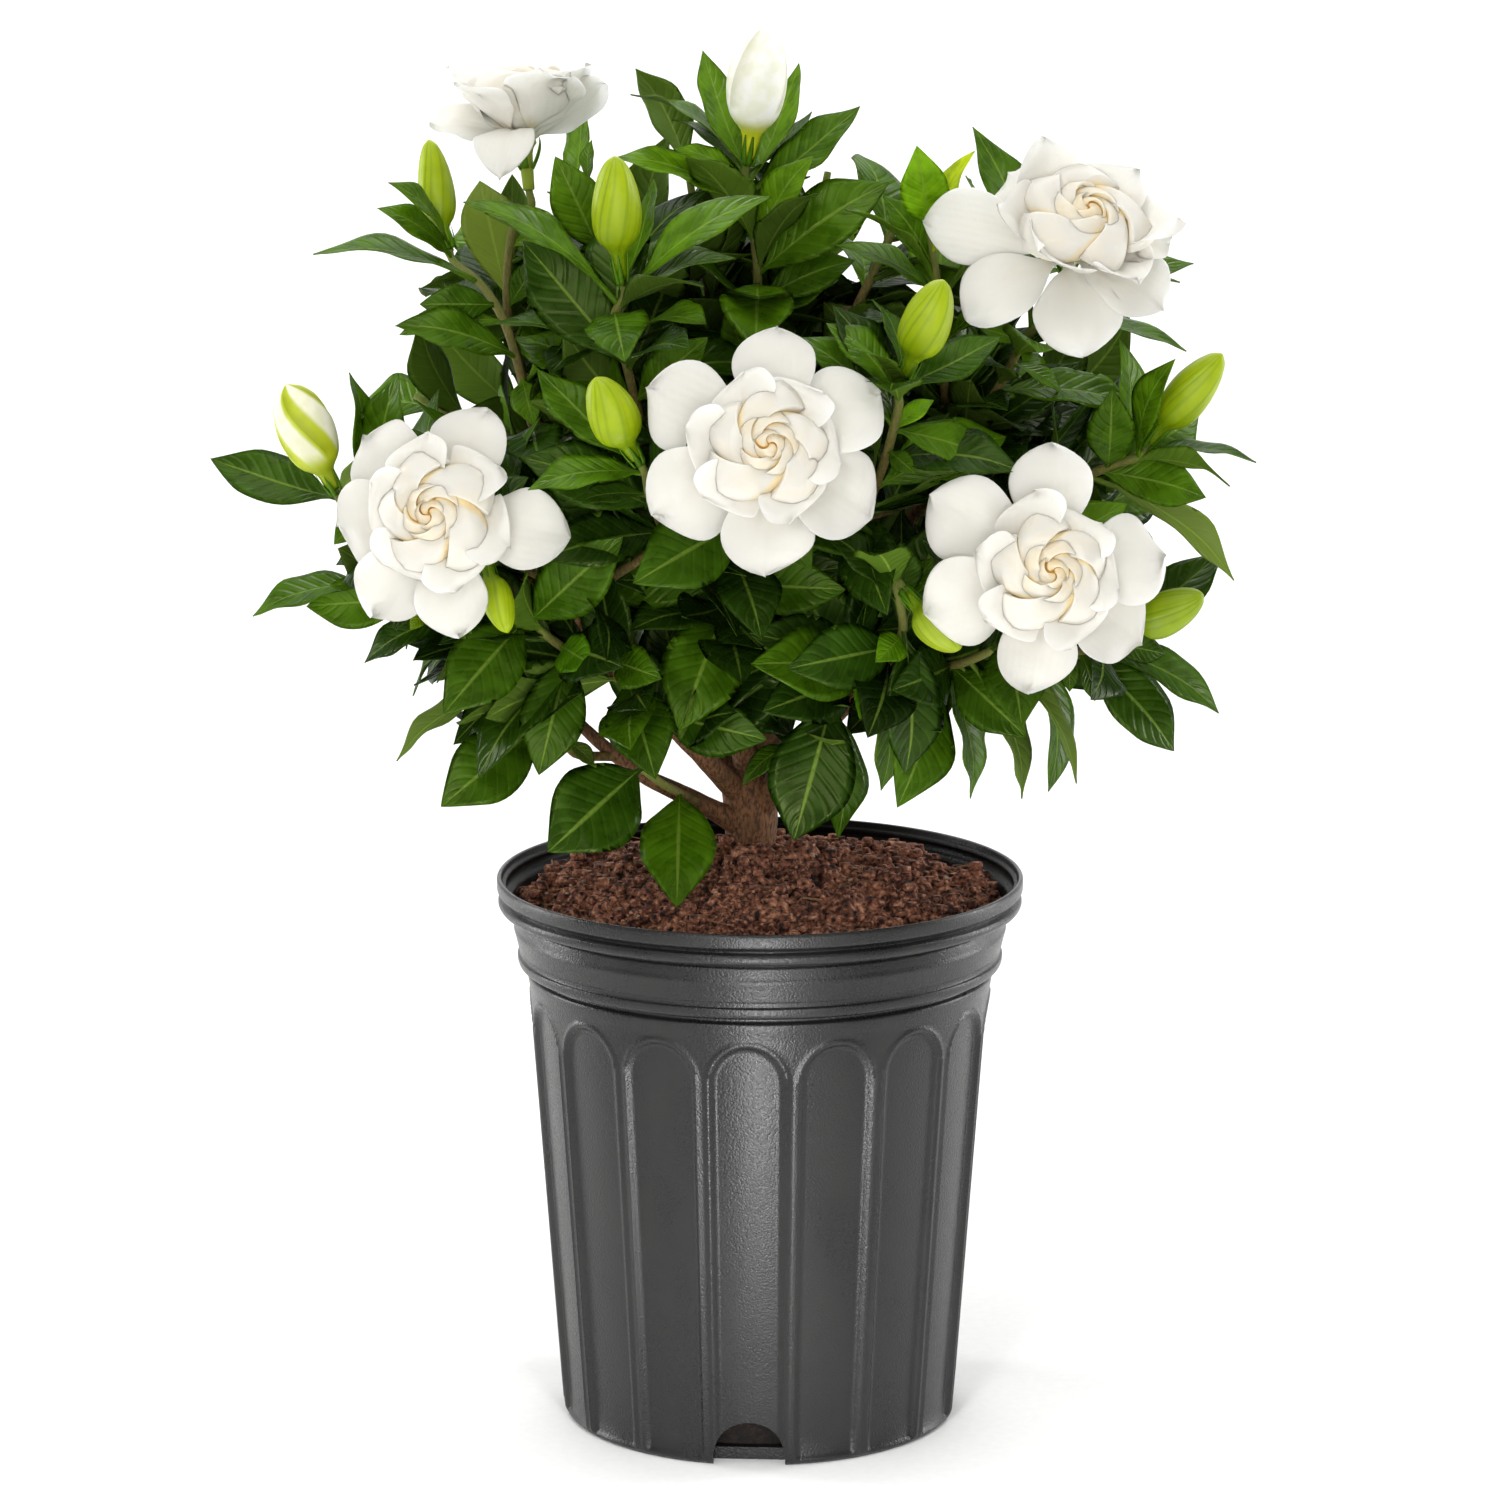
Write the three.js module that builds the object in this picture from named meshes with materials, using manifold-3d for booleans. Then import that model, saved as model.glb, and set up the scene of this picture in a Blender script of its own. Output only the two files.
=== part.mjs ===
// Potted gardenia: a shrub with five open double blooms in a black moulded nursery pot.
// Millimetres, +Z up, the front towards -Y, the origin at the middle of the pot's underside.

import * as THREE from "three";
import Module from "manifold-3d";

const wasm = await Module();
wasm.setup();
const { Manifold, Mesh: SolidMesh } = wasm;

const DEGREE = Math.PI / 180;
const UP = new THREE.Vector3(0, 0, 1);

// The gap left between two pieces that touch
const SEAT_GAP = 0.3;

// Pot: radii of the wall as [radius, height] from the foot to the lip
const FOOT_RADIUS = 80;
const WALL_FOOT = [83.6, 3.5];
const WALL_TOP = [97.2, 187];
const COLLAR = [
  [98.5, 193.9],
  [96.5, 195.2],
  [102, 197.5],
  [104, 212.5],
  [103.5, 219.3],
  [110, 222],
  [111, 234.4],
];
const INNER_WALL = [
  [109, 234.4],
  [99.5, 214],
  [94.2, 194],
  [80.4, 5.2],
];
const FLOOR_TOP = 5.2;

// Flutes: sixteen arched recesses round the wall, the front one turned a little to the left
const FLUTE_COUNT = 16;
const FLUTE_TURN = -3.2 * DEGREE;
const FLUTE_HALF_ANGLE = 9.5 * DEGREE;
const FLUTE_FLOOR_HALF_ANGLE = 7.8 * DEGREE;
const FLUTE_DEPTH = 1.2;
const FLUTE_SPRING = 167;
const FLUTE_ARCH = 17.2;
const FLUTE_FLOOR_ARCH = 15.7;

// Drain notches: arches through the foot of the wall, under every fourth flute
const NOTCH_COUNT = 4;
const NOTCH_WIDTH = 30;
const NOTCH_HEIGHT = 19;
const NOTCH_INNER_RADIUS = 73;

// Soil: [radius, height] of its side, and of its domed top before the lumps
const SOIL_SIDE = [
  [70, 5.6],
  [74, 28],
  [92.2, 193],
  [98, 213],
  [102.6, 222],
];
const SOIL_TOP = [
  [93, 226],
  [72, 231],
  [48, 236],
  [26, 240.5],
];
const SOIL_CROWN = 243;
const SOIL_SIDES = 24;
const SOIL_LUMP = 1.6;

// Trunk, as world points, sunk in a plain hole in the soil
const TRUNK = [
  [-3, 15, 170],
  [-4, 14, 215],
  [-4, 13, 240],
  [-4, 12, 256],
  [-5, 12, 270],
];
const TRUNK_RADII = [7, 9, 10, 11.5, 12];
const TRUNK_HOLE_GAP = 0.6;

// The picture plane stands through the pot's axis. A place on the plant is written as
// [across, up, back]: where the viewer sees it on that plane, and how far behind it is.
const VIEW_DISTANCE = 2600;
const VIEW_TILT = 12 * DEGREE;
const AIM_ACROSS = -4.2;
const AIM_UP = 300.7;
const AIM_HEIGHT = 287.6;
const TO_VIEWER = new THREE.Vector3(0, -Math.cos(VIEW_TILT), Math.sin(VIEW_TILT));

// The world point that the viewer sees at a place on the picture plane
function seenAt([across, up, back]) {
  const cosTilt = Math.cos(VIEW_TILT);
  const sinTilt = Math.sin(VIEW_TILT);
  const rise = up - AIM_UP;
  const height =
    (rise * (VIEW_DISTANCE + back * cosTilt) - VIEW_DISTANCE * back * sinTilt) /
    (VIEW_DISTANCE * cosTilt + rise * sinTilt);
  const depth = back * cosTilt - height * sinTilt;
  const scale = (VIEW_DISTANCE + depth) / VIEW_DISTANCE;
  return new THREE.Vector3(AIM_ACROSS + (across - AIM_ACROSS) * scale, back, height + AIM_HEIGHT);
}

// Where on the picture plane the viewer sees a world point, as [across, up]
function seenFrom(point) {
  const cosTilt = Math.cos(VIEW_TILT);
  const sinTilt = Math.sin(VIEW_TILT);
  const height = point.z - AIM_HEIGHT;
  const depth = point.y * cosTilt - height * sinTilt;
  const scale = VIEW_DISTANCE / (VIEW_DISTANCE + depth);
  return [
    AIM_ACROSS + (point.x - AIM_ACROSS) * scale,
    AIM_UP + (height * cosTilt + point.y * sinTilt) * scale,
  ];
}

// Seeded draws between 0 and 1, by the multiplier method of Park and Miller
function seededDraws(seed) {
  let state = seed;
  return () => {
    state = (state * 16807) % 2147483647;
    return state / 2147483647;
  };
}

// Limbs of the wood, as places from the trunk outwards
const LIMB_FOOT_RADIUS = 5.2;
const LIMB_TIP_RADIUS = 2.6;
const LIMBS = [
  [[-5, 276, 12], [-6, 300, 10], [-5, 322, 6], [-8, 352, 4], [-10, 382, 8], [-7, 406, 13], [-6, 422, 15]],
  [[-8, 282, 8], [-26, 300, -14], [-48, 322, -36], [-66, 342, -48], [-80, 362, -44]],
  [[-6, 268, 10], [-26, 279, -2], [-52, 292, -12], [-76, 312, -12], [-98, 338, -12]],
  [[-8, 284, 14], [-34, 322, 12], [-66, 376, 6], [-88, 424, 2]],
  [[-6, 296, 8], [-12, 326, -8], [-14, 346, -18]],
  [[0, 276, 8], [18, 306, -12], [40, 327, -30], [60, 340, -40]],
  [[2, 280, 12], [36, 320, 6], [70, 344, -4], [100, 350, -12]],
  [[-2, 296, 14], [28, 342, 10], [58, 388, 4], [78, 424, -4]],
  [[-6, 282, 18], [-44, 326, 56], [-84, 372, 88]],
  [[0, 282, 18], [42, 326, 56], [80, 372, 88]],
  [[-4, 288, 20], [-2, 336, 66], [0, 390, 96]],
];

// Blooms: throat, the way the bloom faces, and its outer petals as
// [turn clockwise from the top, reach, width]
const BLOOMS = [
  {
    name: "bloom_centre", throat: [3, 427, -138], faces: [0.02, -0.96, 0.24], size: 1,
    outer: [[5, 51, 38], [64, 52, 42], [124, 52, 44], [181, 53, 42], [240, 55, 44], [297, 56, 42]],
  },
  {
    name: "bloom_left", throat: [-132, 399, -98], faces: [-0.22, -0.95, 0.2], size: 0.98,
    outer: [[20, 50, 40], [97, 57, 38], [170, 53, 34], [214, 54, 36], [262, 48, 42], [312, 50, 42]],
  },
  {
    name: "bloom_low_right", throat: [119, 376, -112], faces: [0.1, -0.97, 0.16], size: 1,
    outer: [[4, 54, 38], [84, 52, 42], [128, 52, 40], [188, 52, 38], [252, 54, 42], [304, 58, 42]],
  },
  {
    name: "bloom_high_right", throat: [129, 508, -56], faces: [-0.08, -0.74, 0.64], size: 0.98,
    outer: [[326, 50, 34], [79, 46, 40], [123, 52, 40], [170, 55, 42], [230, 55, 40], [281, 64, 36]],
  },
  {
    name: "bloom_high_left", throat: [-99, 556, 8], faces: [-0.1, 0.3, 0.95], size: 0.84,
    outer: [[18, 44, 36], [82, 44, 38], [140, 44, 36], [196, 46, 34], [258, 48, 36], [318, 44, 36]],
  },
];
const BLOOM_TUBE = 20;
const BLOOM_TUBE_RADIUS = 2.4;
const RECEPTACLE_RADIUS = 6;
// Layers inside the outer one: count, turn of the first, reach, width, lift at root and tip, curl radius
const INNER_LAYERS = [
  { count: 6, turn: 34, reach: 37, width: 33, root: 4.5, belly: 20, lift: 17, curl: 30, roll: 13 },
  { count: 5, turn: 12, reach: 22, width: 29, root: 8, belly: 22, lift: 28, curl: 16, roll: 14 },
];
const OUTER_LAYER = { root: 1.5, belly: 13, lift: 3, curl: 75, roll: 11 };
const HEART = { radius: 8, height: 33 };

// Buds: tip and base of the swollen part, foot of the tube, greatest width
const BUDS = [
  { name: "bud_top", tip: [1, 604, 4], base: [-3, 563, 9], foot: [-5, 549, 11], width: 25, pale: true },
  { name: "bud_upper_left", tip: [-61, 550, -82], base: [-60, 513, -78], foot: [-58, 499, -75], width: 20 },
  { name: "bud_far_left_top", tip: [-139, 557, 22], base: [-134, 522, 14], foot: [-131, 513, 10], width: 15 },
  { name: "bud_left", tip: [-199, 454, -66], base: [-184, 420, -60], foot: [-179, 411, -57], width: 22 },
  { name: "bud_mid_left", tip: [-69, 457, -132], base: [-57, 431, -126], foot: [-52, 423, -122], width: 20 },
  { name: "bud_mid_right", tip: [77, 498, -116], base: [65, 468, -110], foot: [61, 457, -107], width: 20 },
  { name: "bud_right", tip: [194, 467, -44], base: [171, 439, -38], foot: [164, 430, -36], width: 18 },
  { name: "bud_low_right", tip: [186, 366, -76], base: [161, 353, -66], foot: [153, 350, -62], width: 18 },
  { name: "bud_low_left", tip: [-106, 350, -100], base: [-113, 372, -92], foot: [-116, 381, -88], width: 13 },
  { name: "bud_low_mid", tip: [84, 343, -114], base: [68, 359, -104], foot: [62, 366, -99], width: 17 },
];
const BUD_TUBE_RADIUS = 2.4;
const BUD_SIDES = 6;

// Leafy shoots. A leaf is [tip across, tip up, base across, base up, width seen], and may add
// a word for its leaf tone and a number for how far its tip lies in front of its base.
const SHOOTS = [
  {
    name: "shoot_leader", carries: "bud_top", fillers: 4,
    stem: [[-6, 436, 18], [-2, 470, 12], [-1, 500, 8], [-4, 528, 9]],
    leaves: [
      [-54, 578, -8, 546, 7], [-37, 567, -7, 542, 9], [-23, 595, -7, 545, 17], [-36, 554, -6, 538, 9],
      [-62, 551, -4, 528, 14], [15, 590, -4, 538, 15], [41, 572, -4, 535, 18], [21, 570, -5, 543, 9],
      [22, 551, -3, 512, 16], [54, 540, -1, 500, 27], [-2, 470, -1, 498, 31], [40, 507, -1, 490, 18],
      [33, 499, -1, 478, 12], [-38, 478, -3, 472, 10], [-14, 487, -3, 458, 16],
    ],
  },
  {
    name: "shoot_upper_left", carries: "bud_upper_left", fillers: 2,
    stem: [[-50, 438, -52], [-56, 462, -64], [-61, 482, -70]],
    leaves: [
      [-124, 533, -60, 488, 13], [4, 535, -60, 490, 16], [-46, 541, -58, 497, 10],
      [-37, 520, -59, 494, 12], [-57, 465, -61, 484, 26], [-100, 515, -58, 462, 30],
      [-117, 481, -57, 466, 10], [-22, 474, -52, 446, 20],
    ],
  },
  {
    name: "shoot_behind_upper_left", fillers: 5,
    stem: [[-58, 462, -14], [-65, 500, -20], [-70, 530, -24], [-72, 540, -25]],
    leaves: [[-86, 550, -66, 508, 22], [-89, 536, -66, 511, 7], [-71, 557, -72, 539, 6]],
  },
  {
    name: "shoot_high_left", carries: "bloom_high_left", fillers: 3,
    stem: [[-98, 452, 10], [-106, 486, 12], [-104, 518, 10]],
    leaves: [[-118, 541, -107, 492, 24], [-84, 520, -104, 512, 8], [-92, 508, -106, 488, 12]],
  },
  {
    name: "shoot_far_left_top", carries: "bud_far_left_top", fillers: 3,
    stem: [[-97, 444, -24], [-103, 468, -20], [-109, 484, -14], [-118, 497, -4]],
    leaves: [
      [-155, 540, -128, 511, 6], [-160, 529, -128, 508, 11], [-188, 511, -118, 497, 9],
      [-143, 488, -112, 488, 16], [-152, 476, -107, 480, 14], [-153, 480, -103, 466, 17],
      [-95, 437, -100, 456, 14],
    ],
  },
  {
    name: "shoot_left", carries: "bud_left", fillers: 2,
    stem: [[-128, 388, -28], [-150, 396, -38], [-168, 404, -48]],
    leaves: [
      [-231, 424, -174, 408, 22], [-153, 459, -158, 400, 20], [-171, 460, -170, 406, 10],
      [-163, 430, -170, 406, 10], [-179, 387, -164, 402, 11], [-166, 428, -176, 409, 8],
    ],
  },
  {
    name: "shoot_bloom_left", carries: "bloom_left", sprigs: ["bud_low_left"], fillers: 2,
    stem: [[-90, 372, -36], [-104, 380, -52], [-116, 388, -66]],
    leaves: [[-143, 449, -112, 386, 8], [-94, 441, -106, 382, 8], [-80, 408, -100, 378, 8]],
  },
  {
    name: "shoot_low_left", fillers: 3,
    stem: [[-104, 352, -20], [-126, 358, -28], [-150, 366, -36], [-164, 371, -40]],
    leaves: [
      [-214, 358, -162, 370, 13], [-191, 361, -146, 364, 22], [-147, 351, -138, 362, 7, "young"],
      [-167, 338, -126, 358, 14], [-147, 324, -118, 356, 4],
    ],
  },
  {
    name: "shoot_mid_left", carries: "bud_mid_left", fillers: 3,
    stem: [[-40, 392, -66], [-46, 406, -94]],
    leaves: [[-93, 462, -52, 421, 20], [-98, 411, -50, 416, 14], [-78, 405, -46, 408, 9]],
  },
  {
    name: "shoot_bloom_centre", carries: "bloom_centre", fillers: 3,
    stem: [[-14, 362, -32], [-12, 384, -66], [-6, 404, -92]],
    leaves: [
      [-53, 371, -10, 396, 32], [54, 386, -10, 396, 22], [-72, 375, -13, 370, 26],
      [36, 368, -13, 370, 24], [-34, 309, -14, 363, 34],
    ],
  },
  {
    name: "shoot_mid_right", carries: "bud_mid_right", fillers: 3,
    stem: [[46, 404, -70], [53, 424, -90], [58, 444, -101]],
    leaves: [
      [28, 481, 58, 450, 15], [44, 469, 59, 452, 7], [48, 491, 60, 455, 9], [101, 475, 60, 454, 17],
      [100, 421, 56, 434, 17], [65, 417, 53, 428, 9], [73, 448, 57, 436, 8, "young"],
    ],
  },
  {
    name: "shoot_behind_upper_right", fillers: 5,
    stem: [[78, 446, -12], [76, 480, -16], [73, 506, -18], [71, 522, -18]],
    leaves: [[66, 554, 71, 520, 20], [52, 534, 74, 500, 15], [32, 514, 75, 492, 10], [89, 553, 73, 508, 9, "young"]],
  },
  {
    name: "shoot_high_right", carries: "bloom_high_right", fillers: 3,
    stem: [[88, 434, -10], [102, 456, -20], [112, 474, -30]],
    leaves: [
      [91, 564, 114, 478, 20], [182, 507, 114, 478, 16], [180, 470, 113, 476, 9], [92, 478, 110, 471, 8],
      [128, 450, 106, 464, 7], [160, 445, 98, 450, 16],
    ],
  },
  {
    name: "shoot_right", carries: "bud_right", fillers: 3,
    stem: [[112, 408, -16], [132, 414, -24], [150, 421, -31]],
    leaves: [
      [152, 474, 152, 422, 12], [173, 465, 158, 426, 11], [148, 452, 146, 419, 20], [209, 423, 156, 425, 6],
      [188, 407, 142, 418, 20], [201, 373, 136, 416, 15], [102, 419, 128, 413, 9],
    ],
  },
  {
    name: "shoot_bloom_low_right", carries: "bloom_low_right", fillers: 3,
    stem: [[84, 352, -30], [98, 360, -56], [108, 368, -76]],
    leaves: [[60, 388, 94, 358, 20], [74, 400, 100, 362, 16]],
  },
  {
    name: "shoot_low_right", carries: "bud_low_right", fillers: 2,
    stem: [[110, 345, -24], [130, 342, -36], [144, 345, -50]],
    leaves: [
      [194, 386, 146, 346, 20], [171, 341, 146, 346, 12], [194, 317, 142, 344, 16], [175, 300, 134, 342, 24],
      [141, 321, 134, 342, 9], [130, 325, 130, 342, 8],
    ],
  },
  {
    name: "shoot_low_mid", carries: "bud_low_mid", fillers: 2,
    stem: [[42, 330, -44], [54, 338, -64], [60, 352, -84]],
    leaves: [
      [59, 388, 62, 362, 18], [74, 382, 62, 362, 10], [12, 335, 57, 344, 27], [49, 338, 59, 348, 14, "young"],
      [42, 314, 52, 336, 16, "young"], [62, 290, 60, 352, 24], [52, 283, 50, 335, 15],
    ],
  },
  {
    name: "shoot_low_front_right", fillers: 2,
    stem: [[68, 334, -34], [84, 337, -56], [98, 343, -74], [104, 347, -80]],
    leaves: [
      [110, 311, 104, 347, 26], [112, 306, 80, 336, 24], [112, 280, 88, 338, 13], [135, 287, 98, 343, 9],
      [90, 280, 76, 335, 12], [95, 304, 84, 337, 5],
    ],
  },
  {
    name: "shoot_low_centre", fillers: 0,
    stem: [[14, 303, -20], [24, 316, -36], [32, 325, -46]],
    leaves: [[14, 262, 32, 324, 36], [34, 263, 28, 320, 18], [16, 314, 30, 323, 18], [-8, 286, 15, 304, 9]],
  },
  {
    name: "shoot_low_left_centre", fillers: 1,
    stem: [[-32, 306, -26], [-46, 318, -44], [-58, 334, -58], [-62, 340, -62]],
    leaves: [[-44, 289, -56, 331, 28], [3, 305, -44, 316, 25], [-42, 331, -60, 338, 19]],
  },
  {
    name: "shoot_lowest_left", fillers: 0,
    stem: [[-30, 281, -12], [-40, 286, -26], [-50, 293, -38]],
    leaves: [[-35, 235, -34, 283, 32], [-89, 258, -50, 293, 38]],
  },
  {
    name: "shoot_lower_left", fillers: 2,
    stem: [[-74, 338, -36], [-86, 346, -48], [-98, 356, -58]],
    leaves: [
      [-93, 290, -80, 342, 27], [-133, 316, -98, 356, 30], [-58, 390, -96, 355, 28],
      [-70, 336, -82, 344, 19, "young"],
    ],
  },
  {
    name: "shoot_far_lower_left", fillers: 1,
    stem: [[-82, 304, -22], [-94, 315, -24], [-106, 327, -26]],
    leaves: [[-134, 277, -88, 316, 30], [-154, 297, -106, 327, 10], [-111, 310, -103, 326, 9], [-69, 294, -82, 313, 7]],
  },
];

// Shoots of the sides, back and top, set by rule: [turn from the front, height] of each tip
const CANOPY_CENTRE = [-4, 6, 404];
const CANOPY_RADIUS = [172, 150, 150];
const BACK_SHOOTS = [
  [112, 8], [148, 2], [184, 6], [222, 2], [256, 10],
  [128, 36], [168, 34], [206, 38], [232, 32],
  [104, 62], [152, 62], [204, 64], [246, 56],
  [124, -22], [156, -20], [226, -20], [96, -10], [264, -14],
];
const BACK_SHOOT_LEAVES = 5;

// Leaf and stem sizes
const STEM_RADIUS = 1.9;
const STEM_SIDES = 4;
const LEAF_THICKNESS = 1.4;
const BROAD_LEAF_WIDTH = 30;
const LEAF_STALK_HALF_WIDTH = 1.3;
const LEAF_NECK = 4.4;
const LEAF_ROOT_DEPTH = 1;
const PETAL_THICKNESS = 1.6;
const LEAF_ARCH = 0.16;
const LEAF_FOLD = 0.2;
const LEAF_SLENDER = 0.44;
const LEAF_BROAD = 0.46;
const LEAF_LONGEST = 66;
const RULE_LEAF_LENGTH = 60;
const RULE_LEAF_BROAD = 0.47;
const LEAF_CLEARANCE = 5;
const SEEN_LEAF_LEAST_CLEARANCE = 2.4;
const RULE_LEAF_LEAST_CLEARANCE = 4.2;
const SWINGS = [0, -6, 6, -12, 12, -18, 18, -25, 25, -33, 33, 8, 16, 24, 40];
const ARCHED_SWINGS = 11;
const LEAF_HOLLOW_ARCH = -0.1;
const OWN_ROOT_REACH = 14;
const OWN_ALLOWANCE = 2.5;
const GOLDEN_ANGLE = 137.5 * DEGREE;
const RULE_SWING = 2.4 * DEGREE;
const DRAW_SEED = 35;
// Leaves of the rule that would hide a bloom or stand out past the shrub's outline, by shoot and
// count from 0
const LEFT_OUT = {
  shoot_far_left_top: [1, 2], shoot_left: [1], shoot_low_left: [0, 2], shoot_mid_left: [1], shoot_high_left: [2],
  shoot_far_lower_left: [0], shoot_behind_upper_left: [3, 4], shoot_behind_upper_right: [4], shoot_back_5: [4],
  shoot_back_10: [3, 4], shoot_back_11: [3, 4], shoot_back_12: [2, 3], shoot_back_13: [3], shoot_back_18: [4],
};

// Stems and twigs: the straight length under a seat, the drop of a side stalk, the cost of a
// twig that would climb down, and how far the points of a back shoot rise over its straight line
const SEAT_LENGTH = 8;
const SPRIG_DROP = 8;
const TWIG_CLIMB = 1.5;
const BACK_SHOOT_RISE = [-6, -2, 6];
const TRUNK_SIDES = 8;
const LIMB_SIDES = 4;
const TWIG_SIDES = 3;
const BLOOM_CORE_SIDES = 6;

// Bud rings as [share of the way from base to tip, radius in shares of the tube's or the bud's]
const BUD_RINGS = [[-1, 1], [0, 1.25], [0.22, 0.78], [0.48, 1], [0.78, 0.68]];
const BUD_TWIST = 12 * DEGREE;

// Rows and steps of the pot's faces
const FLUTE_ROWS = [3.5, FLUTE_SPRING, 177.5, 183];
const FLUTE_ROW_TOP = 183;
const NOTCH_ARCH_STEPS = 6;

// Closed solid from corner coordinates and triangles, turned so that its faces point out
function solidFrom(coordinates, triangles) {
  const build = (order) =>
    new Manifold(
      new SolidMesh({
        numProp: 3,
        vertProperties: new Float32Array(coordinates),
        triVerts: new Uint32Array(order),
      }),
    );
  const solid = build(triangles);
  if (solid.volume() > 0) {
    return solid;
  }
  const turned = [];
  for (let i = 0; i < triangles.length; i += 3) {
    turned.push(triangles[i], triangles[i + 2], triangles[i + 1]);
  }
  return build(turned);
}

// Flat cap on a ring, as a fan from its second corner, which splits a blade's root at its midrib
function capTriangles(start, count, inward) {
  const triangles = [];
  for (let i = 1; i + 1 < count; i++) {
    const b = start + ((1 + i) % count);
    const c = start + ((2 + i) % count);
    triangles.push(...(inward ? [start + 1, c, b] : [start + 1, b, c]));
  }
  return triangles;
}

// Closed solid through rings of equal count, closed at each end by a point or else a flat cap.
// The faces between two rings are split the same way on the upper and the lower side of a blade.
function loftSolid(rings, tip = null, root = null) {
  const count = rings[0].length;
  const coordinates = rings.flat().flatMap((point) => [point.x, point.y, point.z]);
  const triangles = root ? [] : capTriangles(0, count, true);
  for (let ring = 0; ring + 1 < rings.length; ring++) {
    for (let i = 0; i < count; i++) {
      const a = ring * count + i;
      const b = ring * count + ((i + 1) % count);
      const c = b + count;
      const d = a + count;
      triangles.push(...(i % 2 === 0 ? [a, b, c, a, c, d] : [a, b, d, b, c, d]));
    }
  }
  const last = (rings.length - 1) * count;
  if (tip) {
    coordinates.push(tip.x, tip.y, tip.z);
    for (let i = 0; i < count; i++) {
      triangles.push(last + i, last + ((i + 1) % count), rings.length * count);
    }
  } else {
    triangles.push(...capTriangles(last, count, false));
  }
  if (root) {
    const rootIndex = coordinates.length / 3;
    coordinates.push(root.x, root.y, root.z);
    for (let i = 0; i < count; i++) {
      triangles.push((i + 1) % count, i, rootIndex);
    }
  }
  return solidFrom(coordinates, triangles);
}

// The geometry of a joined solid
function geometryOf(solid) {
  const mesh = solid.simplify(0.004).getMesh();
  const geometry = new THREE.BufferGeometry();
  geometry.setAttribute("position", new THREE.BufferAttribute(new Float32Array(mesh.vertProperties), 3));
  geometry.setIndex(new THREE.BufferAttribute(new Uint32Array(mesh.triVerts), 1));
  return geometry;
}

// Curves: a path is a list of world points, read by a parameter from 0 to its last index

// Point on the smooth curve through the path's points (uniform Catmull-Rom)
function pathPoint(path, place) {
  const span = Math.min(Math.floor(place), path.length - 2);
  const t = place - span;
  const p1 = path[span];
  const p2 = path[span + 1];
  const p0 = span > 0 ? path[span - 1] : p1.clone().multiplyScalar(2).sub(p2);
  const p3 = span + 2 < path.length ? path[span + 2] : p2.clone().multiplyScalar(2).sub(p1);
  const weights = [
    0.5 * (-t + 2 * t * t - t * t * t),
    0.5 * (2 - 5 * t * t + 3 * t * t * t),
    0.5 * (t + 4 * t * t - 3 * t * t * t),
    0.5 * (-t * t + t * t * t),
  ];
  const point = new THREE.Vector3();
  [p0, p1, p2, p3].forEach((corner, i) => point.addScaledVector(corner, weights[i]));
  return point;
}

// Direction of the path at a parameter
function pathDirection(path, place) {
  const step = 0.02;
  const before = pathPoint(path, Math.max(0, place - step));
  const after = pathPoint(path, Math.min(path.length - 1, place + step));
  return after.sub(before).normalize();
}

// Round rod along a path, with its radius going evenly through the given radii
function rodSolid(path, radii, sides, stepsPerSpan) {
  const steps = (path.length - 1) * stepsPerSpan;
  const rings = [];
  for (let i = 0; i <= steps; i++) {
    const place = i / stepsPerSpan;
    const direction = pathDirection(path, place);
    const across = new THREE.Vector3(1, 0, 0).addScaledVector(direction, -direction.x).normalize();
    const over = new THREE.Vector3().crossVectors(direction, across);
    const radiusPlace = (i / steps) * (radii.length - 1);
    const index = Math.min(Math.floor(radiusPlace), radii.length - 2);
    const radius = radii[index] + (radii[index + 1] - radii[index]) * (radiusPlace - index);
    const centre = pathPoint(path, place);
    const ring = [];
    for (let k = 0; k < sides; k++) {
      const turn = (k / sides) * 2 * Math.PI;
      ring.push(
        centre.clone()
          .addScaledVector(across, Math.cos(turn) * radius)
          .addScaledVector(over, Math.sin(turn) * radius),
      );
    }
    rings.push(ring);
  }
  return loftSolid(rings);
}

// Blades of leaves

// A leaf from its base to its tip, its upper face turned towards facing as far as it can be.
// The midrib is a parabola that stands proud by the arch, and the blade folds up from it.
function makeLeaf(base, tip, facing, width, options) {
  const along = tip.clone().sub(base);
  const length = along.length();
  const direction = along.clone().normalize();
  const normal = facing.clone().addScaledVector(direction, -facing.dot(direction)).normalize();
  const side = new THREE.Vector3().crossVectors(direction, normal);
  const middle = base.clone().add(tip).multiplyScalar(0.5);
  middle.addScaledVector(normal, options.arch * length);
  return { base, middle, tip, normal, width, length, petiole: options.petiole ?? 0.05, tone: options.tone };
}

// Half the leaf's width at a place from 0 to 1 along it: a drawn-out oval after a short stalk
function leafHalfWidth(leaf, along) {
  const place = Math.max(0, (along - leaf.petiole) / (1 - leaf.petiole));
  const oval = Math.sin(Math.PI * Math.pow(place, 1.1)) ** 0.85;
  const drawn = 1 - 0.3 * Math.max(0, (place - 0.7) / 0.3);
  const stalk = LEAF_STALK_HALF_WIDTH * (1 - along);
  return Math.max(stalk, (leaf.width / 2) * oval * drawn);
}

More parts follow.
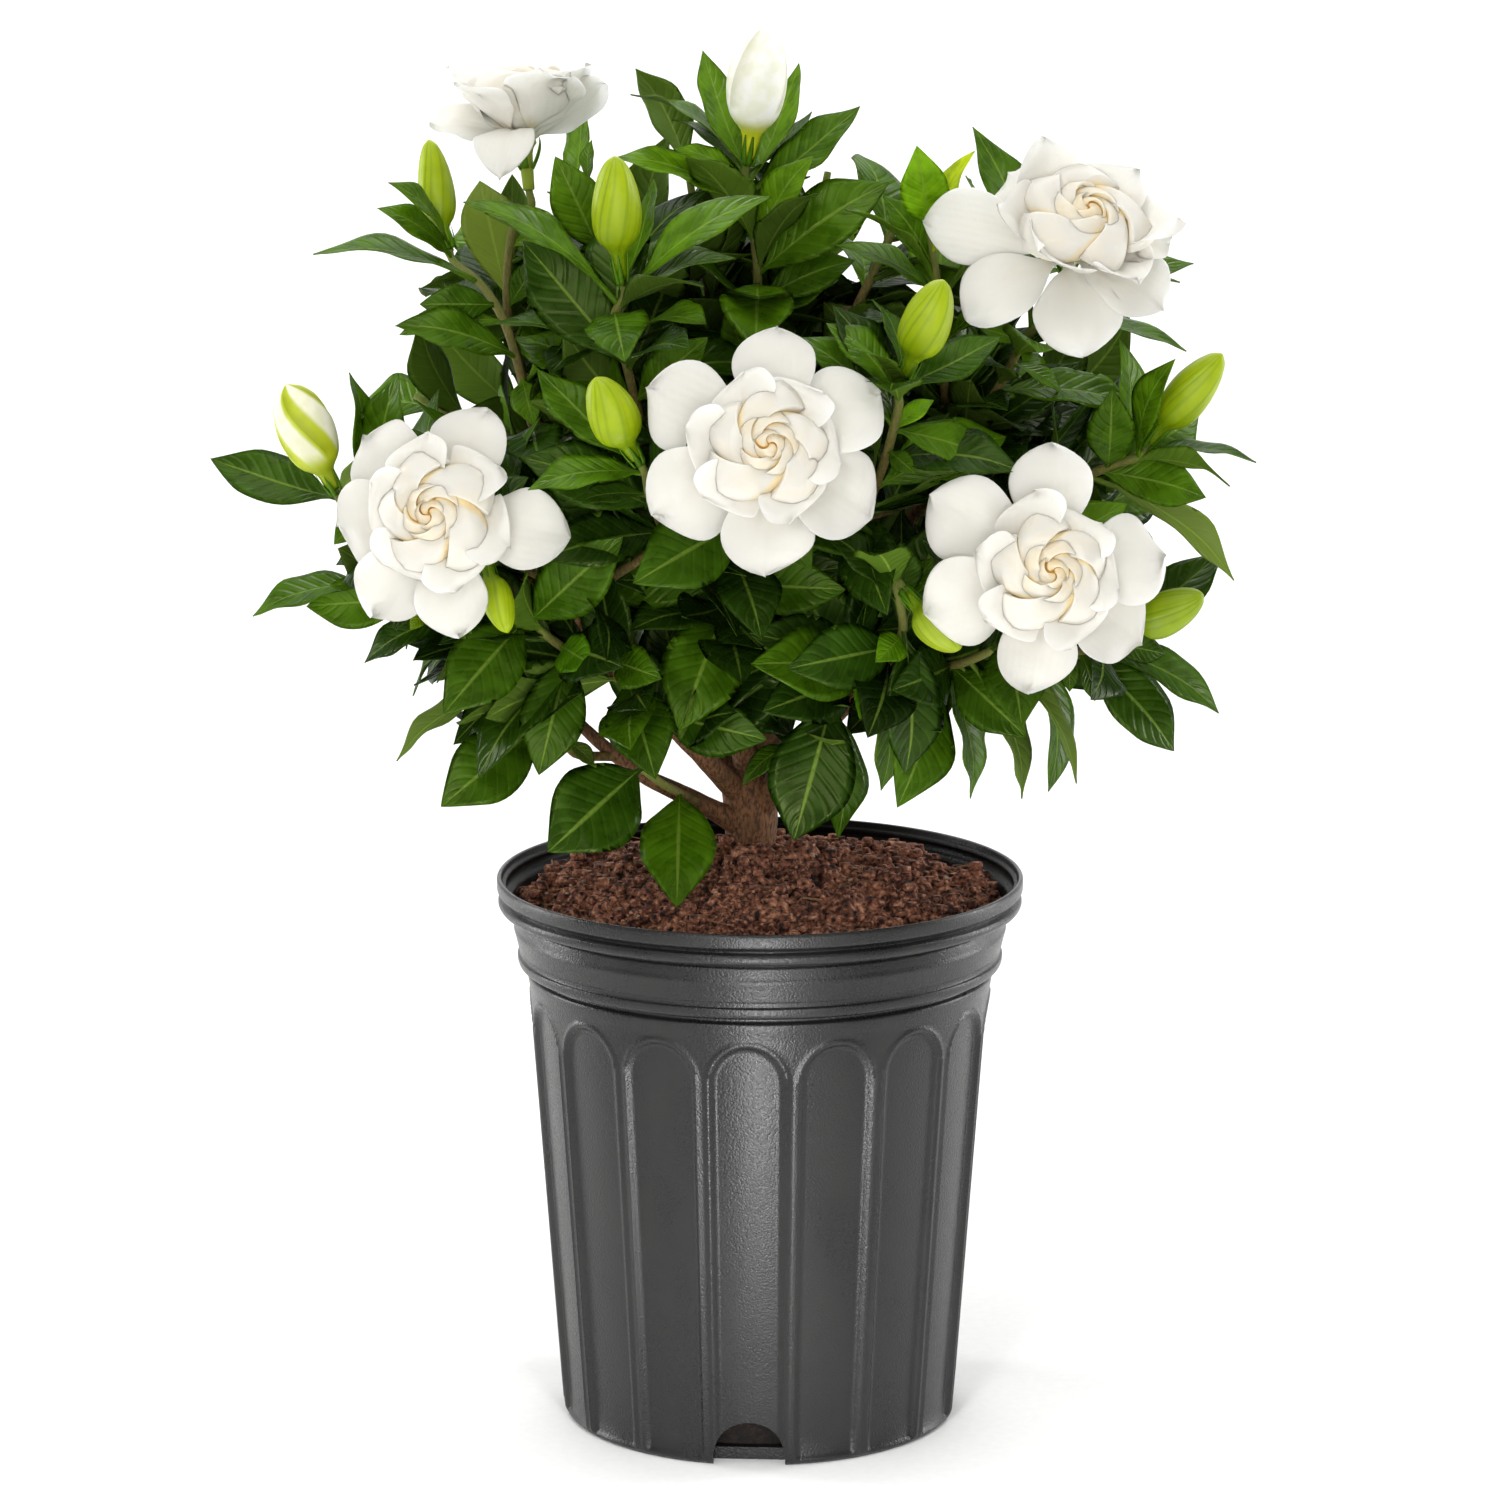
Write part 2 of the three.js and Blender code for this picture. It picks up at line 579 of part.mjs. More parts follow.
// Point of a leaf: along from base 0 to tip 1, across from left -1 to right 1, lifted by height
function leafPoint(leaf, along, across, height = 0) {
  const left = 1 - along;
  const point = leaf.base.clone().multiplyScalar(left * left)
    .addScaledVector(leaf.middle, 2 * along * left)
    .addScaledVector(leaf.tip, along * along);
  const direction = leaf.middle.clone().sub(leaf.base).multiplyScalar(left)
    .addScaledVector(leaf.tip.clone().sub(leaf.middle), along).normalize();
  const side = new THREE.Vector3().crossVectors(direction, leaf.normal).normalize();
  const over = new THREE.Vector3().crossVectors(side, direction);
  const half = leafHalfWidth(leaf, along);
  const fold = half * LEAF_FOLD * Math.abs(across);
  return point.addScaledVector(side, across * half).addScaledVector(over, fold + height);
}

// The solid blade of a leaf: its two edges and the ridge of its midrib below, at each station
function leafSolid(leaf) {
  const neck = LEAF_NECK / leaf.length;
  const stations = leaf.width > BROAD_LEAF_WIDTH ? [neck, 0.28, 0.56, 0.82] : [neck, 0.34, 0.72];
  const rings = stations.map((along, index) => [
    leafPoint(leaf, along, -1),
    leafPoint(leaf, along, 1),
    leafPoint(leaf, along, 0, index === 0 ? -LEAF_THICKNESS : -LEAF_THICKNESS / 2),
  ]);
  const start = leaf.middle.clone().sub(leaf.base).normalize();
  return loftSolid(rings, leaf.tip, leaf.base.clone().addScaledVector(start, -LEAF_ROOT_DEPTH));
}

// Points spread over a leaf, by which it is kept clear of its neighbours
function leafProbes(leaf) {
  const probes = [];
  for (const along of [0.12, 0.24, 0.36, 0.48, 0.6, 0.72, 0.84, 0.94, 1]) {
    for (const across of along > 0.9 ? [0] : [-1, -0.5, 0, 0.5, 1]) {
      probes.push(leafPoint(leaf, along, across));
    }
  }
  return probes;
}

// Petals

// The directions of a bloom: the way it faces, its own top and its right hand as the viewer sees them
function bloomAxes(bloom) {
  const out = new THREE.Vector3(...bloom.faces).normalize();
  const guide = Math.abs(out.z) > 0.85 ? new THREE.Vector3(0, 1, 0) : UP;
  const top = guide.clone().addScaledVector(out, -guide.dot(out)).normalize();
  const right = new THREE.Vector3().crossVectors(out, top).negate();
  return { out, top, right };
}

// Every petal of a bloom: its turn, reach, width, heights and curl, with its layer's number
function bloomPetals(bloom) {
  const petals = bloom.outer.map(([turn, reach, width]) => ({ turn, reach, width, layer: 0, ...OUTER_LAYER }));
  INNER_LAYERS.forEach((layer, index) => {
    for (let i = 0; i < layer.count; i++) {
      petals.push({ ...layer, turn: layer.turn + (360 * i) / layer.count, layer: index + 1 });
    }
  });
  return petals;
}

// Half the petal's width at a place from 0 to 1 along it: a broad spoon with a blunt end
function petalHalfWidth(petal, along) {
  const claw = 2.6 * (1 - along);
  return Math.max(claw, (petal.width / 2) * Math.sin(Math.PI * Math.pow(along, 1.45)) ** 0.62);
}

// Point of a petal. Its midline is a parabola from the receptacle outwards, in the plane of the
// bloom's axis; across it the petal rolls to one side and curls round a circle of its curl radius.
function petalPoint(bloom, axes, petal, along, across, height = 0) {
  const turn = petal.turn * DEGREE;
  const size = bloom.size;
  const outward = axes.top.clone().multiplyScalar(Math.cos(turn)).addScaledVector(axes.right, Math.sin(turn));
  const around = axes.right.clone().multiplyScalar(Math.cos(turn)).addScaledVector(axes.top, -Math.sin(turn));
  const left = 1 - along;
  const start = RECEPTACLE_RADIUS - 2.5;
  const belly = petal.reach * (petal.layer === 0 ? 0.5 : 0.72);
  const reach = start * left * left + 2 * belly * along * left + petal.reach * along * along;
  const lift = petal.root * left * left + 2 * petal.belly * along * left + petal.lift * along * along;
  const reachRate = 2 * (belly - start) * left + 2 * (petal.reach - belly) * along;
  const liftRate = 2 * (petal.belly - petal.root) * left + 2 * (petal.lift - petal.belly) * along;
  const rate = Math.hypot(reachRate, liftRate);
  const inward = outward.clone().multiplyScalar(-liftRate / rate).addScaledVector(axes.out, reachRate / rate);
  const roll = petal.roll * DEGREE;
  const side = around.clone().multiplyScalar(Math.cos(roll)).addScaledVector(inward, Math.sin(roll));
  const over = inward.clone().multiplyScalar(Math.cos(roll)).addScaledVector(around, -Math.sin(roll));
  const bow = (across * petalHalfWidth(petal, along)) / petal.curl;
  return new THREE.Vector3()
    .addScaledVector(outward, reach)
    .addScaledVector(axes.out, lift)
    .addScaledVector(side, petal.curl * Math.sin(bow))
    .addScaledVector(over, petal.curl * (1 - Math.cos(bow)))
    .multiplyScalar(size)
    .addScaledVector(over, height)
    .add(seenAt(bloom.throat));
}

// The solid blade of a petal. The flat outer ones have a ridge below, the cupped inner ones
// have an upper and a lower midline.
function petalSolid(bloom, axes, petal) {
  const at = (along, across, height) => petalPoint(bloom, axes, petal, along, across, height);
  const half = PETAL_THICKNESS / 2;
  const rings =
    petal.layer === 0
      ? [0.3, 0.62, 0.88].map((along) => [at(along, -1), at(along, 1), at(along, 0, -half)])
      : [0.34, 0.8].map((along) => [at(along, -1), at(along, 0, half), at(along, 1), at(along, 0, -half)]);
  const root = seenAt(bloom.throat).addScaledVector(axes.out, petal.root * bloom.size);
  return loftSolid(rings, at(1, 0), root);
}

// Points spread over a petal, by which leaves are kept clear of it
function petalProbes(bloom, axes, petal) {
  const probes = [];
  for (const along of [0.2, 0.35, 0.5, 0.65, 0.8, 0.92, 1]) {
    for (const across of along > 0.95 ? [0] : [-1, -0.6, -0.2, 0.2, 0.6, 1]) {
      probes.push(petalPoint(bloom, axes, petal, along, across));
    }
  }
  return probes;
}

// Spacing: every placed piece leaves its probes here, and a new leaf is measured against them

const placedGroups = [];

// Middle and reach of a set of points
function boundsOf(probes) {
  const centre = new THREE.Vector3();
  probes.forEach((probe) => centre.addScaledVector(probe, 1 / probes.length));
  const reach = Math.max(...probes.map((probe) => probe.distanceTo(centre)));
  return { centre, reach };
}

// Keeps the probes of a placed piece, with the radius of what they stand for
function keepProbes(owner, probes, radius = 0, isStem = false) {
  placedGroups.push({ owner, probes, radius, isStem, ...boundsOf(probes) });
}

// Least distance from a leaf's probes to all that is placed, up to a limit. Near its root a leaf
// may come close to its own shoot and to the kin that it stands on or carries.
function clearanceOf(owner, kin, probes, root, limit) {
  const { centre, reach } = boundsOf(probes);
  const outer = probes.filter((probe) => probe.distanceTo(root) > OWN_ROOT_REACH);
  let least = limit;
  for (const group of placedGroups) {
    const own = group.owner === owner;
    if ((own && group.isStem) || group.centre.distanceTo(centre) > group.reach + reach + limit) {
      continue;
    }
    for (const probe of own || kin.includes(group.owner) ? outer : probes) {
      for (const other of group.probes) {
        least = Math.min(least, probe.distanceTo(other) - group.radius + (own ? OWN_ALLOWANCE : 0));
      }
    }
  }
  return least;
}

// Tries a leaf at each swing, the last ones with a hollow arch that bends away from the viewer,
// and returns the first that is clear, or else the clearest one
function settleLeaf(owner, kin, leastClearance, makeSwung) {
  let best = null;
  let bestClearance = -Infinity;
  for (const [index, swing] of SWINGS.entries()) {
    const leaf = makeSwung(swing, index < ARCHED_SWINGS ? LEAF_ARCH : LEAF_HOLLOW_ARCH);
    const probes = leafProbes(leaf);
    const clearance = clearanceOf(owner, kin, probes, leaf.base, LEAF_CLEARANCE);
    if (clearance > bestClearance + 0.01) {
      best = { leaf, probes };
      bestClearance = clearance;
    }
    if (clearance >= LEAF_CLEARANCE) {
      break;
    }
  }
  if (bestClearance < leastClearance) {
    return null;
  }
  keepProbes(owner, best.probes);
  return best.leaf;
}

// Probes along a rod
function pathProbes(path) {
  const steps = Math.ceil(pathLength(path) / 4);
  return Array.from({ length: steps + 1 }, (_, i) => pathPoint(path, (i / steps) * (path.length - 1)));
}

// Straight-line length of a path's spans together
function pathLength(path) {
  let length = 0;
  for (let i = 1; i < path.length; i++) {
    length += path[i].distanceTo(path[i - 1]);
  }
  return length;
}

// Shoots

// Foot and direction of the tube of a bloom or a bud
function footOf(name) {
  const bloom = BLOOMS.find((one) => one.name === name);
  if (bloom) {
    const { out } = bloomAxes(bloom);
    return { foot: seenAt(bloom.throat).addScaledVector(out, -BLOOM_TUBE), direction: out };
  }
  const bud = BUDS.find((one) => one.name === name);
  const foot = seenAt(bud.foot);
  return { foot, direction: seenAt(bud.base).sub(foot).normalize() };
}

// The two last points of a stem that ends square under a bloom or bud
function seatPoints(name) {
  const { foot, direction } = footOf(name);
  return [
    foot.clone().addScaledVector(direction, -SEAT_LENGTH),
    foot.clone().addScaledVector(direction, -SEAT_GAP),
  ];
}

// The stem's path of a shoot that faces the viewer
function shootPath(shoot) {
  const path = shoot.stem.map(seenAt);
  return shoot.carries ? [...path, ...seatPoints(shoot.carries)] : path;
}

// Place on a path that the viewer sees nearest to a point of the picture plane
function placeSeen(path, across, up) {
  const steps = (path.length - 1) * 8;
  let best = { place: 0, distance: Infinity };
  for (let i = 0; i <= steps; i++) {
    const place = i / 8;
    const seen = seenFrom(pathPoint(path, place));
    const distance = Math.hypot(seen[0] - across, seen[1] - up);
    if (distance < best.distance - 0.01) {
      best = { place, distance };
    }
  }
  return best;
}

// A leaf as the viewer sees it. Where it looks too short for its width it leans to the viewer,
// and where it looks too narrow for its length it is turned edge on, its upper face up.
function seenLeaf(path, [tipAcross, tipUp, baseAcross, baseUp, seenWidth, tone], swing, arch) {
  const { place, distance } = placeSeen(path, baseAcross, baseUp);
  const base = pathPoint(path, place);
  const seenBase = seenFrom(base);
  const seenLength = Math.hypot(tipAcross - seenBase[0], tipUp - seenBase[1]);
  const fullLength = Math.min(LEAF_LONGEST, Math.max(seenLength, seenWidth / LEAF_BROAD));
  const lean = Math.sqrt(Math.max(0, fullLength * fullLength - seenLength * seenLength));
  const bladeLength = Math.min(LEAF_LONGEST, seenLength - distance / 2);
  const width = Math.max(seenWidth, LEAF_SLENDER * bladeLength);
  const tip = seenAt([tipAcross, tipUp, base.y - lean + swing]);
  const direction = tip.clone().sub(base).normalize();
  const towards = TO_VIEWER.clone().addScaledVector(direction, -TO_VIEWER.dot(direction)).normalize();
  const side = new THREE.Vector3().crossVectors(direction, towards);
  if (side.z < 0) {
    side.negate();
  }
  const edge = Math.acos(Math.min(1, seenWidth / width));
  const facing = towards.multiplyScalar(Math.cos(edge)).addScaledVector(side, Math.sin(edge));
  const stalk = Math.max(distance, seenLength - LEAF_LONGEST);
  const petiole = Math.min(0.4, Math.max(0.05, stalk / seenLength));
  return makeLeaf(base, tip, facing, width, { arch, petiole, tone });
}

// A leaf set by rule on a stem: its turn round the stem, its lean up along it and its length
function ruleLeaf(path, place, turn, lean, length, arch) {
  const base = pathPoint(path, place);
  const direction = pathDirection(path, place);
  const first = UP.clone().addScaledVector(direction, -direction.z).normalize();
  const second = new THREE.Vector3().crossVectors(direction, first);
  const outward = first.multiplyScalar(Math.cos(turn)).addScaledVector(second, Math.sin(turn));
  const tip = base.clone()
    .addScaledVector(outward, length * Math.cos(lean))
    .addScaledVector(direction, length * Math.sin(lean));
  const facing = direction.clone().multiplyScalar(Math.cos(lean)).addScaledVector(outward, -Math.sin(lean));
  return makeLeaf(base, tip, facing, length * RULE_LEAF_BROAD, { arch });
}

// The leaves set by rule on a shoot, turned by the golden angle from each to the next
function ruleLeaves(entry, count, first, last, draw) {
  const { name, kin, path } = entry;
  const leaves = [];
  const start = draw() * 2 * Math.PI;
  for (let i = 0; i < count; i++) {
    const share = count > 1 ? i / (count - 1) : 0.5;
    const place = (first + (last - first) * share) * (path.length - 1);
    const turn = start + i * GOLDEN_ANGLE + (draw() - 0.5) * 0.5;
    const lean = (8 + 42 * share + 14 * draw()) * DEGREE;
    const length = RULE_LEAF_LENGTH - 12 * share + 8 * draw();
    if (LEFT_OUT[name]?.includes(i)) {
      continue;
    }
    const swung = (swing, arch) => ruleLeaf(path, place, turn + swing * RULE_SWING, lean, length, arch);
    const leaf = settleLeaf(name, kin, RULE_LEAF_LEAST_CLEARANCE, swung);
    if (leaf) {
      leaves.push(leaf);
    }
  }
  return leaves;
}

// The stem's path of a shoot of the sides, back or top
function backPath([turn, rise]) {
  const direction = new THREE.Vector3(
    Math.sin(turn * DEGREE) * Math.cos(rise * DEGREE),
    -Math.cos(turn * DEGREE) * Math.cos(rise * DEGREE),
    Math.sin(rise * DEGREE),
  );
  const reach = new THREE.Vector3(...CANOPY_RADIUS).multiply(direction);
  const centre = new THREE.Vector3(...CANOPY_CENTRE);
  return [0.56, 0.7, 0.86].map((share, i) =>
    centre.clone().addScaledVector(reach, share).add(new THREE.Vector3(0, 0, BACK_SHOOT_RISE[i])),
  );
}

// Every shoot with its stems and leaves. All stems are placed before any leaf, and the leaves
// that the viewer sees before those that fill the inside, the sides and the back.
function layOutShoots() {
  const shoots = SHOOTS.map((shoot) => {
    const path = shootPath(shoot);
    const sprigs = (shoot.sprigs ?? []).map((name) => {
      const seat = seatPoints(name);
      const from = seenFrom(seat[0]);
      return [pathPoint(path, placeSeen(path, from[0], from[1] - SPRIG_DROP).place), ...seat];
    });
    const kin = ["wood", shoot.carries, ...(shoot.sprigs ?? [])];
    return { name: shoot.name, kin, path, sprigs, shoot, leaves: [] };
  });
  BACK_SHOOTS.forEach((place, index) => {
    const name = `shoot_back_${index + 1}`;
    shoots.push({ name, kin: ["wood"], path: backPath(place), sprigs: [], leaves: [] });
  });
  return shoots;
}

// Wood

// The limb point from which a twig to a stem's root leaves: near, below and further in
function limbPointFor(root, limbPaths) {
  let best = null;
  let least = Infinity;
  for (const path of limbPaths) {
    const steps = (path.length - 1) * 6;
    for (let i = 2; i <= steps; i++) {
      const point = pathPoint(path, i / 6);
      const cost = point.distanceTo(root) + TWIG_CLIMB * Math.max(0, point.z - root.z + 8);
      if (cost < least - 0.01) {
        best = point;
        least = cost;
      }
    }
  }
  return best;
}

// The twig's path from a limb to a stem's root, which it meets square, a seat gap before it
function twigPath(stemPath, limbPaths) {
  const root = stemPath[0];
  const direction = pathDirection(stemPath, 0);
  const from = limbPointFor(root, limbPaths);
  const seat = root.clone().addScaledVector(direction, -SEAT_GAP);
  const before = root.clone().addScaledVector(direction, -Math.min(SEAT_LENGTH, from.distanceTo(root) * 0.4));
  return [from, before, seat];
}

// Places every stem, then every leaf, and returns the finished layout of wood and shoots
function layOutPlant() {
  const limbPaths = LIMBS.map((limb) => limb.map(seenAt));
  const shoots = layOutShoots();
  const twigs = shoots.map((shoot) => twigPath(shoot.path, limbPaths));
  for (const bloom of BLOOMS) {
    const axes = bloomAxes(bloom);
    bloomPetals(bloom).forEach((petal) => keepProbes(bloom.name, petalProbes(bloom, axes, petal)));
  }
  for (const bud of BUDS) {
    keepProbes(bud.name, pathProbes([seenAt(bud.foot), seenAt(bud.base)]), BUD_TUBE_RADIUS, true);
    keepProbes(bud.name, pathProbes([seenAt(bud.base), seenAt(bud.tip)]), bud.width * 0.45, true);
  }
  limbPaths.forEach((path) => keepProbes("wood", pathProbes(path), LIMB_FOOT_RADIUS, true));
  keepProbes("wood", pathProbes(TRUNK.map((point) => new THREE.Vector3(...point))), TRUNK_RADII[4], true);
  twigs.forEach((path) => keepProbes("wood", pathProbes(path), STEM_RADIUS, true));
  shoots.forEach((shoot) => {
    [shoot.path, ...shoot.sprigs].forEach((path) => {
      keepProbes(shoot.name, pathProbes(path), STEM_RADIUS, true);
    });
  });
  for (const entry of shoots.filter((one) => one.shoot)) {
    for (const reading of entry.shoot.leaves) {
      const swung = (swing, arch) => seenLeaf(entry.path, reading, swing, arch);
      const leaf = settleLeaf(entry.name, entry.kin, SEEN_LEAF_LEAST_CLEARANCE, swung);
      if (leaf) {
        entry.leaves.push(leaf);
      }
    }
  }
  const draw = seededDraws(DRAW_SEED);
  for (const entry of shoots) {
    if (entry.shoot) {
      entry.leaves.push(...ruleLeaves(entry, entry.shoot.fillers, 0.08, 0.7, draw));
    } else {
      entry.leaves.push(...ruleLeaves(entry, BACK_SHOOT_LEAVES, 0.15, 0.98, draw));
    }
  }
  return { limbPaths, twigs, shoots };
}

// Solids of the plant

// Trunk, limbs and twigs, joined
function woodSolid(limbPaths, twigs) {
  const trunk = TRUNK.map((point) => new THREE.Vector3(...point));
  const rods = [rodSolid(trunk, TRUNK_RADII, TRUNK_SIDES, 1)];
  limbPaths.forEach((path) => rods.push(rodSolid(path, [LIMB_FOOT_RADIUS, LIMB_TIP_RADIUS], LIMB_SIDES, 1)));
  twigs.forEach((path) => rods.push(rodSolid(path, [STEM_RADIUS, STEM_RADIUS], TWIG_SIDES, 1)));
  return Manifold.union(rods);
}

// Stem, side stalks and leaves of a shoot, joined
function shootSolid(shoot) {
  const radii = [STEM_RADIUS, STEM_RADIUS, STEM_RADIUS * 0.8];
  const rods = [shoot.path, ...shoot.sprigs].map((path) => rodSolid(path, radii, STEM_SIDES, 1));
  return Manifold.union([...rods, ...shoot.leaves.map(leafSolid)]);
}

// Petals, heart, receptacle and tube of a bloom, joined
function bloomSolid(bloom) {
  const axes = bloomAxes(bloom);
  const throat = seenAt(bloom.throat);
  const onAxis = (height) => throat.clone().addScaledVector(axes.out, height * bloom.size);
  const { foot } = footOf(bloom.name);
  const core = rodSolid(
    [foot, onAxis(-6), onAxis(2), onAxis(14), onAxis(HEART.height)],
    [BLOOM_TUBE_RADIUS, BLOOM_TUBE_RADIUS + 0.6, RECEPTACLE_RADIUS, HEART.radius, HEART.radius * 0.5],
    BLOOM_CORE_SIDES,
    1,
  );
  return Manifold.union([core, ...bloomPetals(bloom).map((petal) => petalSolid(bloom, axes, petal))]);
}

// A closed bud on its tube: a long oval, its petals rolled round each other
function budSolid(bud) {
  const foot = seenAt(bud.foot);
  const base = seenAt(bud.base);
  const tip = seenAt(bud.tip);
  const rings = BUD_RINGS.map(([share, radius], index) => {
    const centre = share < 0 ? foot.clone() : base.clone().lerp(tip, share);
    const axis = (share <= 0 ? base.clone().sub(foot) : tip.clone().sub(base)).normalize();
    const first = new THREE.Vector3(1, 0, 0).addScaledVector(axis, -axis.x).normalize();
    const second = new THREE.Vector3().crossVectors(axis, first);
    const size = radius * (share <= 0 ? BUD_TUBE_RADIUS : bud.width / 2);
    return Array.from({ length: BUD_SIDES }, (_, i) => {
      const turn = (i / BUD_SIDES) * 2 * Math.PI + index * BUD_TWIST;
      return centre.clone()
        .addScaledVector(first, Math.cos(turn) * size)
        .addScaledVector(second, Math.sin(turn) * size);
    });
  });
  return loftSolid(rings, tip);
}

// Pot and soil

// World point at an angle from the front, a radius and a height
function roundPoint(angle, radius, height) {
  return new THREE.Vector3(Math.sin(angle) * radius, -Math.cos(angle) * radius, height);
}

// Half angles of a flute's border and floor at a height, which close in the arch above the spring
function fluteHalfAngles(height) {
  const close = (arch) => {
    const rise = Math.max(0, height - FLUTE_SPRING) / arch;
    return Math.sqrt(Math.max(0.02, 1 - rise * rise));
  };
  return [FLUTE_HALF_ANGLE * close(FLUTE_ARCH), FLUTE_FLOOR_HALF_ANGLE * close(FLUTE_FLOOR_ARCH)];
}

// One row of the pot's wall, with four points for each flute
function wallRow(radius, height, depth) {
  const [border, floor] = fluteHalfAngles(Math.min(height, FLUTE_ROW_TOP));
  const points = [];
  for (let i = 0; i < FLUTE_COUNT; i++) {
    const middle = FLUTE_TURN + (i / FLUTE_COUNT) * 2 * Math.PI;
    points.push(
      roundPoint(middle - border, radius, height),
      roundPoint(middle - floor, radius - depth, height),
      roundPoint(middle + floor, radius - depth, height),
      roundPoint(middle + border, radius, height),
    );
  }
  return points;
}

// One row of the pot's collar or inner wall, with two points for each flute
function plainRow([radius, height]) {
  const count = FLUTE_COUNT * 2;
  return Array.from({ length: count }, (_, i) => {
    const middle = FLUTE_TURN + ((i - 0.5) / count) * 2 * Math.PI;
    return roundPoint(middle, radius, height);
  });
}

// Radius of the fluted wall at a height, on its straight taper
function wallRadius(height) {
  const share = (height - WALL_FOOT[1]) / (WALL_TOP[1] - WALL_FOOT[1]);
  return WALL_FOOT[0] + (WALL_TOP[0] - WALL_FOOT[0]) * share;
}

// Solid through rows round the axis, closed by a fan to the axis at its first and last row.
// A row has as many points as the one before it, or half as many.
function turnedSolid(rows, firstHeight, lastHeight) {
  const coordinates = rows.flat().flatMap((point) => [point.x, point.y, point.z]);
  const firstPole = coordinates.length / 3;
  coordinates.push(0, 0, firstHeight, 0, 0, lastHeight);
  const triangles = [];
  rows[0].forEach((_, i) => triangles.push(firstPole, (i + 1) % rows[0].length, i));
  let start = 0;
  for (let row = 0; row + 1 < rows.length; row++) {
    const count = rows[row].length;
    const nextCount = rows[row + 1].length;
    const nextStart = start + count;
    for (let i = 0; i < nextCount; i++) {
      const above = nextStart + i;
      const aboveNext = nextStart + ((i + 1) % nextCount);
      if (count === nextCount) {
        const below = start + i;
        const belowNext = start + ((i + 1) % count);
        triangles.push(below, belowNext, aboveNext, below, aboveNext, above);
      } else {
        const middle = start + 2 * i + 1;
        const after = start + ((2 * i + 2) % count);
        triangles.push(start + 2 * i, middle, above, middle, aboveNext, above, middle, after, aboveNext);
      }
    }
    start = nextStart;
  }
  const lastCount = rows[rows.length - 1].length;
  for (let i = 0; i < lastCount; i++) {
    triangles.push(firstPole + 1, start + i, start + ((i + 1) % lastCount));
  }
  return solidFrom(coordinates, triangles);
}

// The arched cutter of a drain notch, through the foot of the wall
function notchCutter(index) {
  const half = NOTCH_WIDTH / 2;
  const spring = NOTCH_HEIGHT - half;
  const outline = [[-half, -2]];
  for (let i = 0; i <= NOTCH_ARCH_STEPS; i++) {
    const turn = Math.PI * (1 - i / NOTCH_ARCH_STEPS);
    outline.push([half * Math.cos(turn), spring + half * Math.sin(turn)]);
  }
  outline.push([half, -2]);
  const angle = FLUTE_TURN + (index / NOTCH_COUNT) * 2 * Math.PI;
  const outward = roundPoint(angle, 1, 0);
  const sideways = roundPoint(angle + Math.PI / 2, 1, 0);
  const ring = (radius) =>
    outline.map(([side, height]) =>
      outward.clone().multiplyScalar(radius).addScaledVector(sideways, side).addScaledVector(UP, height),
    );
  return loftSolid([ring(NOTCH_INNER_RADIUS), ring(FOOT_RADIUS + 12)]);
}

// The moulded pot: fluted wall, stepped collar, lip, inner wall and floor, notched at its foot
function potSolid() {
  const fluted = FLUTE_ROWS.map((height) => {
    const nearTop = height > FLUTE_SPRING + FLUTE_FLOOR_ARCH - 0.5;
    return wallRow(wallRadius(height), height, nearTop ? 0.3 : FLUTE_DEPTH);
  });
  const rows = [
    wallRow(FOOT_RADIUS, 0, 0),
    ...fluted,
    wallRow(WALL_TOP[0], WALL_TOP[1], 0),
    ...COLLAR.map(plainRow),
    ...INNER_WALL.map(plainRow),
  ];
  const shell = turnedSolid(rows, 0, FLOOR_TOP);
  const cutters = Array.from({ length: NOTCH_COUNT }, (_, index) => notchCutter(index));
  return shell.subtract(Manifold.union(cutters));
}

// The soil: a filled body with a lumpy domed top and a plain hole for the trunk
function soilSolid() {
  const draw = seededDraws(DRAW_SEED);
  const row = ([radius, height], lump) =>
    Array.from({ length: SOIL_SIDES }, (_, i) => {
      const angle = (i / SOIL_SIDES) * 2 * Math.PI;
      return roundPoint(angle, radius, height + lump * (2 * draw() - 1));
    });
  const rows = [
    ...SOIL_SIDE.map((place) => row(place, 0)),
    ...SOIL_TOP.map((place) => row(place, SOIL_LUMP)),
  ];
  const body = turnedSolid(rows, SOIL_SIDE[0][1], SOIL_CROWN);
  const trunk = TRUNK.map((point) => new THREE.Vector3(...point));
  trunk[0].z -= TRUNK_HOLE_GAP;
  const hole = rodSolid(trunk, TRUNK_RADII.map((radius) => radius + TRUNK_HOLE_GAP), TRUNK_SIDES, 1);
  return body.subtract(hole);
}

// Finishes
const finishes = {
  pot: new THREE.MeshStandardMaterial({ color: 0x2c2d2e, roughness: 0.45, metalness: 0 }),
  soil: new THREE.MeshStandardMaterial({ color: 0x4a2a20, roughness: 1, metalness: 0 }),
  bark: new THREE.MeshStandardMaterial({ color: 0x5c4030, roughness: 0.85, metalness: 0 }),
  leaf: new THREE.MeshStandardMaterial({ color: 0x235a14, roughness: 0.35, metalness: 0 }),
  petal: new THREE.MeshStandardMaterial({ color: 0xf7f5f0, roughness: 0.55, metalness: 0 }),
  bud: new THREE.MeshStandardMaterial({ color: 0x9db41e, roughness: 0.45, metalness: 0 }),
};

// A named mesh of a solid
function piece(name, solid, finish) {
  const mesh = new THREE.Mesh(geometryOf(solid), finish.clone());
  mesh.name = name;
  return mesh;
}

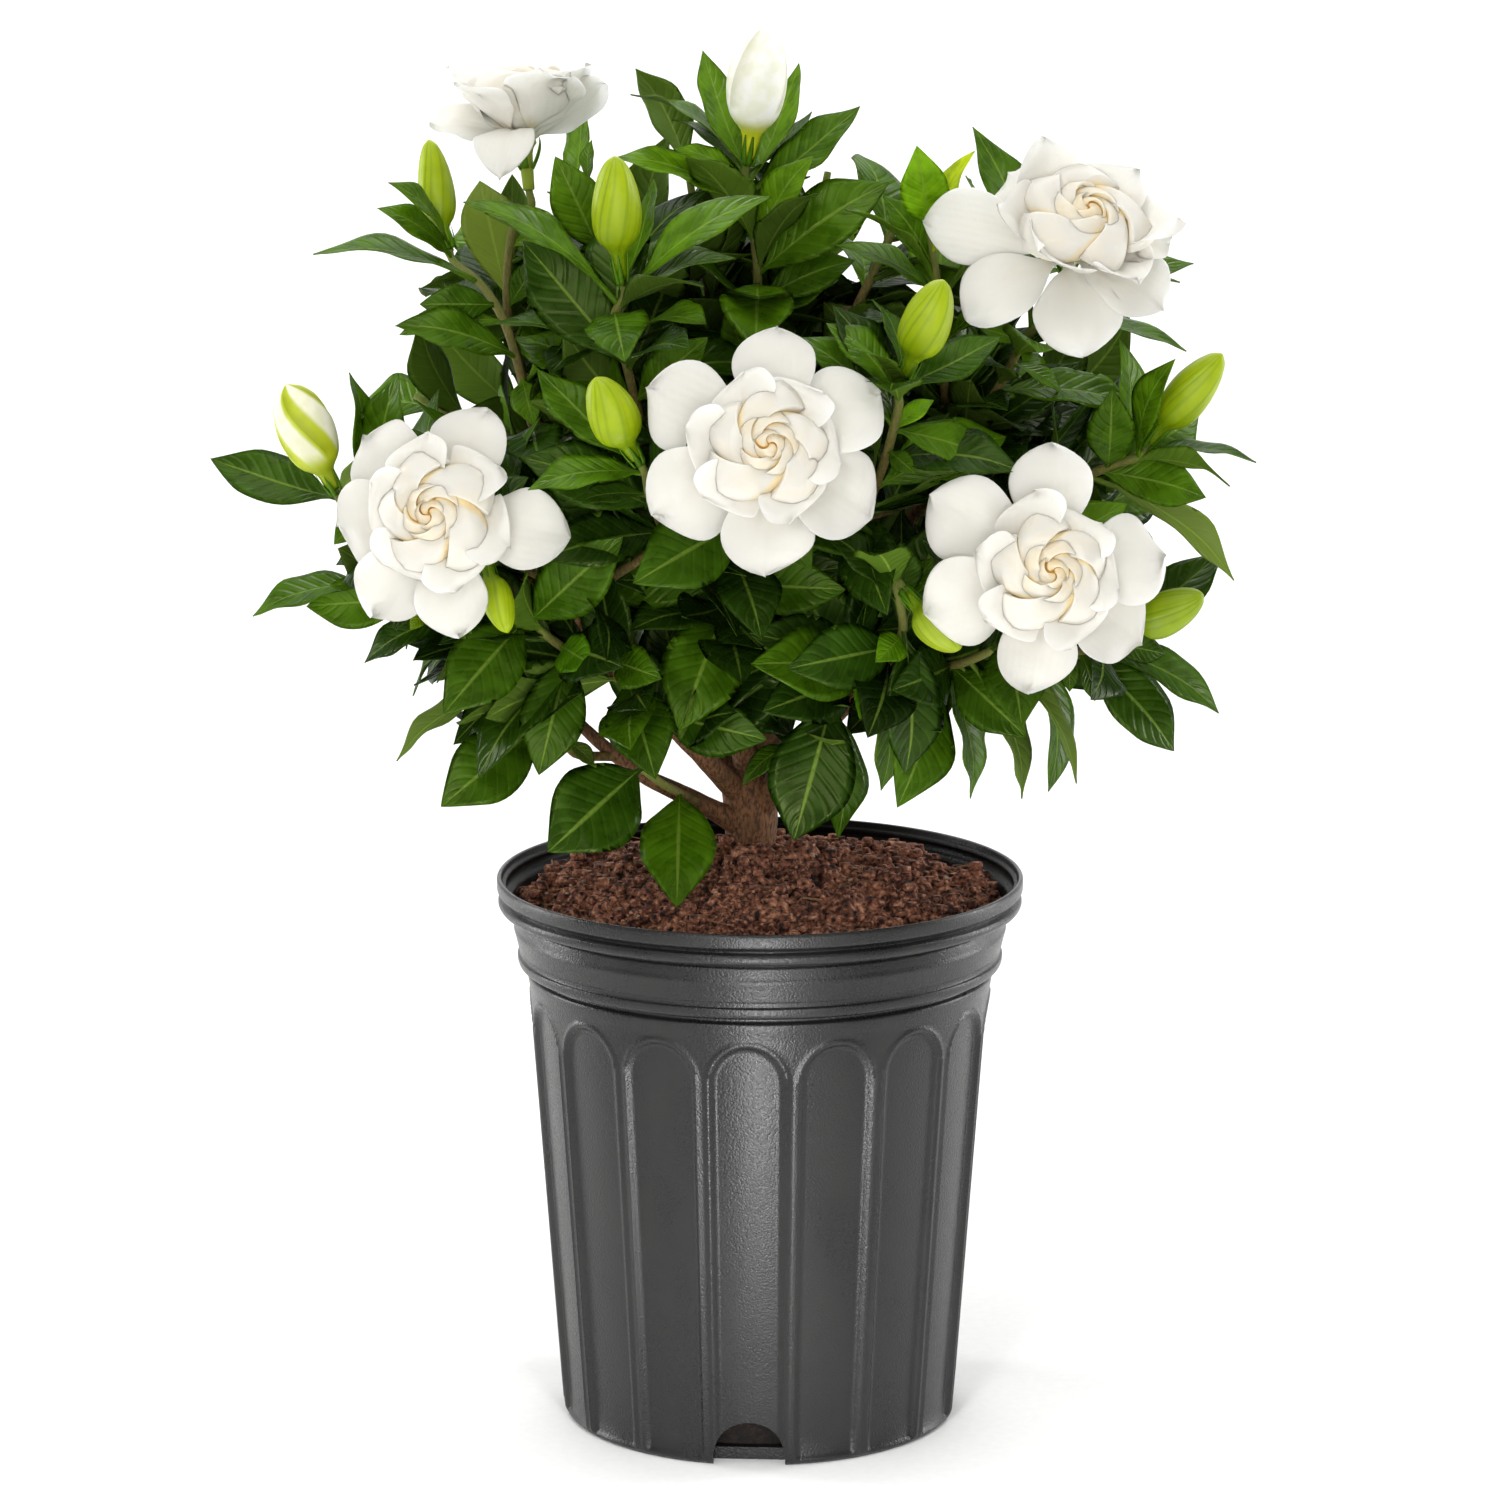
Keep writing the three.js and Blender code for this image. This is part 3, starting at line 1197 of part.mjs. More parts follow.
const plant = layOutPlant();
const gardenia = new THREE.Group();
gardenia.add(piece("pot", potSolid(), finishes.pot));
gardenia.add(piece("potting_soil", soilSolid(), finishes.soil));
gardenia.add(piece("wood", woodSolid(plant.limbPaths, plant.twigs), finishes.bark));
plant.shoots.forEach((shoot) => gardenia.add(piece(shoot.name, shootSolid(shoot), finishes.leaf)));
BLOOMS.forEach((bloom) => gardenia.add(piece(bloom.name, bloomSolid(bloom), finishes.petal)));
BUDS.forEach((bud) => gardenia.add(piece(bud.name, budSolid(bud), bud.pale ? finishes.petal : finishes.bud)));

export default gardenia;
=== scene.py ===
"""Potted gardenia: the fine pieces, the finishes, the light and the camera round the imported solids.

Shapes are worked out in millimetres, +Z up and the front towards -Y, and become metres when a mesh
is made. Where a leaf, a stem or a petal goes is worked out by the same rule as in the solids, so
that each fine piece lies where its solid lies.
"""

import itertools
import logging
import math
from collections.abc import Callable, Iterator, Sequence
from dataclasses import dataclass, field, replace
from enum import Enum
from functools import partial

import bpy
import numpy as np
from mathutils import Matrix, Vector


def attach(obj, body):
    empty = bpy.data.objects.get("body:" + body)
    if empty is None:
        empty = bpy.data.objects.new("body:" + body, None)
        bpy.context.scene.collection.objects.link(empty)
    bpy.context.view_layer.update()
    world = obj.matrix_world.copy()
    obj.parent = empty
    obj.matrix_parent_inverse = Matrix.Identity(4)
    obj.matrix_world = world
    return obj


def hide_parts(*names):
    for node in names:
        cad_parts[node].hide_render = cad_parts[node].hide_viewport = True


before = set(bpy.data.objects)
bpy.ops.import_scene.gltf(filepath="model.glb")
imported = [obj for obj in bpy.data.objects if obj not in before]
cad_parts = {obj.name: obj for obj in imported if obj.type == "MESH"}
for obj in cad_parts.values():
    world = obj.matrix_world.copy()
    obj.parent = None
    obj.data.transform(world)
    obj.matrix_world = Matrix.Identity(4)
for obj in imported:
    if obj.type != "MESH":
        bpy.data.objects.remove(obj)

Array = np.ndarray
Draws = np.random.Generator
Finish = bpy.types.Material
Socket = bpy.types.NodeSocket
Place = tuple[float, float, float]
log = logging.getLogger("gardenia")

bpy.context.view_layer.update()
METRES = 0.001
UP = np.array([0.0, 0.0, 1.0])


# Small sums on arrays


def unit(vectors: Array) -> Array:
    """Vectors divided by their own length."""
    return vectors / np.linalg.norm(vectors, axis=-1, keepdims=True)


def smooth(values: Array, low: float, high: float) -> Array:
    """An eased step: 0 below low, 1 above high, and 3 t squared less 2 t cubed between them."""
    t = np.clip((values - low) / (high - low), 0, 1)
    return t * t * (3 - 2 * t)


def noise(points: Array, cell: float, seed: int) -> Array:
    """Smooth noise from -1 to 1.

    Formula: seeded values at the corners of cubes of the cell's size, blended between by eased steps.

    Args:
        points: Places in millimetres, with the three coordinates last.
        cell: Side of a cube, in millimetres.
        seed: Number that picks the values.

    Returns:
        One value for each place.
    """
    scaled = points / cell
    corner = np.floor(scaled).astype(np.int64)
    t = scaled - corner
    t = t * t * (3 - 2 * t)
    total = np.zeros(points.shape[:-1])
    for offset in itertools.product((0, 1), repeat=3):
        key = (corner + np.array(offset)) @ np.array([73856093, 19349663, 83492791])
        key = (key ^ (seed * 2654435)) & 0x7FFFFFFF
        key = ((key ^ (key >> 13)) * 1274126177) & 0x7FFFFFFF
        key = ((key ^ (key >> 11)) * 668265263) & 0x7FFFFFFF
        value = (key >> 8 & 0xFFFF) / 32767.5 - 1
        total += np.prod(np.where(np.array(offset) == 1, t, 1 - t), axis=-1) * value
    return total


def full_turn(count: int) -> Array:
    """Angles spread evenly over a full turn."""
    return np.arange(count) / count * 2 * np.pi


def spokes(turn: Array, first: Array, second: Array) -> Array:
    """Directions at angles that go from a first direction towards a second."""
    return np.cos(turn)[..., None] * first + np.sin(turn)[..., None] * second


def turned(angle: Array, radius: Array, height: Array) -> Array:
    """Points round the upright axis as [row, angle, coordinate], from the front on."""
    return np.stack(np.broadcast_arrays(np.sin(angle) * radius, -np.cos(angle) * radius, height), axis=-1)


def two_faces(spread: Array, span: Array) -> tuple[Array, ...]:
    """The rings round a thin blade, along one face and back along the other.

    Args:
        spread: Share of its length at each ring.
        span: Shares of its half width from edge to edge, from -1 to 1.

    Returns:
        Share of the length, share of the half width, and 1 or -1 for the face, as [ring, point].
    """
    across = np.concatenate([span, span[-2:0:-1]])
    face = np.concatenate([np.ones(len(span)), -np.ones(len(span) - 2)])
    return tuple(np.broadcast_arrays(spread[:, None], across[None], face[None]))


def seeded_draws(seed: int) -> Iterator[float]:
    """Draws between 0 and 1, by the multiplier method of Park and Miller.

    Args:
        seed: First state.

    Returns:
        The endless draws.
    """
    state = seed
    while True:
        state = state * 16807 % 2147483647
        yield state / 2147483647


# Curves: a path is an array of points, read by a parameter from 0 to its last index


def path_points(path: Array, places: Array) -> Array:
    """Points on the smooth curve through a path (uniform Catmull-Rom).

    Args:
        path: Points of the path.
        places: Parameters, from 0 to its last index.

    Returns:
        A point for each place.
    """
    places = np.asarray(places, float)
    span = np.minimum(np.floor(places).astype(int), len(path) - 2)
    t = places - span
    ends = np.vstack([2 * path[0] - path[1], path, 2 * path[-1] - path[-2]])
    weights = 0.5 * np.stack(
        [-t + 2 * t**2 - t**3, 2 - 5 * t**2 + 3 * t**3, t + 4 * t**2 - 3 * t**3, t**3 - t**2], axis=-1
    )
    corners = ends[span[..., None] + np.arange(4)]
    return np.einsum("...i,...ij->...j", weights, corners)


def path_directions(path: Array, places: Array) -> Array:
    """Directions of the curve through a path."""
    after = path_points(path, np.minimum(len(path) - 1, places + 0.02))
    return unit(after - path_points(path, np.maximum(0, places - 0.02)))


def path_length(path: Array) -> float:
    """Straight-line length of a path's spans together."""
    return float(np.linalg.norm(np.diff(path, axis=0), axis=1).sum())


def path_probes(path: Array) -> Array:
    """Points about 4 mm apart along a path."""
    steps = math.ceil(path_length(path) / 4)
    return path_points(path, np.arange(steps + 1) / steps * (len(path) - 1))


# The camera's picture of the plant


@dataclass(frozen=True)
class PictureView:
    """The picture plane through the pot's axis, on which places of the plant are read.

    A place is (across, up, back): where it is seen on that plane, and how far it lies behind it.
    """

    distance: float = 2600
    cos_tilt: float = math.cos(math.radians(12))
    sin_tilt: float = math.sin(math.radians(12))
    aim_across: float = -4.2
    aim_up: float = 300.7
    aim_height: float = 287.6
    width: float = 630

    @property
    def to_viewer(self) -> Array:
        """Direction from the plant to the viewer."""
        return np.array([0, -self.cos_tilt, self.sin_tilt])

    def seen_at(self, place: Sequence[float]) -> Array:
        """The world point that is seen at a place.

        Args:
            place: Across, up and back.

        Returns:
            The point.
        """
        across, up, back = place
        rise = up - self.aim_up
        height = rise * (self.distance + back * self.cos_tilt) - self.distance * back * self.sin_tilt
        height = height / (self.distance * self.cos_tilt + rise * self.sin_tilt)
        scale = (self.distance + back * self.cos_tilt - height * self.sin_tilt) / self.distance
        seen = self.aim_across + (across - self.aim_across) * scale
        return np.array([seen, back, height + self.aim_height])

    def seen_from(self, points: Array) -> Array:
        """Where world points are seen.

        Args:
            points: The points.

        Returns:
            Across and up of each.
        """
        height = points[..., 2] - self.aim_height
        scale = self.distance / (self.distance + points[..., 1] * self.cos_tilt - height * self.sin_tilt)
        across = self.aim_across + (points[..., 0] - self.aim_across) * scale
        rise = (height * self.cos_tilt + points[..., 1] * self.sin_tilt) * scale
        return np.stack([across, self.aim_up + rise], axis=-1)

    def path(self, places: Sequence[Sequence[float]]) -> Array:
        """The world points seen at several places."""
        return np.array([self.seen_at(place) for place in places])


VIEW = PictureView()


# Meshes


def show(name: str, data: bpy.types.ID) -> bpy.types.Object:
    """A new object in the scene.

    Args:
        name: Name of the object.
        data: What it shows.

    Returns:
        The object.
    """
    thing = bpy.data.objects.new(name, data)
    bpy.context.scene.collection.objects.link(thing)
    return thing


@dataclass
class Draft:
    """A mesh in the making: closed tubes of rings, with values kept at their points.

    The blank values stand at the points of every tube that is given no other.
    """

    blank: dict[str, object] = field(default_factory=dict)
    points: list[Array] = field(default_factory=list)
    triangles: list[Array] = field(default_factory=list)
    quads: list[Array] = field(default_factory=list)
    finishes: list[int] = field(default_factory=list)
    values: dict[str, list[Array]] = field(default_factory=dict)
    count: int = 0

    def add_tubes(self, rings: Array, finish: int = 0, **values: Array | float) -> None:
        """Adds closed tubes, all with the same count of rings and of points in a ring.

        Formula: each ring joins the next by four-sided faces, and each end closes by a fan of
        triangles to the middle of its ring. The faces are turned so that the volume is positive.

        Args:
            rings: Points as [tube, ring, point of the ring, coordinate].
            finish: Number of the material.
            values: Numbers as [tube, ring, point], or colours with three more, or what spreads to them.
        """
        tubes, rows, columns, _ = rings.shape
        stride = rows * columns + 2
        place = np.arange(rows * columns).reshape(rows, columns)
        after = np.roll(place, -1, axis=1)
        quads = np.stack([place[:-1], after[:-1], after[1:], place[1:]], axis=-1).reshape(-1, 4)
        first = np.stack([after[0], place[0], np.full(columns, rows * columns)], axis=-1)
        last = np.stack([place[-1], after[-1], np.full(columns, rows * columns + 1)], axis=-1)
        fans = np.vstack([first, last])
        points = self._with_ends(rings)
        corners = points[0][np.vstack([quads[:, [0, 1, 2]], quads[:, [0, 2, 3]], fans])]
        volume = np.einsum("ij,ij->", corners[:, 0], np.cross(corners[:, 1], corners[:, 2]))
        if volume < 0:
            quads, fans = quads[:, ::-1], fans[:, ::-1]
        starts = (self.count + np.arange(tubes) * stride)[:, None, None]
        self.points.append(points.reshape(-1, 3))
        self.quads.append((quads + starts).reshape(-1, 4))
        self.triangles.append((fans + starts).reshape(-1, 3))
        self.finishes.append(finish)
        for name, value in (self.blank | values).items():
            value = np.asarray(value, float)
            depth = (3,) if value.ndim > 3 or value.shape[-1:] == (3,) else ()
            full = np.broadcast_to(value, (tubes, rows, columns) + depth)
            flat = self._with_ends(full.reshape(tubes, rows, columns, -1))
            self.values.setdefault(name, []).append(flat.reshape(-1, flat.shape[-1]))
        self.count += tubes * stride

    def add_all(self, made: Sequence[tuple[Array, dict[str, Array]]]) -> None:
        """Adds several tubes of the first material, each given as its rings and their values."""
        values = {name: np.stack([each[name] for _, each in made]) for name in made[0][1]}
        self.add_tubes(np.stack([rings for rings, _ in made]), 0, **values)

    @staticmethod
    def _with_ends(rings: Array) -> Array:
        """Ring values in a row for each tube, with the means of its first and last ring added.

        Args:
            rings: As [tube, ring, point, number].

        Returns:
            As [tube, point, number].
        """
        tubes, _, _, depth = rings.shape
        ends = [rings[:, 0].mean(axis=1)[:, None], rings[:, -1].mean(axis=1)[:, None]]
        return np.concatenate([rings.reshape(tubes, -1, depth), *ends], axis=1)

    def make(self, name: str, finishes: Sequence[Finish]) -> bpy.types.Object:
        """Makes the object, at the origin, with smooth faces.

        Args:
            name: Name of the object.
            finishes: Its materials, in the order of their numbers.

        Returns:
            The object, linked to the scene.
        """
        faces = list(zip(self.quads, self.triangles))
        loops = np.concatenate([np.concatenate([fours.ravel(), threes.ravel()]) for fours, threes in faces])
        totals = [np.r_[np.full(len(fours), 4), np.full(len(threes), 3)] for fours, threes in faces]
        sizes = np.concatenate(totals)
        numbers = np.repeat(self.finishes, [len(total) for total in totals])
        mesh = bpy.data.meshes.new(name)
        mesh.vertices.add(self.count)
        mesh.vertices.foreach_set("co", (np.concatenate(self.points) * METRES).astype(np.float32).ravel())
        mesh.loops.add(len(loops))
        mesh.loops.foreach_set("vertex_index", loops.astype(np.int32))
        mesh.polygons.add(len(sizes))
        mesh.polygons.foreach_set("loop_start", (np.cumsum(sizes) - sizes).astype(np.int32))
        mesh.polygons.foreach_set("material_index", numbers.astype(np.int32))
        for key, parts in self.values.items():
            value = np.concatenate(parts).astype(np.float32)
            if value.shape[1] == 3:
                layer = mesh.attributes.new(key, "FLOAT_COLOR", "POINT")
                layer.data.foreach_set("color", np.c_[value, np.ones(len(value))].astype(np.float32).ravel())
            else:
                mesh.attributes.new(key, "FLOAT", "POINT").data.foreach_set("value", value.ravel())
        mesh.update(calc_edges=True)
        mesh.shade_smooth()
        for finish in finishes:
            mesh.materials.append(finish)
        return show(name, mesh)


def rod_rings(path: Array, radii: Sequence[float], sides: int, steps: int, bark: float = 0) -> Array:
    """Rings of a round rod along a path.

    Formula: at each step a circle stands square to the curve, its radius going evenly through the
    given radii, and bark adds to it that share of two sizes of noise.

    Args:
        path: Points of the path.
        radii: Radii from its first to its last point.
        sides: Points in a ring.
        steps: Rings in each span of the path.
        bark: Share of the radius by which noise lifts the surface.

    Returns:
        Points as [ring, point, coordinate].
    """
    count = (len(path) - 1) * steps + 1
    places = np.linspace(0, len(path) - 1, count)
    direction = path_directions(path, places)
    across = unit(np.array([1.0, 0, 0]) - direction * direction[:, :1])
    over = np.cross(direction, across)
    radius = np.interp(np.linspace(0, 1, count), np.linspace(0, 1, len(radii)), radii)[:, None, None]
    spoke = spokes(full_turn(sides)[None], across[:, None], over[:, None])
    centre = path_points(path, places)[:, None]
    if bark:
        at = centre + spoke * radius
        squeezed = at * np.array([1, 1, 0.4])
        lift = 0.65 * noise(squeezed, 7, 3) + 0.35 * noise(squeezed, 2.6, 4)
        radius = radius * (1 + bark * lift[..., None])
    return centre + spoke * radius


# Materials


def rgb(code: str) -> Array:
    """The linear red, green and blue of an sRGB hex colour such as 2b5a12."""
    share = np.array([int(code[i : i + 2], 16) / 255 for i in (0, 2, 4)])
    return np.where(share <= 0.04045, share / 12.92, ((share + 0.055) / 1.055) ** 2.4)


def linear(code: str) -> tuple[float, ...]:
    """The linear colour of a hex colour, with full alpha."""
    return (*rgb(code).tolist(), 1.0)


EASED = {"interpolation_type": "SMOOTHSTEP"}
COLOURS = {"data_type": "RGBA"}
MULTIPLIED = {"data_type": "RGBA", "blend_type": "MULTIPLY"}


def add_node(
    tree: bpy.types.NodeTree, kind: str, *values: object, output: str = "", **settings: object
) -> Socket | None:
    """Adds a node to a material, with its settings and links.

    Args:
        tree: The material's node tree.
        kind: Class name of the node, after ShaderNode.
        values: Its inputs, each a value or the output that it is linked from, in the order of the
            inputs that its settings leave open, or else one dictionary of them by name.
        output: Name of the output wanted, if not the first that its settings leave open.
        settings: Its other settings by name.

    Returns:
        The output, or None if the node has none.
    """
    node = tree.nodes.new(f"ShaderNode{kind}")
    for name, value in settings.items():
        setattr(node, name, value)
    if values and isinstance(values[0], dict):
        pairs = [(node.inputs[name], value) for name, value in values[0].items()]
    else:
        pairs = list(zip([socket for socket in node.inputs if socket.enabled], values))
    for socket, value in pairs:
        if isinstance(value, Socket):
            tree.links.new(value, socket)
        else:
            socket.default_value = value
    if output:
        return node.outputs[output]
    return next((socket for socket in node.outputs if socket.enabled), None)


def start_material(name: str) -> tuple[Finish, Callable]:
    """A new material with an empty node tree, and the function that adds nodes to it.

    Args:
        name: Name of the material.

    Returns:
        The material and the function.
    """
    material = bpy.data.materials.new(name)
    material.use_nodes = True
    material.node_tree.nodes.clear()
    return material, partial(add_node, material.node_tree)


def grain(add: Callable, size: float, detail: float = 2, stretch: Place = (1, 1, 1)) -> Socket:
    """A noise on the piece.

    Args:
        add: The function that adds nodes to the material.
        size: Size of its lumps, in millimetres.
        detail: How many finer layers it has.
        stretch: How far the lumps are drawn out along each axis.

    Returns:
        The output.
    """
    scale = [1 / (size * METRES * share) for share in stretch]
    place = add("Mapping", {"Vector": add("TexCoord", output="Object"), "Scale": scale})
    return add("TexNoise", {"Vector": place, "Scale": 1.0, "Detail": detail})


def end_material(add: Callable, height: object, strength: float, depth: float, inputs: dict) -> None:
    """Adds the shader and the output.

    Args:
        add: The function that adds nodes to the material.
        height: The pattern that raises the surface.
        strength: How much of it shows.
        depth: How high it stands, in millimetres.
        inputs: The shader's inputs by name.
    """
    normal = add("Bump", {"Height": height, "Strength": strength, "Distance": depth * METRES})
    add("OutputMaterial", {"Surface": add("BsdfPrincipled", {**inputs, "Normal": normal})})


@dataclass(frozen=True)
class BlackPolyethylene:
    """Black polyethylene, blow moulded in a blasted mould.

    To the eye it is a dark grey satin: a fine stipple breaks each highlight into grains, and the
    wall shows cloudy patches, mould flow down it and a little dust.
    """

    colour: str = "0f0f0f"
    worn: str = "1c1c1b"
    stipple: float = 0.85

    def make(self) -> Finish:
        """Builds the material.

        Returns:
            The material.
        """
        material, add = start_material("moulded_black_polyethylene")
        cloud = grain(add, 34, 3, (1, 1, 2.2))
        # The real stipple is about 0.4 mm across, drawn coarser so that it shows
        stipple = grain(add, self.stipple, 1)
        wear = add("MapRange", cloud, 0.35, 0.7, 0, 0.7, **EASED)
        satin = add("MapRange", cloud, 0.3, 0.7, 0, 0.06, **EASED)
        blast = add("MapRange", stipple, 0.3, 0.7, 0.24, 0.38, **EASED)
        # The inside hardly shines, which paints shade on the inner wall above the soil
        inside = add("Attribute", output="Fac", attribute_name="inside")
        end_material(add, stipple, 0.55, 0.35, {
            "Base Color": add("Mix", wear, linear(self.colour), linear(self.worn), **COLOURS),
            "Roughness": add("Math", satin, blast, operation="ADD"),
            "IOR": 1.5,
            "Specular IOR Level": add("MapRange", inside, 0, 1, 0.5, 0.08, **EASED),
        })
        return material


@dataclass(frozen=True)
class PottingMix:
    """Damp potting mix of composted bark and peat, crumbled by hand.

    To the eye it is a reddish dark brown with no gloss, darker in its pores as painted shade, and
    paler on raised crumbs.
    """

    damp: str = "633624"
    drying: str = "8c5840"
    raised_pale: str = "cf9576"
    pore_shade: str = "1c0f0a"

    def make(self) -> Finish:
        """Builds the material.

        Returns:
            The material.
        """
        material, add = start_material("damp_bark_and_peat_mix")
        crumb, patch, fine = grain(add, 2.4, 4), grain(add, 16), grain(add, 0.9, 3)
        patchy = add("MapRange", patch, 0.38, 0.62, **EASED)
        damp = add("Mix", patchy, linear(self.damp), linear(self.drying), **COLOURS)
        raised = add("MapRange", crumb, 0.5, 0.72, **EASED)
        colour = add("Mix", raised, damp, linear(self.raised_pale), **COLOURS)
        # Painted shade: the sunk parts of the crumbs darken to the pore colour
        sunk = add("MapRange", crumb, 0.36, 0.5, 1, 0, **EASED)
        shade = add("Mix", sunk, colour, linear(self.pore_shade), **COLOURS)
        # Crumbs, straws and the painted shade at the foot keep a colour of their own at their points
        own = add("Attribute", output="Color", attribute_name="tint")
        share = add("Attribute", output="Fac", attribute_name="tinted")
        height = add("Math", crumb, fine, operation="ADD")
        tinted = add("Mix", share, shade, own, **COLOURS)
        end_material(add, height, 0.9, 1.2, {"Base Color": tinted, "Roughness": 0.95})
        return material


@dataclass(frozen=True)
class YoungBark:
    """Bark of a young woody stem, grown with short lengthwise cracks.

    To the eye it is a dull olive brown, paler along its ridges, and green where it is youngest.
    """

    ridge: str = "7c5433"
    crack: str = "432912"
    patch: str = "4f351a"
    green: str = "6c7a2c"

    def make(self) -> Finish:
        """Builds the material.

        Returns:
            The material.
        """
        material, add = start_material("young_gardenia_bark")
        crack, patch = grain(add, 1.1, 4, (1, 1, 2.6)), grain(add, 14)
        raised = add("MapRange", crack, 0.34, 0.62, **EASED)
        brown = add("Mix", raised, linear(self.crack), linear(self.ridge), **COLOURS)
        patchy = add("MapRange", patch, 0.45, 0.7, 0, 0.5, **EASED)
        shade = add("Mix", patchy, brown, linear(self.patch), **COLOURS)
        young = add("Attribute", output="Fac", attribute_name="green")
        colour = add("Mix", young, shade, linear(self.green), **COLOURS)
        end_material(add, crack, 0.7, 0.8, {"Base Color": colour, "Roughness": 0.8})
        return material


@dataclass(frozen=True)
class GardeniaLeaf:
    """Evergreen leaf with a waxy skin, sunk along its side veins.

    To the eye its upper face is glossy and quilted with a pale midrib, and its lower face is
    paler and dull with a raised midrib.
    """

    vein: str = "86a23e"
    under: str = "5d7629"
    sheen: tuple = (0.85, 1.0, 0.4, 1)
    dimmed: tuple = (0.6, 0.64, 0.5, 1)
    vein_pairs: float = 10
    vein_sweep: float = 2.1

    def make(self) -> Finish:
        """Builds the material.

        Returns:
            The material.
        """
        material, add = start_material("waxy_gardenia_leaf")
        tint = add("Attribute", output="Color", attribute_name="tint")
        names = "across", "along", "side"
        across, along, side = (add("Attribute", output="Fac", attribute_name=name) for name in names)
        # The side veins leave the midrib in pairs and sweep towards the tip
        off = add("Math", across, operation="ABSOLUTE")
        rise = add("Math", along, self.vein_pairs, operation="MULTIPLY")
        swept = add("Math", off, self.vein_sweep, operation="MULTIPLY")
        nearest = add("Math", add("Math", rise, swept, operation="SUBTRACT"), 0.5, operation="PINGPONG")
        side_vein = add("MapRange", nearest, 0, 0.09, 0.16, 0, **EASED)
        midrib = add("MapRange", off, 0.02, 0.075, 1, 0, **EASED)
        vein = add("Math", side_vein, midrib, operation="MAXIMUM")
        blotch = grain(add, 9, 3)
        patchy = add("MapRange", blotch, 0.35, 0.65, **EASED)
        blade = add("Mix", patchy, add("Mix", 1.0, tint, self.dimmed, **MULTIPLIED), tint, **COLOURS)
        upper_vein = add("Math", vein, 0.42, operation="MULTIPLY")
        upper = add("Mix", upper_vein, blade, linear(self.vein), **COLOURS)
        lower_blade = add("Mix", 0.6, tint, linear(self.under), **COLOURS)
        lower_vein = add("Math", vein, 0.6, operation="MULTIPLY")
        lower = add("Mix", lower_vein, lower_blade, linear(self.vein), **COLOURS)
        beneath = add("MapRange", side, -0.5, 0.1, 1, 0, **EASED)
        sunk_rib = add("Math", midrib, 0.9, operation="MULTIPLY")
        pillow = add("MapRange", nearest, 0, 0.3, **EASED)
        quilt = add("Math", pillow, sunk_rib, operation="SUBTRACT")
        pores = add("Math", grain(add, 1.6), 0.2, operation="MULTIPLY")
        wax = add("MapRange", blotch, 0.3, 0.7, 0.24, 0.36, **EASED)
        dull = add("Math", beneath, 0.3, operation="MULTIPLY")
        # Seen edge on, the dull wax over the gloss keeps the leaf from mirroring the pale room
        facing = add("LayerWeight", {"Blend": 0.5}, output="Facing")
        end_material(add, add("Math", quilt, pores, operation="ADD"), 0.4, 0.5, {
            "Base Color": add("Mix", beneath, upper, lower, **COLOURS),
            "Roughness": add("Math", wax, dull, operation="ADD"),
            "IOR": 1.38,
            "Specular IOR Level": add("MapRange", facing, 0.2, 0.62, 0.36, 0.03, **EASED),
            "Specular Tint": self.sheen,
        })
        return material


@dataclass(frozen=True)
class GardeniaPetal:
    """Thick waxy petal, grown rolled in the bud.

    To the eye it is a warm white with a soft skin and faint lengthwise lines, creamy at its root,
    with gold brown where the heart is creased, which in the folded whorls is also painted shade.
    """

    white: str = "e2dfd6"
    cream: str = "ebd8ac"
    crease: str = "b9873a"
    lines: float = 34
    scatter: tuple = (0.86, 0.92, 1.0)
    scatter_depth: float = 1.8

    def make(self) -> Finish:
        """Builds the material.

        Returns:
            The material.
        """
        material, add = start_material("waxy_white_petal")
        deep = add("Attribute", output="Fac", attribute_name="deep")
        across = add("Attribute", output="Fac", attribute_name="across")
        cloud = add("MapRange", grain(add, 11), 0.3, 0.7, -0.07, 0.07, **EASED)
        ripple = add("Math", deep, cloud, operation="ADD")
        creamy = add("MapRange", ripple, 0.25, 0.85, **EASED)
        body = add("Mix", creamy, linear(self.white), linear(self.cream), **COLOURS)
        # The gold brown is partly the heart's crease colour and partly painted shade tucked under the folds
        creased = add("MapRange", ripple, 0.88, 1.12, **EASED)
        line = add("Math", add("Math", across, self.lines, operation="MULTIPLY"), operation="SINE")
        faint = add("Math", line, 0.2, operation="MULTIPLY")
        end_material(add, add("Math", faint, grain(add, 2.6), operation="ADD"), 0.16, 0.6, {
            "Base Color": add("Mix", creased, body, linear(self.crease), **COLOURS),
            "Roughness": 0.55,
            "IOR": 1.4,
            "Subsurface Weight": 0.8,
            "Subsurface Radius": self.scatter,
            "Subsurface Scale": self.scatter_depth * METRES,
        })
        return material


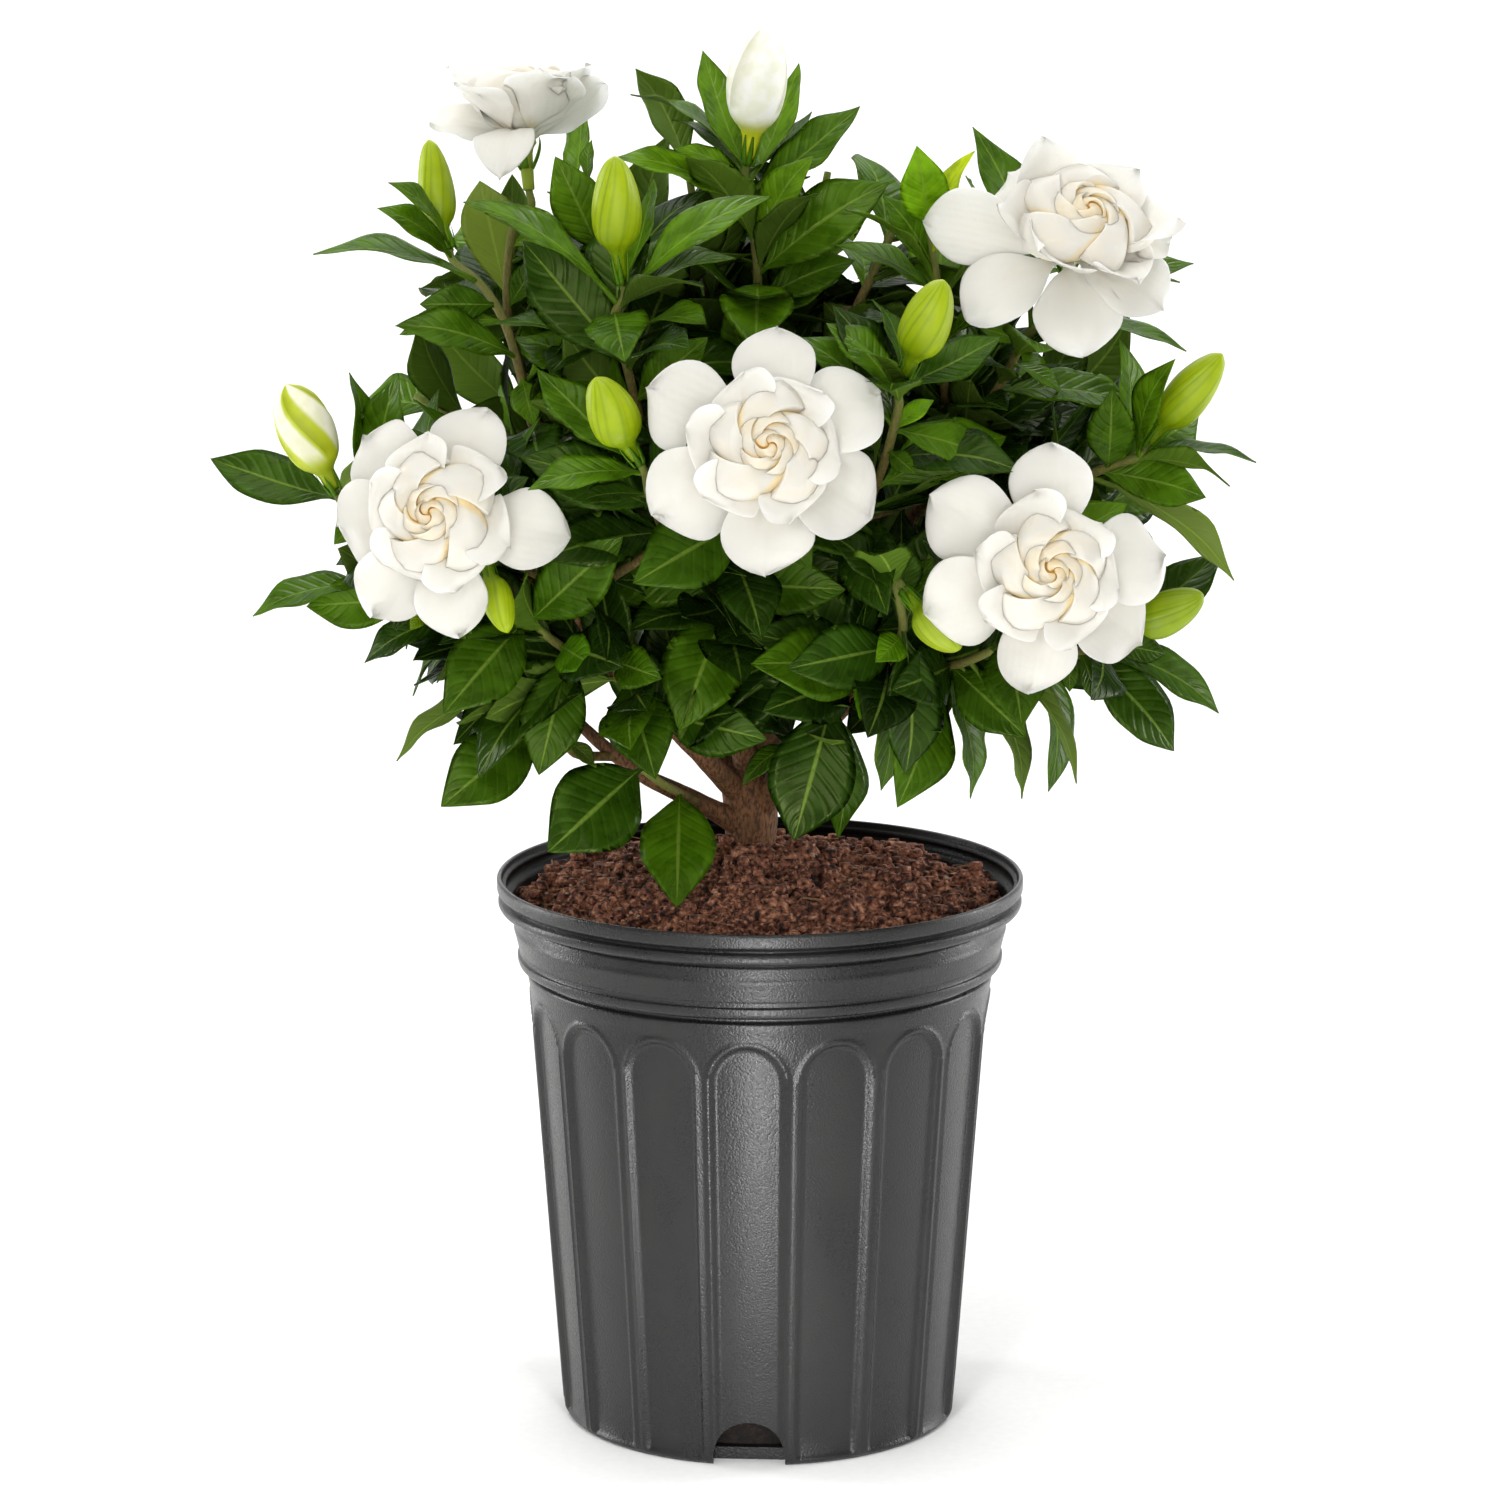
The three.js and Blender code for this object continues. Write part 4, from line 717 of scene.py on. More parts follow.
@dataclass(frozen=True)
class BudSkin:
    """Smooth skin of rolled petals, not yet white.

    To the eye it is a yellow green or a cream with darker lines where one petal laps over the next,
    partly its own seam colour and partly painted shade under the lapping edge.
    """

    seam_and_shade: tuple = (0.5, 0.52, 0.36, 1)
    dimmed: tuple = (0.9, 0.92, 0.82, 1)
    scatter: tuple = (0.9, 0.9, 0.7)
    scatter_depth: float = 2

    def make(self) -> Finish:
        """Builds the material.

        Returns:
            The material.
        """
        material, add = start_material("rolled_bud_skin")
        lap = add("Attribute", output="Fac", attribute_name="lap")
        tint = add("Attribute", output="Color", attribute_name="tint")
        cloud = grain(add, 6)
        patchy = add("MapRange", cloud, 0.35, 0.65, **EASED)
        body = add("Mix", patchy, add("Mix", 1.0, tint, self.dimmed, **MULTIPLIED), tint, **COLOURS)
        line = add("Mix", 1.0, body, self.seam_and_shade, **MULTIPLIED)
        # Painted shade, with the seam's own colour: darker where a petal is tucked under the one before
        shade_under_lap = add("MapRange", lap, 0, 0.35, 0.55, 0, **EASED)
        end_material(add, cloud, 0.15, 0.5, {
            "Base Color": add("Mix", shade_under_lap, body, line, **COLOURS),
            "Roughness": 0.42,
            "IOR": 1.36,
            "Subsurface Weight": 0.4,
            "Subsurface Radius": self.scatter,
            "Subsurface Scale": self.scatter_depth * METRES,
        })
        return material


@dataclass(frozen=True)
class PaintedBoard:
    """Pale matt paint on a studio floor and its upswept back, with a faint roller texture."""

    colour: str = "f4f4f3"
    hollow: str = "f1f1f0"

    def make(self) -> Finish:
        """Builds the material.

        Returns:
            The material.
        """
        material, add = start_material("pale_matt_paint")
        roller = grain(add, 4)
        raised = add("MapRange", roller, 0.3, 0.7, **EASED)
        colour = add("Mix", raised, linear(self.colour), linear(self.hollow), **COLOURS)
        end_material(add, roller, 0.05, 0.5, {"Base Color": colour, "Roughness": 0.9})
        return material


# What the plant is made of, read on the picture plane


class Tone(Enum):
    """The leaf colours of the shrub, as the two ends between which each leaf is drawn."""

    MATURE = ("2c4c0a", "4c740e")
    YOUNG = ("86ab10", "acc41a")
    FRESH = ("538610", "74a816")
    OLIVE = ("4f6a1c", "718530")
    # Painted shade: this darker tone stands for the shade inside the canopy, on its inner leaves and a few
    # seen ones
    SHADED = ("162c09", "2a480e")
    # Painted shade: darker ends for single front leaves that face the lamps
    DEEP_SHADE = ("1f3a08", "2b4c0b")
    LIGHT = ("446f0b", "507a0d")


MATURE, YOUNG, FRESH, OLIVE, DEEP_SHADE = Tone.MATURE, Tone.YOUNG, Tone.FRESH, Tone.OLIVE, Tone.DEEP_SHADE


@dataclass(frozen=True)
class BloomPlan:
    """An open bloom: throat, the way it faces, size, and outer petals as (turn, reach, width).

    Its heart may face another way and be cupped, and each outer petal may have its own lift and roll.
    """

    name: str
    throat: Place
    faces: Place
    size: float
    outer: tuple[Place, ...]
    heart_faces: Place | None = None
    cup: float = 0
    lifts: tuple[tuple[float, float], ...] = ()


class BudKind(Enum):
    """How far a bud is: its radii from base to tip as shares, its petals, and their turn round it."""

    CLOSED = ((0.66, 0.88, 0.98, 1, 0.96, 0.86, 0.7, 0.52, 0.36, 0.08), 5, 0.1)
    WHITE = ((0.56, 0.8, 0.92, 0.99, 1, 0.95, 0.82, 0.62, 0.42, 0.1), 3, 0.11)
    STRIPED = ((0.56, 0.8, 0.92, 0.99, 1, 0.95, 0.82, 0.62, 0.42, 0.1), 4, -0.22)


@dataclass(frozen=True)
class BudPlan:
    """A bud: tip and base of its swollen part, foot of its tube, greatest width, and its colours."""

    name: str
    tip: Place
    base: Place
    foot: Place
    width: float
    low: str = "829d0a"
    high: str = "a6ba0c"
    stripe: str = ""
    kind: BudKind = BudKind.CLOSED


@dataclass(frozen=True)
class ShootPlan:
    """A shoot that faces the viewer: its stem, its leaves and what it carries.

    Each of its leaves is (tip across, tip up, base across, base up, width, tone).
    """

    name: str
    fillers: int
    stem: tuple
    leaves: tuple
    carries: str = ""
    sprigs: tuple[str, ...] = ()


@dataclass(frozen=True)
class PetalPlan:
    """A petal: turn, reach and width, heights along its middle, curl radius, roll and layer."""

    turn: float
    reach: float
    width: float
    root: float
    belly: float
    lift: float
    curl: float
    roll: float
    layer: int
    sweep: float = 0
    point: float = 0
    spoon: float = 1.45


TRUNK = ((-3, 15, 170), (-4, 14, 215), (-4, 13, 240), (-4, 12, 256), (-5, 12, 270))
TRUNK_RADII = (7, 9, 10, 11.5, 12)

LIMB_FOOT_RADIUS = 5.2
LIMBS = (
    ((-5, 276, 12), (-6, 300, 10), (-5, 322, 6), (-8, 352, 4), (-10, 382, 8), (-7, 406, 13), (-6, 422, 15)),
    ((-8, 282, 8), (-26, 300, -14), (-48, 322, -36), (-66, 342, -48), (-80, 362, -44)),
    ((-6, 268, 10), (-26, 279, -2), (-52, 292, -12), (-76, 312, -12), (-98, 338, -12)),
    ((-8, 284, 14), (-34, 322, 12), (-66, 376, 6), (-88, 424, 2)),
    ((-6, 296, 8), (-12, 326, -8), (-14, 346, -18)),
    ((0, 276, 8), (18, 306, -12), (40, 327, -30), (60, 340, -40)),
    ((2, 280, 12), (36, 320, 6), (70, 344, -4), (100, 350, -12)),
    ((-2, 296, 14), (28, 342, 10), (58, 388, 4), (78, 424, -4)),
    ((-6, 282, 18), (-44, 326, 56), (-84, 372, 88)),
    ((0, 282, 18), (42, 326, 56), (80, 372, 88)),
    ((-4, 288, 20), (-2, 336, 66), (0, 390, 96)),
)

BLOOMS = (
    BloomPlan(
        "bloom_centre", (3, 427, -138), (0.02, -0.96, 0.24), 1,
        ((5, 51, 38), (64, 52, 42), (124, 52, 44), (181, 53, 42), (240, 55, 44), (297, 56, 42)),
    ),
    BloomPlan(
        "bloom_left", (-132, 399, -98), (-0.22, -0.95, 0.2), 0.98,
        ((20, 50, 40), (97, 57, 38), (170, 53, 34), (214, 54, 36), (262, 48, 42), (312, 50, 42)),
    ),
    BloomPlan(
        "bloom_low_right", (119, 376, -112), (0.1, -0.97, 0.16), 1,
        ((4, 54, 38), (84, 52, 42), (128, 52, 40), (188, 52, 38), (252, 54, 42), (304, 58, 42)),
    ),
    BloomPlan(
        "bloom_high_right", (129, 508, -56), (-0.08, -0.74, 0.64), 0.98,
        ((326, 50, 34), (79, 46, 40), (123, 52, 40), (170, 55, 42), (230, 55, 40), (281, 64, 36)),
        (0.22, -0.64, 0.74), 0.7, ((3, 11), (3, 11), (3, 11), (5, 4), (3, -4), (8, 34)),
    ),
    BloomPlan(
        "bloom_high_left", (-99, 556, 8), (-0.1, 0.3, 0.95), 0.84,
        ((18, 44, 36), (82, 44, 38), (140, 44, 36), (196, 46, 34), (258, 48, 36), (318, 44, 36)),
        (-0.06, 0.12, 0.98), 1, ((20, 11), (27, 40), (26, 11), (-24, 11), (13, 48), (23, 11)),
    ),
)
BLOOM_TUBE = 20
BLOOM_TUBE_RADIUS = 2.4
RECEPTACLE_RADIUS = 6
OUTER_LAYER = {"root": 1.5, "belly": 13, "lift": 3, "curl": 75, "roll": 11}
INNER_LAYERS = (
    (6, {"turn": 34, "reach": 37, "width": 33, "root": 4.5, "belly": 20, "lift": 17, "curl": 30, "roll": 13}),
    (5, {"turn": 12, "reach": 22, "width": 29, "root": 8, "belly": 22, "lift": 28, "curl": 16, "roll": 14}),
)

BUDS = (
    BudPlan("bud_top", (1, 604, 4), (-3, 563, 9), (-5, 549, 11), 25, "d2d62c", "fffcf4", kind=BudKind.WHITE),
    BudPlan("bud_upper_left", (-61, 550, -82), (-60, 513, -78), (-58, 499, -75), 20),
    BudPlan("bud_far_left_top", (-139, 557, 22), (-134, 522, 14), (-131, 513, 10), 15),
    BudPlan(
        "bud_left", (-199, 454, -66), (-184, 420, -60), (-179, 411, -57), 23, "a9ba24", "c0cc2a", "f6f3dc",
        BudKind.STRIPED,
    ),
    BudPlan("bud_mid_left", (-69, 457, -132), (-57, 431, -126), (-52, 423, -122), 20),
    BudPlan("bud_mid_right", (77, 498, -116), (65, 468, -110), (61, 457, -107), 20),
    BudPlan("bud_right", (194, 467, -44), (171, 439, -38), (164, 430, -36), 18),
    BudPlan("bud_low_right", (186, 366, -76), (161, 353, -66), (153, 350, -62), 18, "769008", "90a614"),
    BudPlan("bud_low_left", (-106, 350, -100), (-113, 372, -92), (-116, 381, -88), 13),
    BudPlan("bud_low_mid", (84, 343, -114), (68, 359, -104), (62, 366, -99), 17, "7a9610", "a0b224"),
)
BUD_TUBE_RADIUS = 2.4

SHOOTS = (
    ShootPlan("shoot_leader", 4, ((-6, 436, 18), (-2, 470, 12), (-1, 500, 8), (-4, 528, 9)), (
        (-54, 578, -8, 546, 7), (-37, 567, -7, 542, 9), (-23, 595, -7, 545, 17), (-36, 554, -6, 538, 9),
        (-62, 551, -4, 528, 14), (15, 590, -4, 538, 15), (41, 572, -4, 535, 18), (21, 570, -5, 543, 9),
        (22, 551, -3, 512, 16), (54, 540, -1, 500, 27), (-2, 470, -1, 498, 31), (40, 507, -1, 490, 18),
        (33, 499, -1, 478, 12), (-38, 478, -3, 472, 10), (-14, 487, -3, 458, 16),
    ), carries="bud_top"),
    ShootPlan("shoot_upper_left", 2, ((-50, 438, -52), (-56, 462, -64), (-61, 482, -70)), (
        (-124, 533, -60, 488, 13), (4, 535, -60, 490, 16), (-46, 541, -58, 497, 10),
        (-37, 520, -59, 494, 12), (-57, 465, -61, 484, 26), (-100, 515, -58, 462, 30, Tone.SHADED),
        (-117, 481, -57, 466, 10), (-22, 474, -52, 446, 20),
    ), carries="bud_upper_left"),
    ShootPlan("shoot_behind_upper_left", 5,
        ((-58, 462, -14), (-65, 500, -20), (-70, 530, -24), (-72, 540, -25)), (
        (-86, 550, -66, 508, 22), (-89, 536, -66, 511, 7), (-71, 557, -72, 539, 6),
    )),
    ShootPlan("shoot_high_left", 3, ((-98, 452, 10), (-106, 486, 12), (-104, 518, 10)), (
        (-118, 541, -107, 492, 24, OLIVE), (-84, 520, -104, 512, 8), (-92, 508, -106, 488, 12),
    ), carries="bloom_high_left"),
    ShootPlan("shoot_far_left_top", 3,
        ((-97, 444, -24), (-103, 468, -20), (-109, 484, -14), (-118, 497, -4)), (
        (-155, 540, -128, 511, 6), (-160, 529, -128, 508, 11), (-188, 511, -118, 497, 9),
        (-143, 488, -112, 488, 16), (-152, 476, -107, 480, 14), (-153, 480, -103, 466, 17),
        (-95, 437, -100, 456, 14),
    ), carries="bud_far_left_top"),
    ShootPlan("shoot_left", 2, ((-128, 388, -28), (-150, 396, -38), (-168, 404, -48)), (
        (-231, 424, -174, 408, 22), (-153, 459, -158, 400, 20), (-171, 460, -170, 406, 10),
        (-163, 430, -170, 406, 10, OLIVE), (-179, 387, -164, 402, 11), (-166, 428, -176, 409, 8, OLIVE),
    ), carries="bud_left"),
    ShootPlan("shoot_bloom_left", 2, ((-90, 372, -36), (-104, 380, -52), (-116, 388, -66)), (
        (-143, 449, -112, 386, 8), (-94, 441, -106, 382, 8), (-80, 408, -100, 378, 8),
    ), carries="bloom_left", sprigs=("bud_low_left",)),
    ShootPlan("shoot_low_left", 3, ((-104, 352, -20), (-126, 358, -28), (-150, 366, -36), (-164, 371, -40)), (
        (-214, 358, -162, 370, 13), (-191, 361, -146, 364, 22), (-147, 351, -138, 362, 7, YOUNG),
        (-167, 338, -126, 358, 14), (-147, 324, -118, 356, 4),
    )),
    ShootPlan("shoot_mid_left", 3, ((-40, 392, -66), (-46, 406, -94)), (
        (-93, 462, -52, 421, 20), (-98, 411, -50, 416, 14), (-78, 405, -46, 408, 9),
    ), carries="bud_mid_left"),
    ShootPlan("shoot_bloom_centre", 3, ((-14, 362, -32), (-12, 384, -66), (-6, 404, -92)), (
        (-53, 371, -10, 396, 32), (54, 386, -10, 396, 22), (-72, 375, -13, 370, 26),
        (36, 368, -13, 370, 24), (-34, 309, -14, 363, 34),
    ), carries="bloom_centre"),
    ShootPlan("shoot_mid_right", 3, ((46, 404, -70), (53, 424, -90), (58, 444, -101)), (
        (28, 481, 58, 450, 15), (44, 469, 59, 452, 7), (48, 491, 60, 455, 9),
        (101, 475, 60, 454, 17, DEEP_SHADE), (100, 421, 56, 434, 17), (65, 417, 53, 428, 9),
        (73, 448, 57, 436, 8, FRESH),
    ), carries="bud_mid_right"),
    ShootPlan("shoot_behind_upper_right", 5,
        ((78, 446, -12), (76, 480, -16), (73, 506, -18), (71, 522, -18)), (
        (66, 554, 71, 520, 20, FRESH), (52, 534, 74, 500, 15), (32, 514, 75, 492, 10),
        (89, 553, 73, 508, 9, YOUNG),
    )),
    ShootPlan("shoot_high_right", 3, ((88, 434, -10), (102, 456, -20), (112, 474, -30)), (
        (91, 564, 114, 478, 20), (182, 507, 114, 478, 16), (180, 470, 113, 476, 9), (92, 478, 110, 471, 8),
        (128, 450, 106, 464, 7), (160, 445, 98, 450, 16),
    ), carries="bloom_high_right"),
    ShootPlan("shoot_right", 3, ((112, 408, -16), (132, 414, -24), (150, 421, -31)), (
        (152, 474, 152, 422, 12), (173, 465, 158, 426, 11), (148, 452, 146, 419, 20),
        (209, 423, 156, 425, 6), (188, 407, 142, 418, 20), (201, 373, 136, 416, 15, OLIVE),
        (102, 419, 128, 413, 9),
    ), carries="bud_right"),
    ShootPlan("shoot_bloom_low_right", 3, ((84, 352, -30), (98, 360, -56), (108, 368, -76)), (
        (60, 388, 94, 358, 20), (74, 400, 100, 362, 16),
    ), carries="bloom_low_right"),
    ShootPlan("shoot_low_right", 2, ((110, 345, -24), (130, 342, -36), (144, 345, -50)), (
        (194, 386, 146, 346, 20), (171, 341, 146, 346, 12), (194, 317, 142, 344, 16),
        (175, 300, 134, 342, 24), (141, 321, 134, 342, 9), (130, 325, 130, 342, 8),
    ), carries="bud_low_right"),
    ShootPlan("shoot_low_mid", 2, ((42, 330, -44), (54, 338, -64), (60, 352, -84)), (
        (59, 388, 62, 362, 18), (74, 382, 62, 362, 10), (12, 335, 57, 344, 27, DEEP_SHADE),
        (49, 338, 59, 348, 14, FRESH), (42, 314, 52, 336, 16, FRESH), (62, 290, 60, 352, 24, DEEP_SHADE),
        (52, 283, 50, 335, 15),
    ), carries="bud_low_mid"),
    ShootPlan("shoot_low_front_right", 2, ((68, 334, -34), (84, 337, -56), (98, 343, -74), (104, 347, -80)), (
        (110, 311, 104, 347, 26), (112, 306, 80, 336, 24), (112, 280, 88, 338, 13, OLIVE),
        (135, 287, 98, 343, 9, OLIVE), (90, 280, 76, 335, 12), (95, 304, 84, 337, 5, OLIVE),
    )),
    ShootPlan("shoot_low_centre", 0, ((14, 303, -20), (24, 316, -36), (32, 325, -46)), (
        (14, 262, 32, 324, 36, DEEP_SHADE), (34, 263, 28, 320, 18), (16, 314, 30, 323, 18, OLIVE),
        (-8, 286, 15, 304, 9),
    )),
    ShootPlan("shoot_low_left_centre", 1,
        ((-32, 306, -26), (-46, 318, -44), (-58, 334, -58), (-62, 340, -62)), (
        (-44, 289, -56, 331, 28), (3, 305, -44, 316, 25), (-42, 331, -60, 338, 19),
    )),
    ShootPlan("shoot_lowest_left", 0, ((-30, 281, -12), (-40, 286, -26), (-50, 293, -38)), (
        (-35, 235, -34, 283, 32, Tone.LIGHT), (-89, 258, -50, 293, 38),
    )),
    ShootPlan("shoot_lower_left", 2, ((-74, 338, -36), (-86, 346, -48), (-98, 356, -58)), (
        (-93, 290, -80, 342, 27), (-133, 316, -98, 356, 30), (-58, 390, -96, 355, 28),
        (-70, 336, -82, 344, 19, FRESH),
    )),
    ShootPlan("shoot_far_lower_left", 1, ((-82, 304, -22), (-94, 315, -24), (-106, 327, -26)), (
        (-134, 277, -88, 316, 30), (-154, 297, -106, 327, 10, OLIVE), (-111, 310, -103, 326, 9, OLIVE),
        (-69, 294, -82, 313, 7, OLIVE),
    )),
)


# The outline on the picture plane within which the close inner leaves stay, as (across, up)
CANOPY_OUTLINE = (
    (-122, 532), (-101, 527), (-67, 536), (-50, 532), (-29, 536), (-25, 561), (-8, 565), (17, 561), (29, 536),
    (25, 515), (38, 502), (59, 515), (67, 536), (84, 540), (105, 544), (134, 532), (164, 494), (160, 469),
    (164, 435), (176, 406), (185, 376), (176, 355), (172, 338), (151, 322), (126, 313), (101, 322), (80, 305),
    (55, 305), (38, 300), (13, 302), (0, 306), (-20, 302), (-29, 300), (-67, 305), (-84, 305), (-101, 292),
    (-130, 297), (-134, 322), (-151, 326), (-155, 347), (-176, 360), (-181, 380), (-176, 406), (-172, 431),
    (-151, 439), (-109, 431), (-101, 448), (-109, 469), (-139, 473), (-147, 494), (-134, 507), (-130, 523),
)


def inside_outline(seen: Array) -> bool:
    """Whether all of some seen points lie inside the canopy's outline, by counting crossings.

    Args:
        seen: The points, as across and up.

    Returns:
        True if none lies outside.
    """
    corners = np.array(CANOPY_OUTLINE, float)
    after = np.roll(corners, -1, axis=0)
    across, up = seen[:, :1], seen[:, 1:]
    rises = (corners[:, 1] > up) != (after[:, 1] > up)
    run = (after[:, 0] - corners[:, 0]) * (up - corners[:, 1]) / (after[:, 1] - corners[:, 1] + 1e-9)
    return bool(((rises & (across < corners[:, 0] + run)).sum(axis=1) % 2 == 1).all())


@dataclass(frozen=True)
class GrowthRule:
    """The sizes and clearances by which stems and leaves are set."""

    canopy_centre: Place = (-4, 6, 404)
    canopy_radius: Place = (172, 150, 150)
    back_shoots: tuple[tuple[float, float], ...] = (
        (112, 8), (148, 2), (184, 6), (222, 2), (256, 10),
        (128, 36), (168, 34), (206, 38), (232, 32),
        (104, 62), (152, 62), (204, 64), (246, 56),
        (124, -22), (156, -20), (226, -20), (96, -10), (264, -14),
    )
    back_shoot_leaves: int = 5
    back_shoot_rise: Place = (-6, -2, 6)
    stem_radius: float = 1.9
    leaf_stalk_half_width: float = 1.3
    leaf_arch: float = 0.16
    leaf_hollow_arch: float = -0.1
    leaf_fold: float = 0.2
    leaf_slender: float = 0.44
    leaf_broad: float = 0.46
    leaf_longest: float = 66
    rule_leaf_length: float = 60
    rule_leaf_broad: float = 0.47
    seen_least_clearance: float = 2.4
    rule_least_clearance: float = 4.2
    swings: tuple[int, ...] = (0, -6, 6, -12, 12, -18, 18, -25, 25, -33, 33, 8, 16, 24, 40)
    arched_swings: int = 11
    own_root_reach: float = 14
    own_allowance: float = 2.5
    golden_angle: float = math.radians(137.5)
    rule_swing: float = math.radians(2.4)
    draw_seed: int = 35
    # Leaves of the rule that would hide a bloom or stand out past the outline: shoot, and counts from 0
    left_out: tuple = (
        ("shoot_far_left_top", (1, 2)), ("shoot_left", (1,)), ("shoot_low_left", (0, 2)),
        ("shoot_mid_left", (1,)), ("shoot_high_left", (2,)), ("shoot_far_lower_left", (0,)),
        ("shoot_behind_upper_left", (3, 4)), ("shoot_behind_upper_right", (4,)), ("shoot_back_5", (4,)),
        ("shoot_back_10", (3, 4)), ("shoot_back_11", (3, 4)), ("shoot_back_12", (2, 3)),
        ("shoot_back_13", (3,)), ("shoot_back_18", (4,)),
    )
    seat_length: float = 8
    seat_gap: float = 0.3
    sprig_drop: float = 8
    twig_climb: float = 1.5


RULE = GrowthRule()


@dataclass(frozen=True)
class Leaf:
    """A leaf: base, the middle that pulls its parabola, tip, upper normal, sizes and tone."""

    base: Array
    middle: Array
    tip: Array
    normal: Array
    width: float
    length: float
    petiole: float
    tone: Tone

    @staticmethod
    def between(
        base: Array, tip: Array, facing: Array, width: float, arch: float,
        petiole: float = 0.05, tone: Tone = MATURE,
    ) -> "Leaf":
        """A leaf from its base to its tip, its upper face turned towards facing as far as it can be.

        Formula: the midrib is a parabola that stands proud by the arch, a share of the length.

        Args:
            base: Where it leaves its stem.
            tip: Its tip.
            facing: The wanted way of its upper face.
            width: Its greatest width.
            arch: The arch.
            petiole: Share of the length that is stalk.
            tone: Its colour.

        Returns:
            The leaf.
        """
        length = float(np.linalg.norm(tip - base))
        direction = unit(tip - base)
        normal = unit(facing - direction * float(facing @ direction))
        middle = (base + tip) * 0.5 + normal * arch * length
        return Leaf(base, middle, tip, normal, width, length, petiole, tone)

    def half_width(self, along: Array) -> Array:
        """Half the width at shares of the length: a drawn-out oval after a short stalk.

        Args:
            along: The shares.

        Returns:
            Half a width for each.
        """
        place = np.maximum(0, (along - self.petiole) / (1 - self.petiole))
        oval = np.maximum(0, np.sin(np.pi * place**1.1)) ** 0.85
        drawn = 1 - 0.3 * np.maximum(0, (place - 0.7) / 0.3)
        return np.maximum(RULE.leaf_stalk_half_width * (1 - along), self.width / 2 * oval * drawn)

    def frame_at(self, along: Array) -> tuple[Array, Array, Array]:
        """Midrib points, and the directions to the side and up from the blade, at shares of the length.

        Args:
            along: The shares.

        Returns:
            Points, side and up.
        """
        s = along[..., None]
        point = self.base * (1 - s) ** 2 + self.middle * 2 * s * (1 - s) + self.tip * s**2
        direction = unit((self.middle - self.base) * (1 - s) + (self.tip - self.middle) * s)
        side = unit(np.cross(direction, self.normal))
        return point, side, np.cross(side, direction)

    def points(self, along: Array, across: Array) -> Array:
        """Points of the blade, which folds up from its midrib.

        Args:
            along: Shares of the length.
            across: Shares of the half width.

        Returns:
            The points.
        """
        point, side, over = self.frame_at(along)
        half = self.half_width(along)
        fold = half * RULE.leaf_fold * np.abs(across)
        return point + side * (across * half)[..., None] + over * fold[..., None]

    def probes(self) -> Array:
        """Points spread over the leaf, by which it is kept clear of its neighbours.

        Returns:
            The points.
        """
        low = np.array([0.12, 0.24, 0.36, 0.48, 0.6, 0.72, 0.84])
        along = np.concatenate([np.repeat(low, 5), [0.94, 1]])
        across = np.concatenate([np.tile([-1, -0.5, 0, 0.5, 1], len(low)), [0, 0]])
        return self.points(along, across)


# Blooms


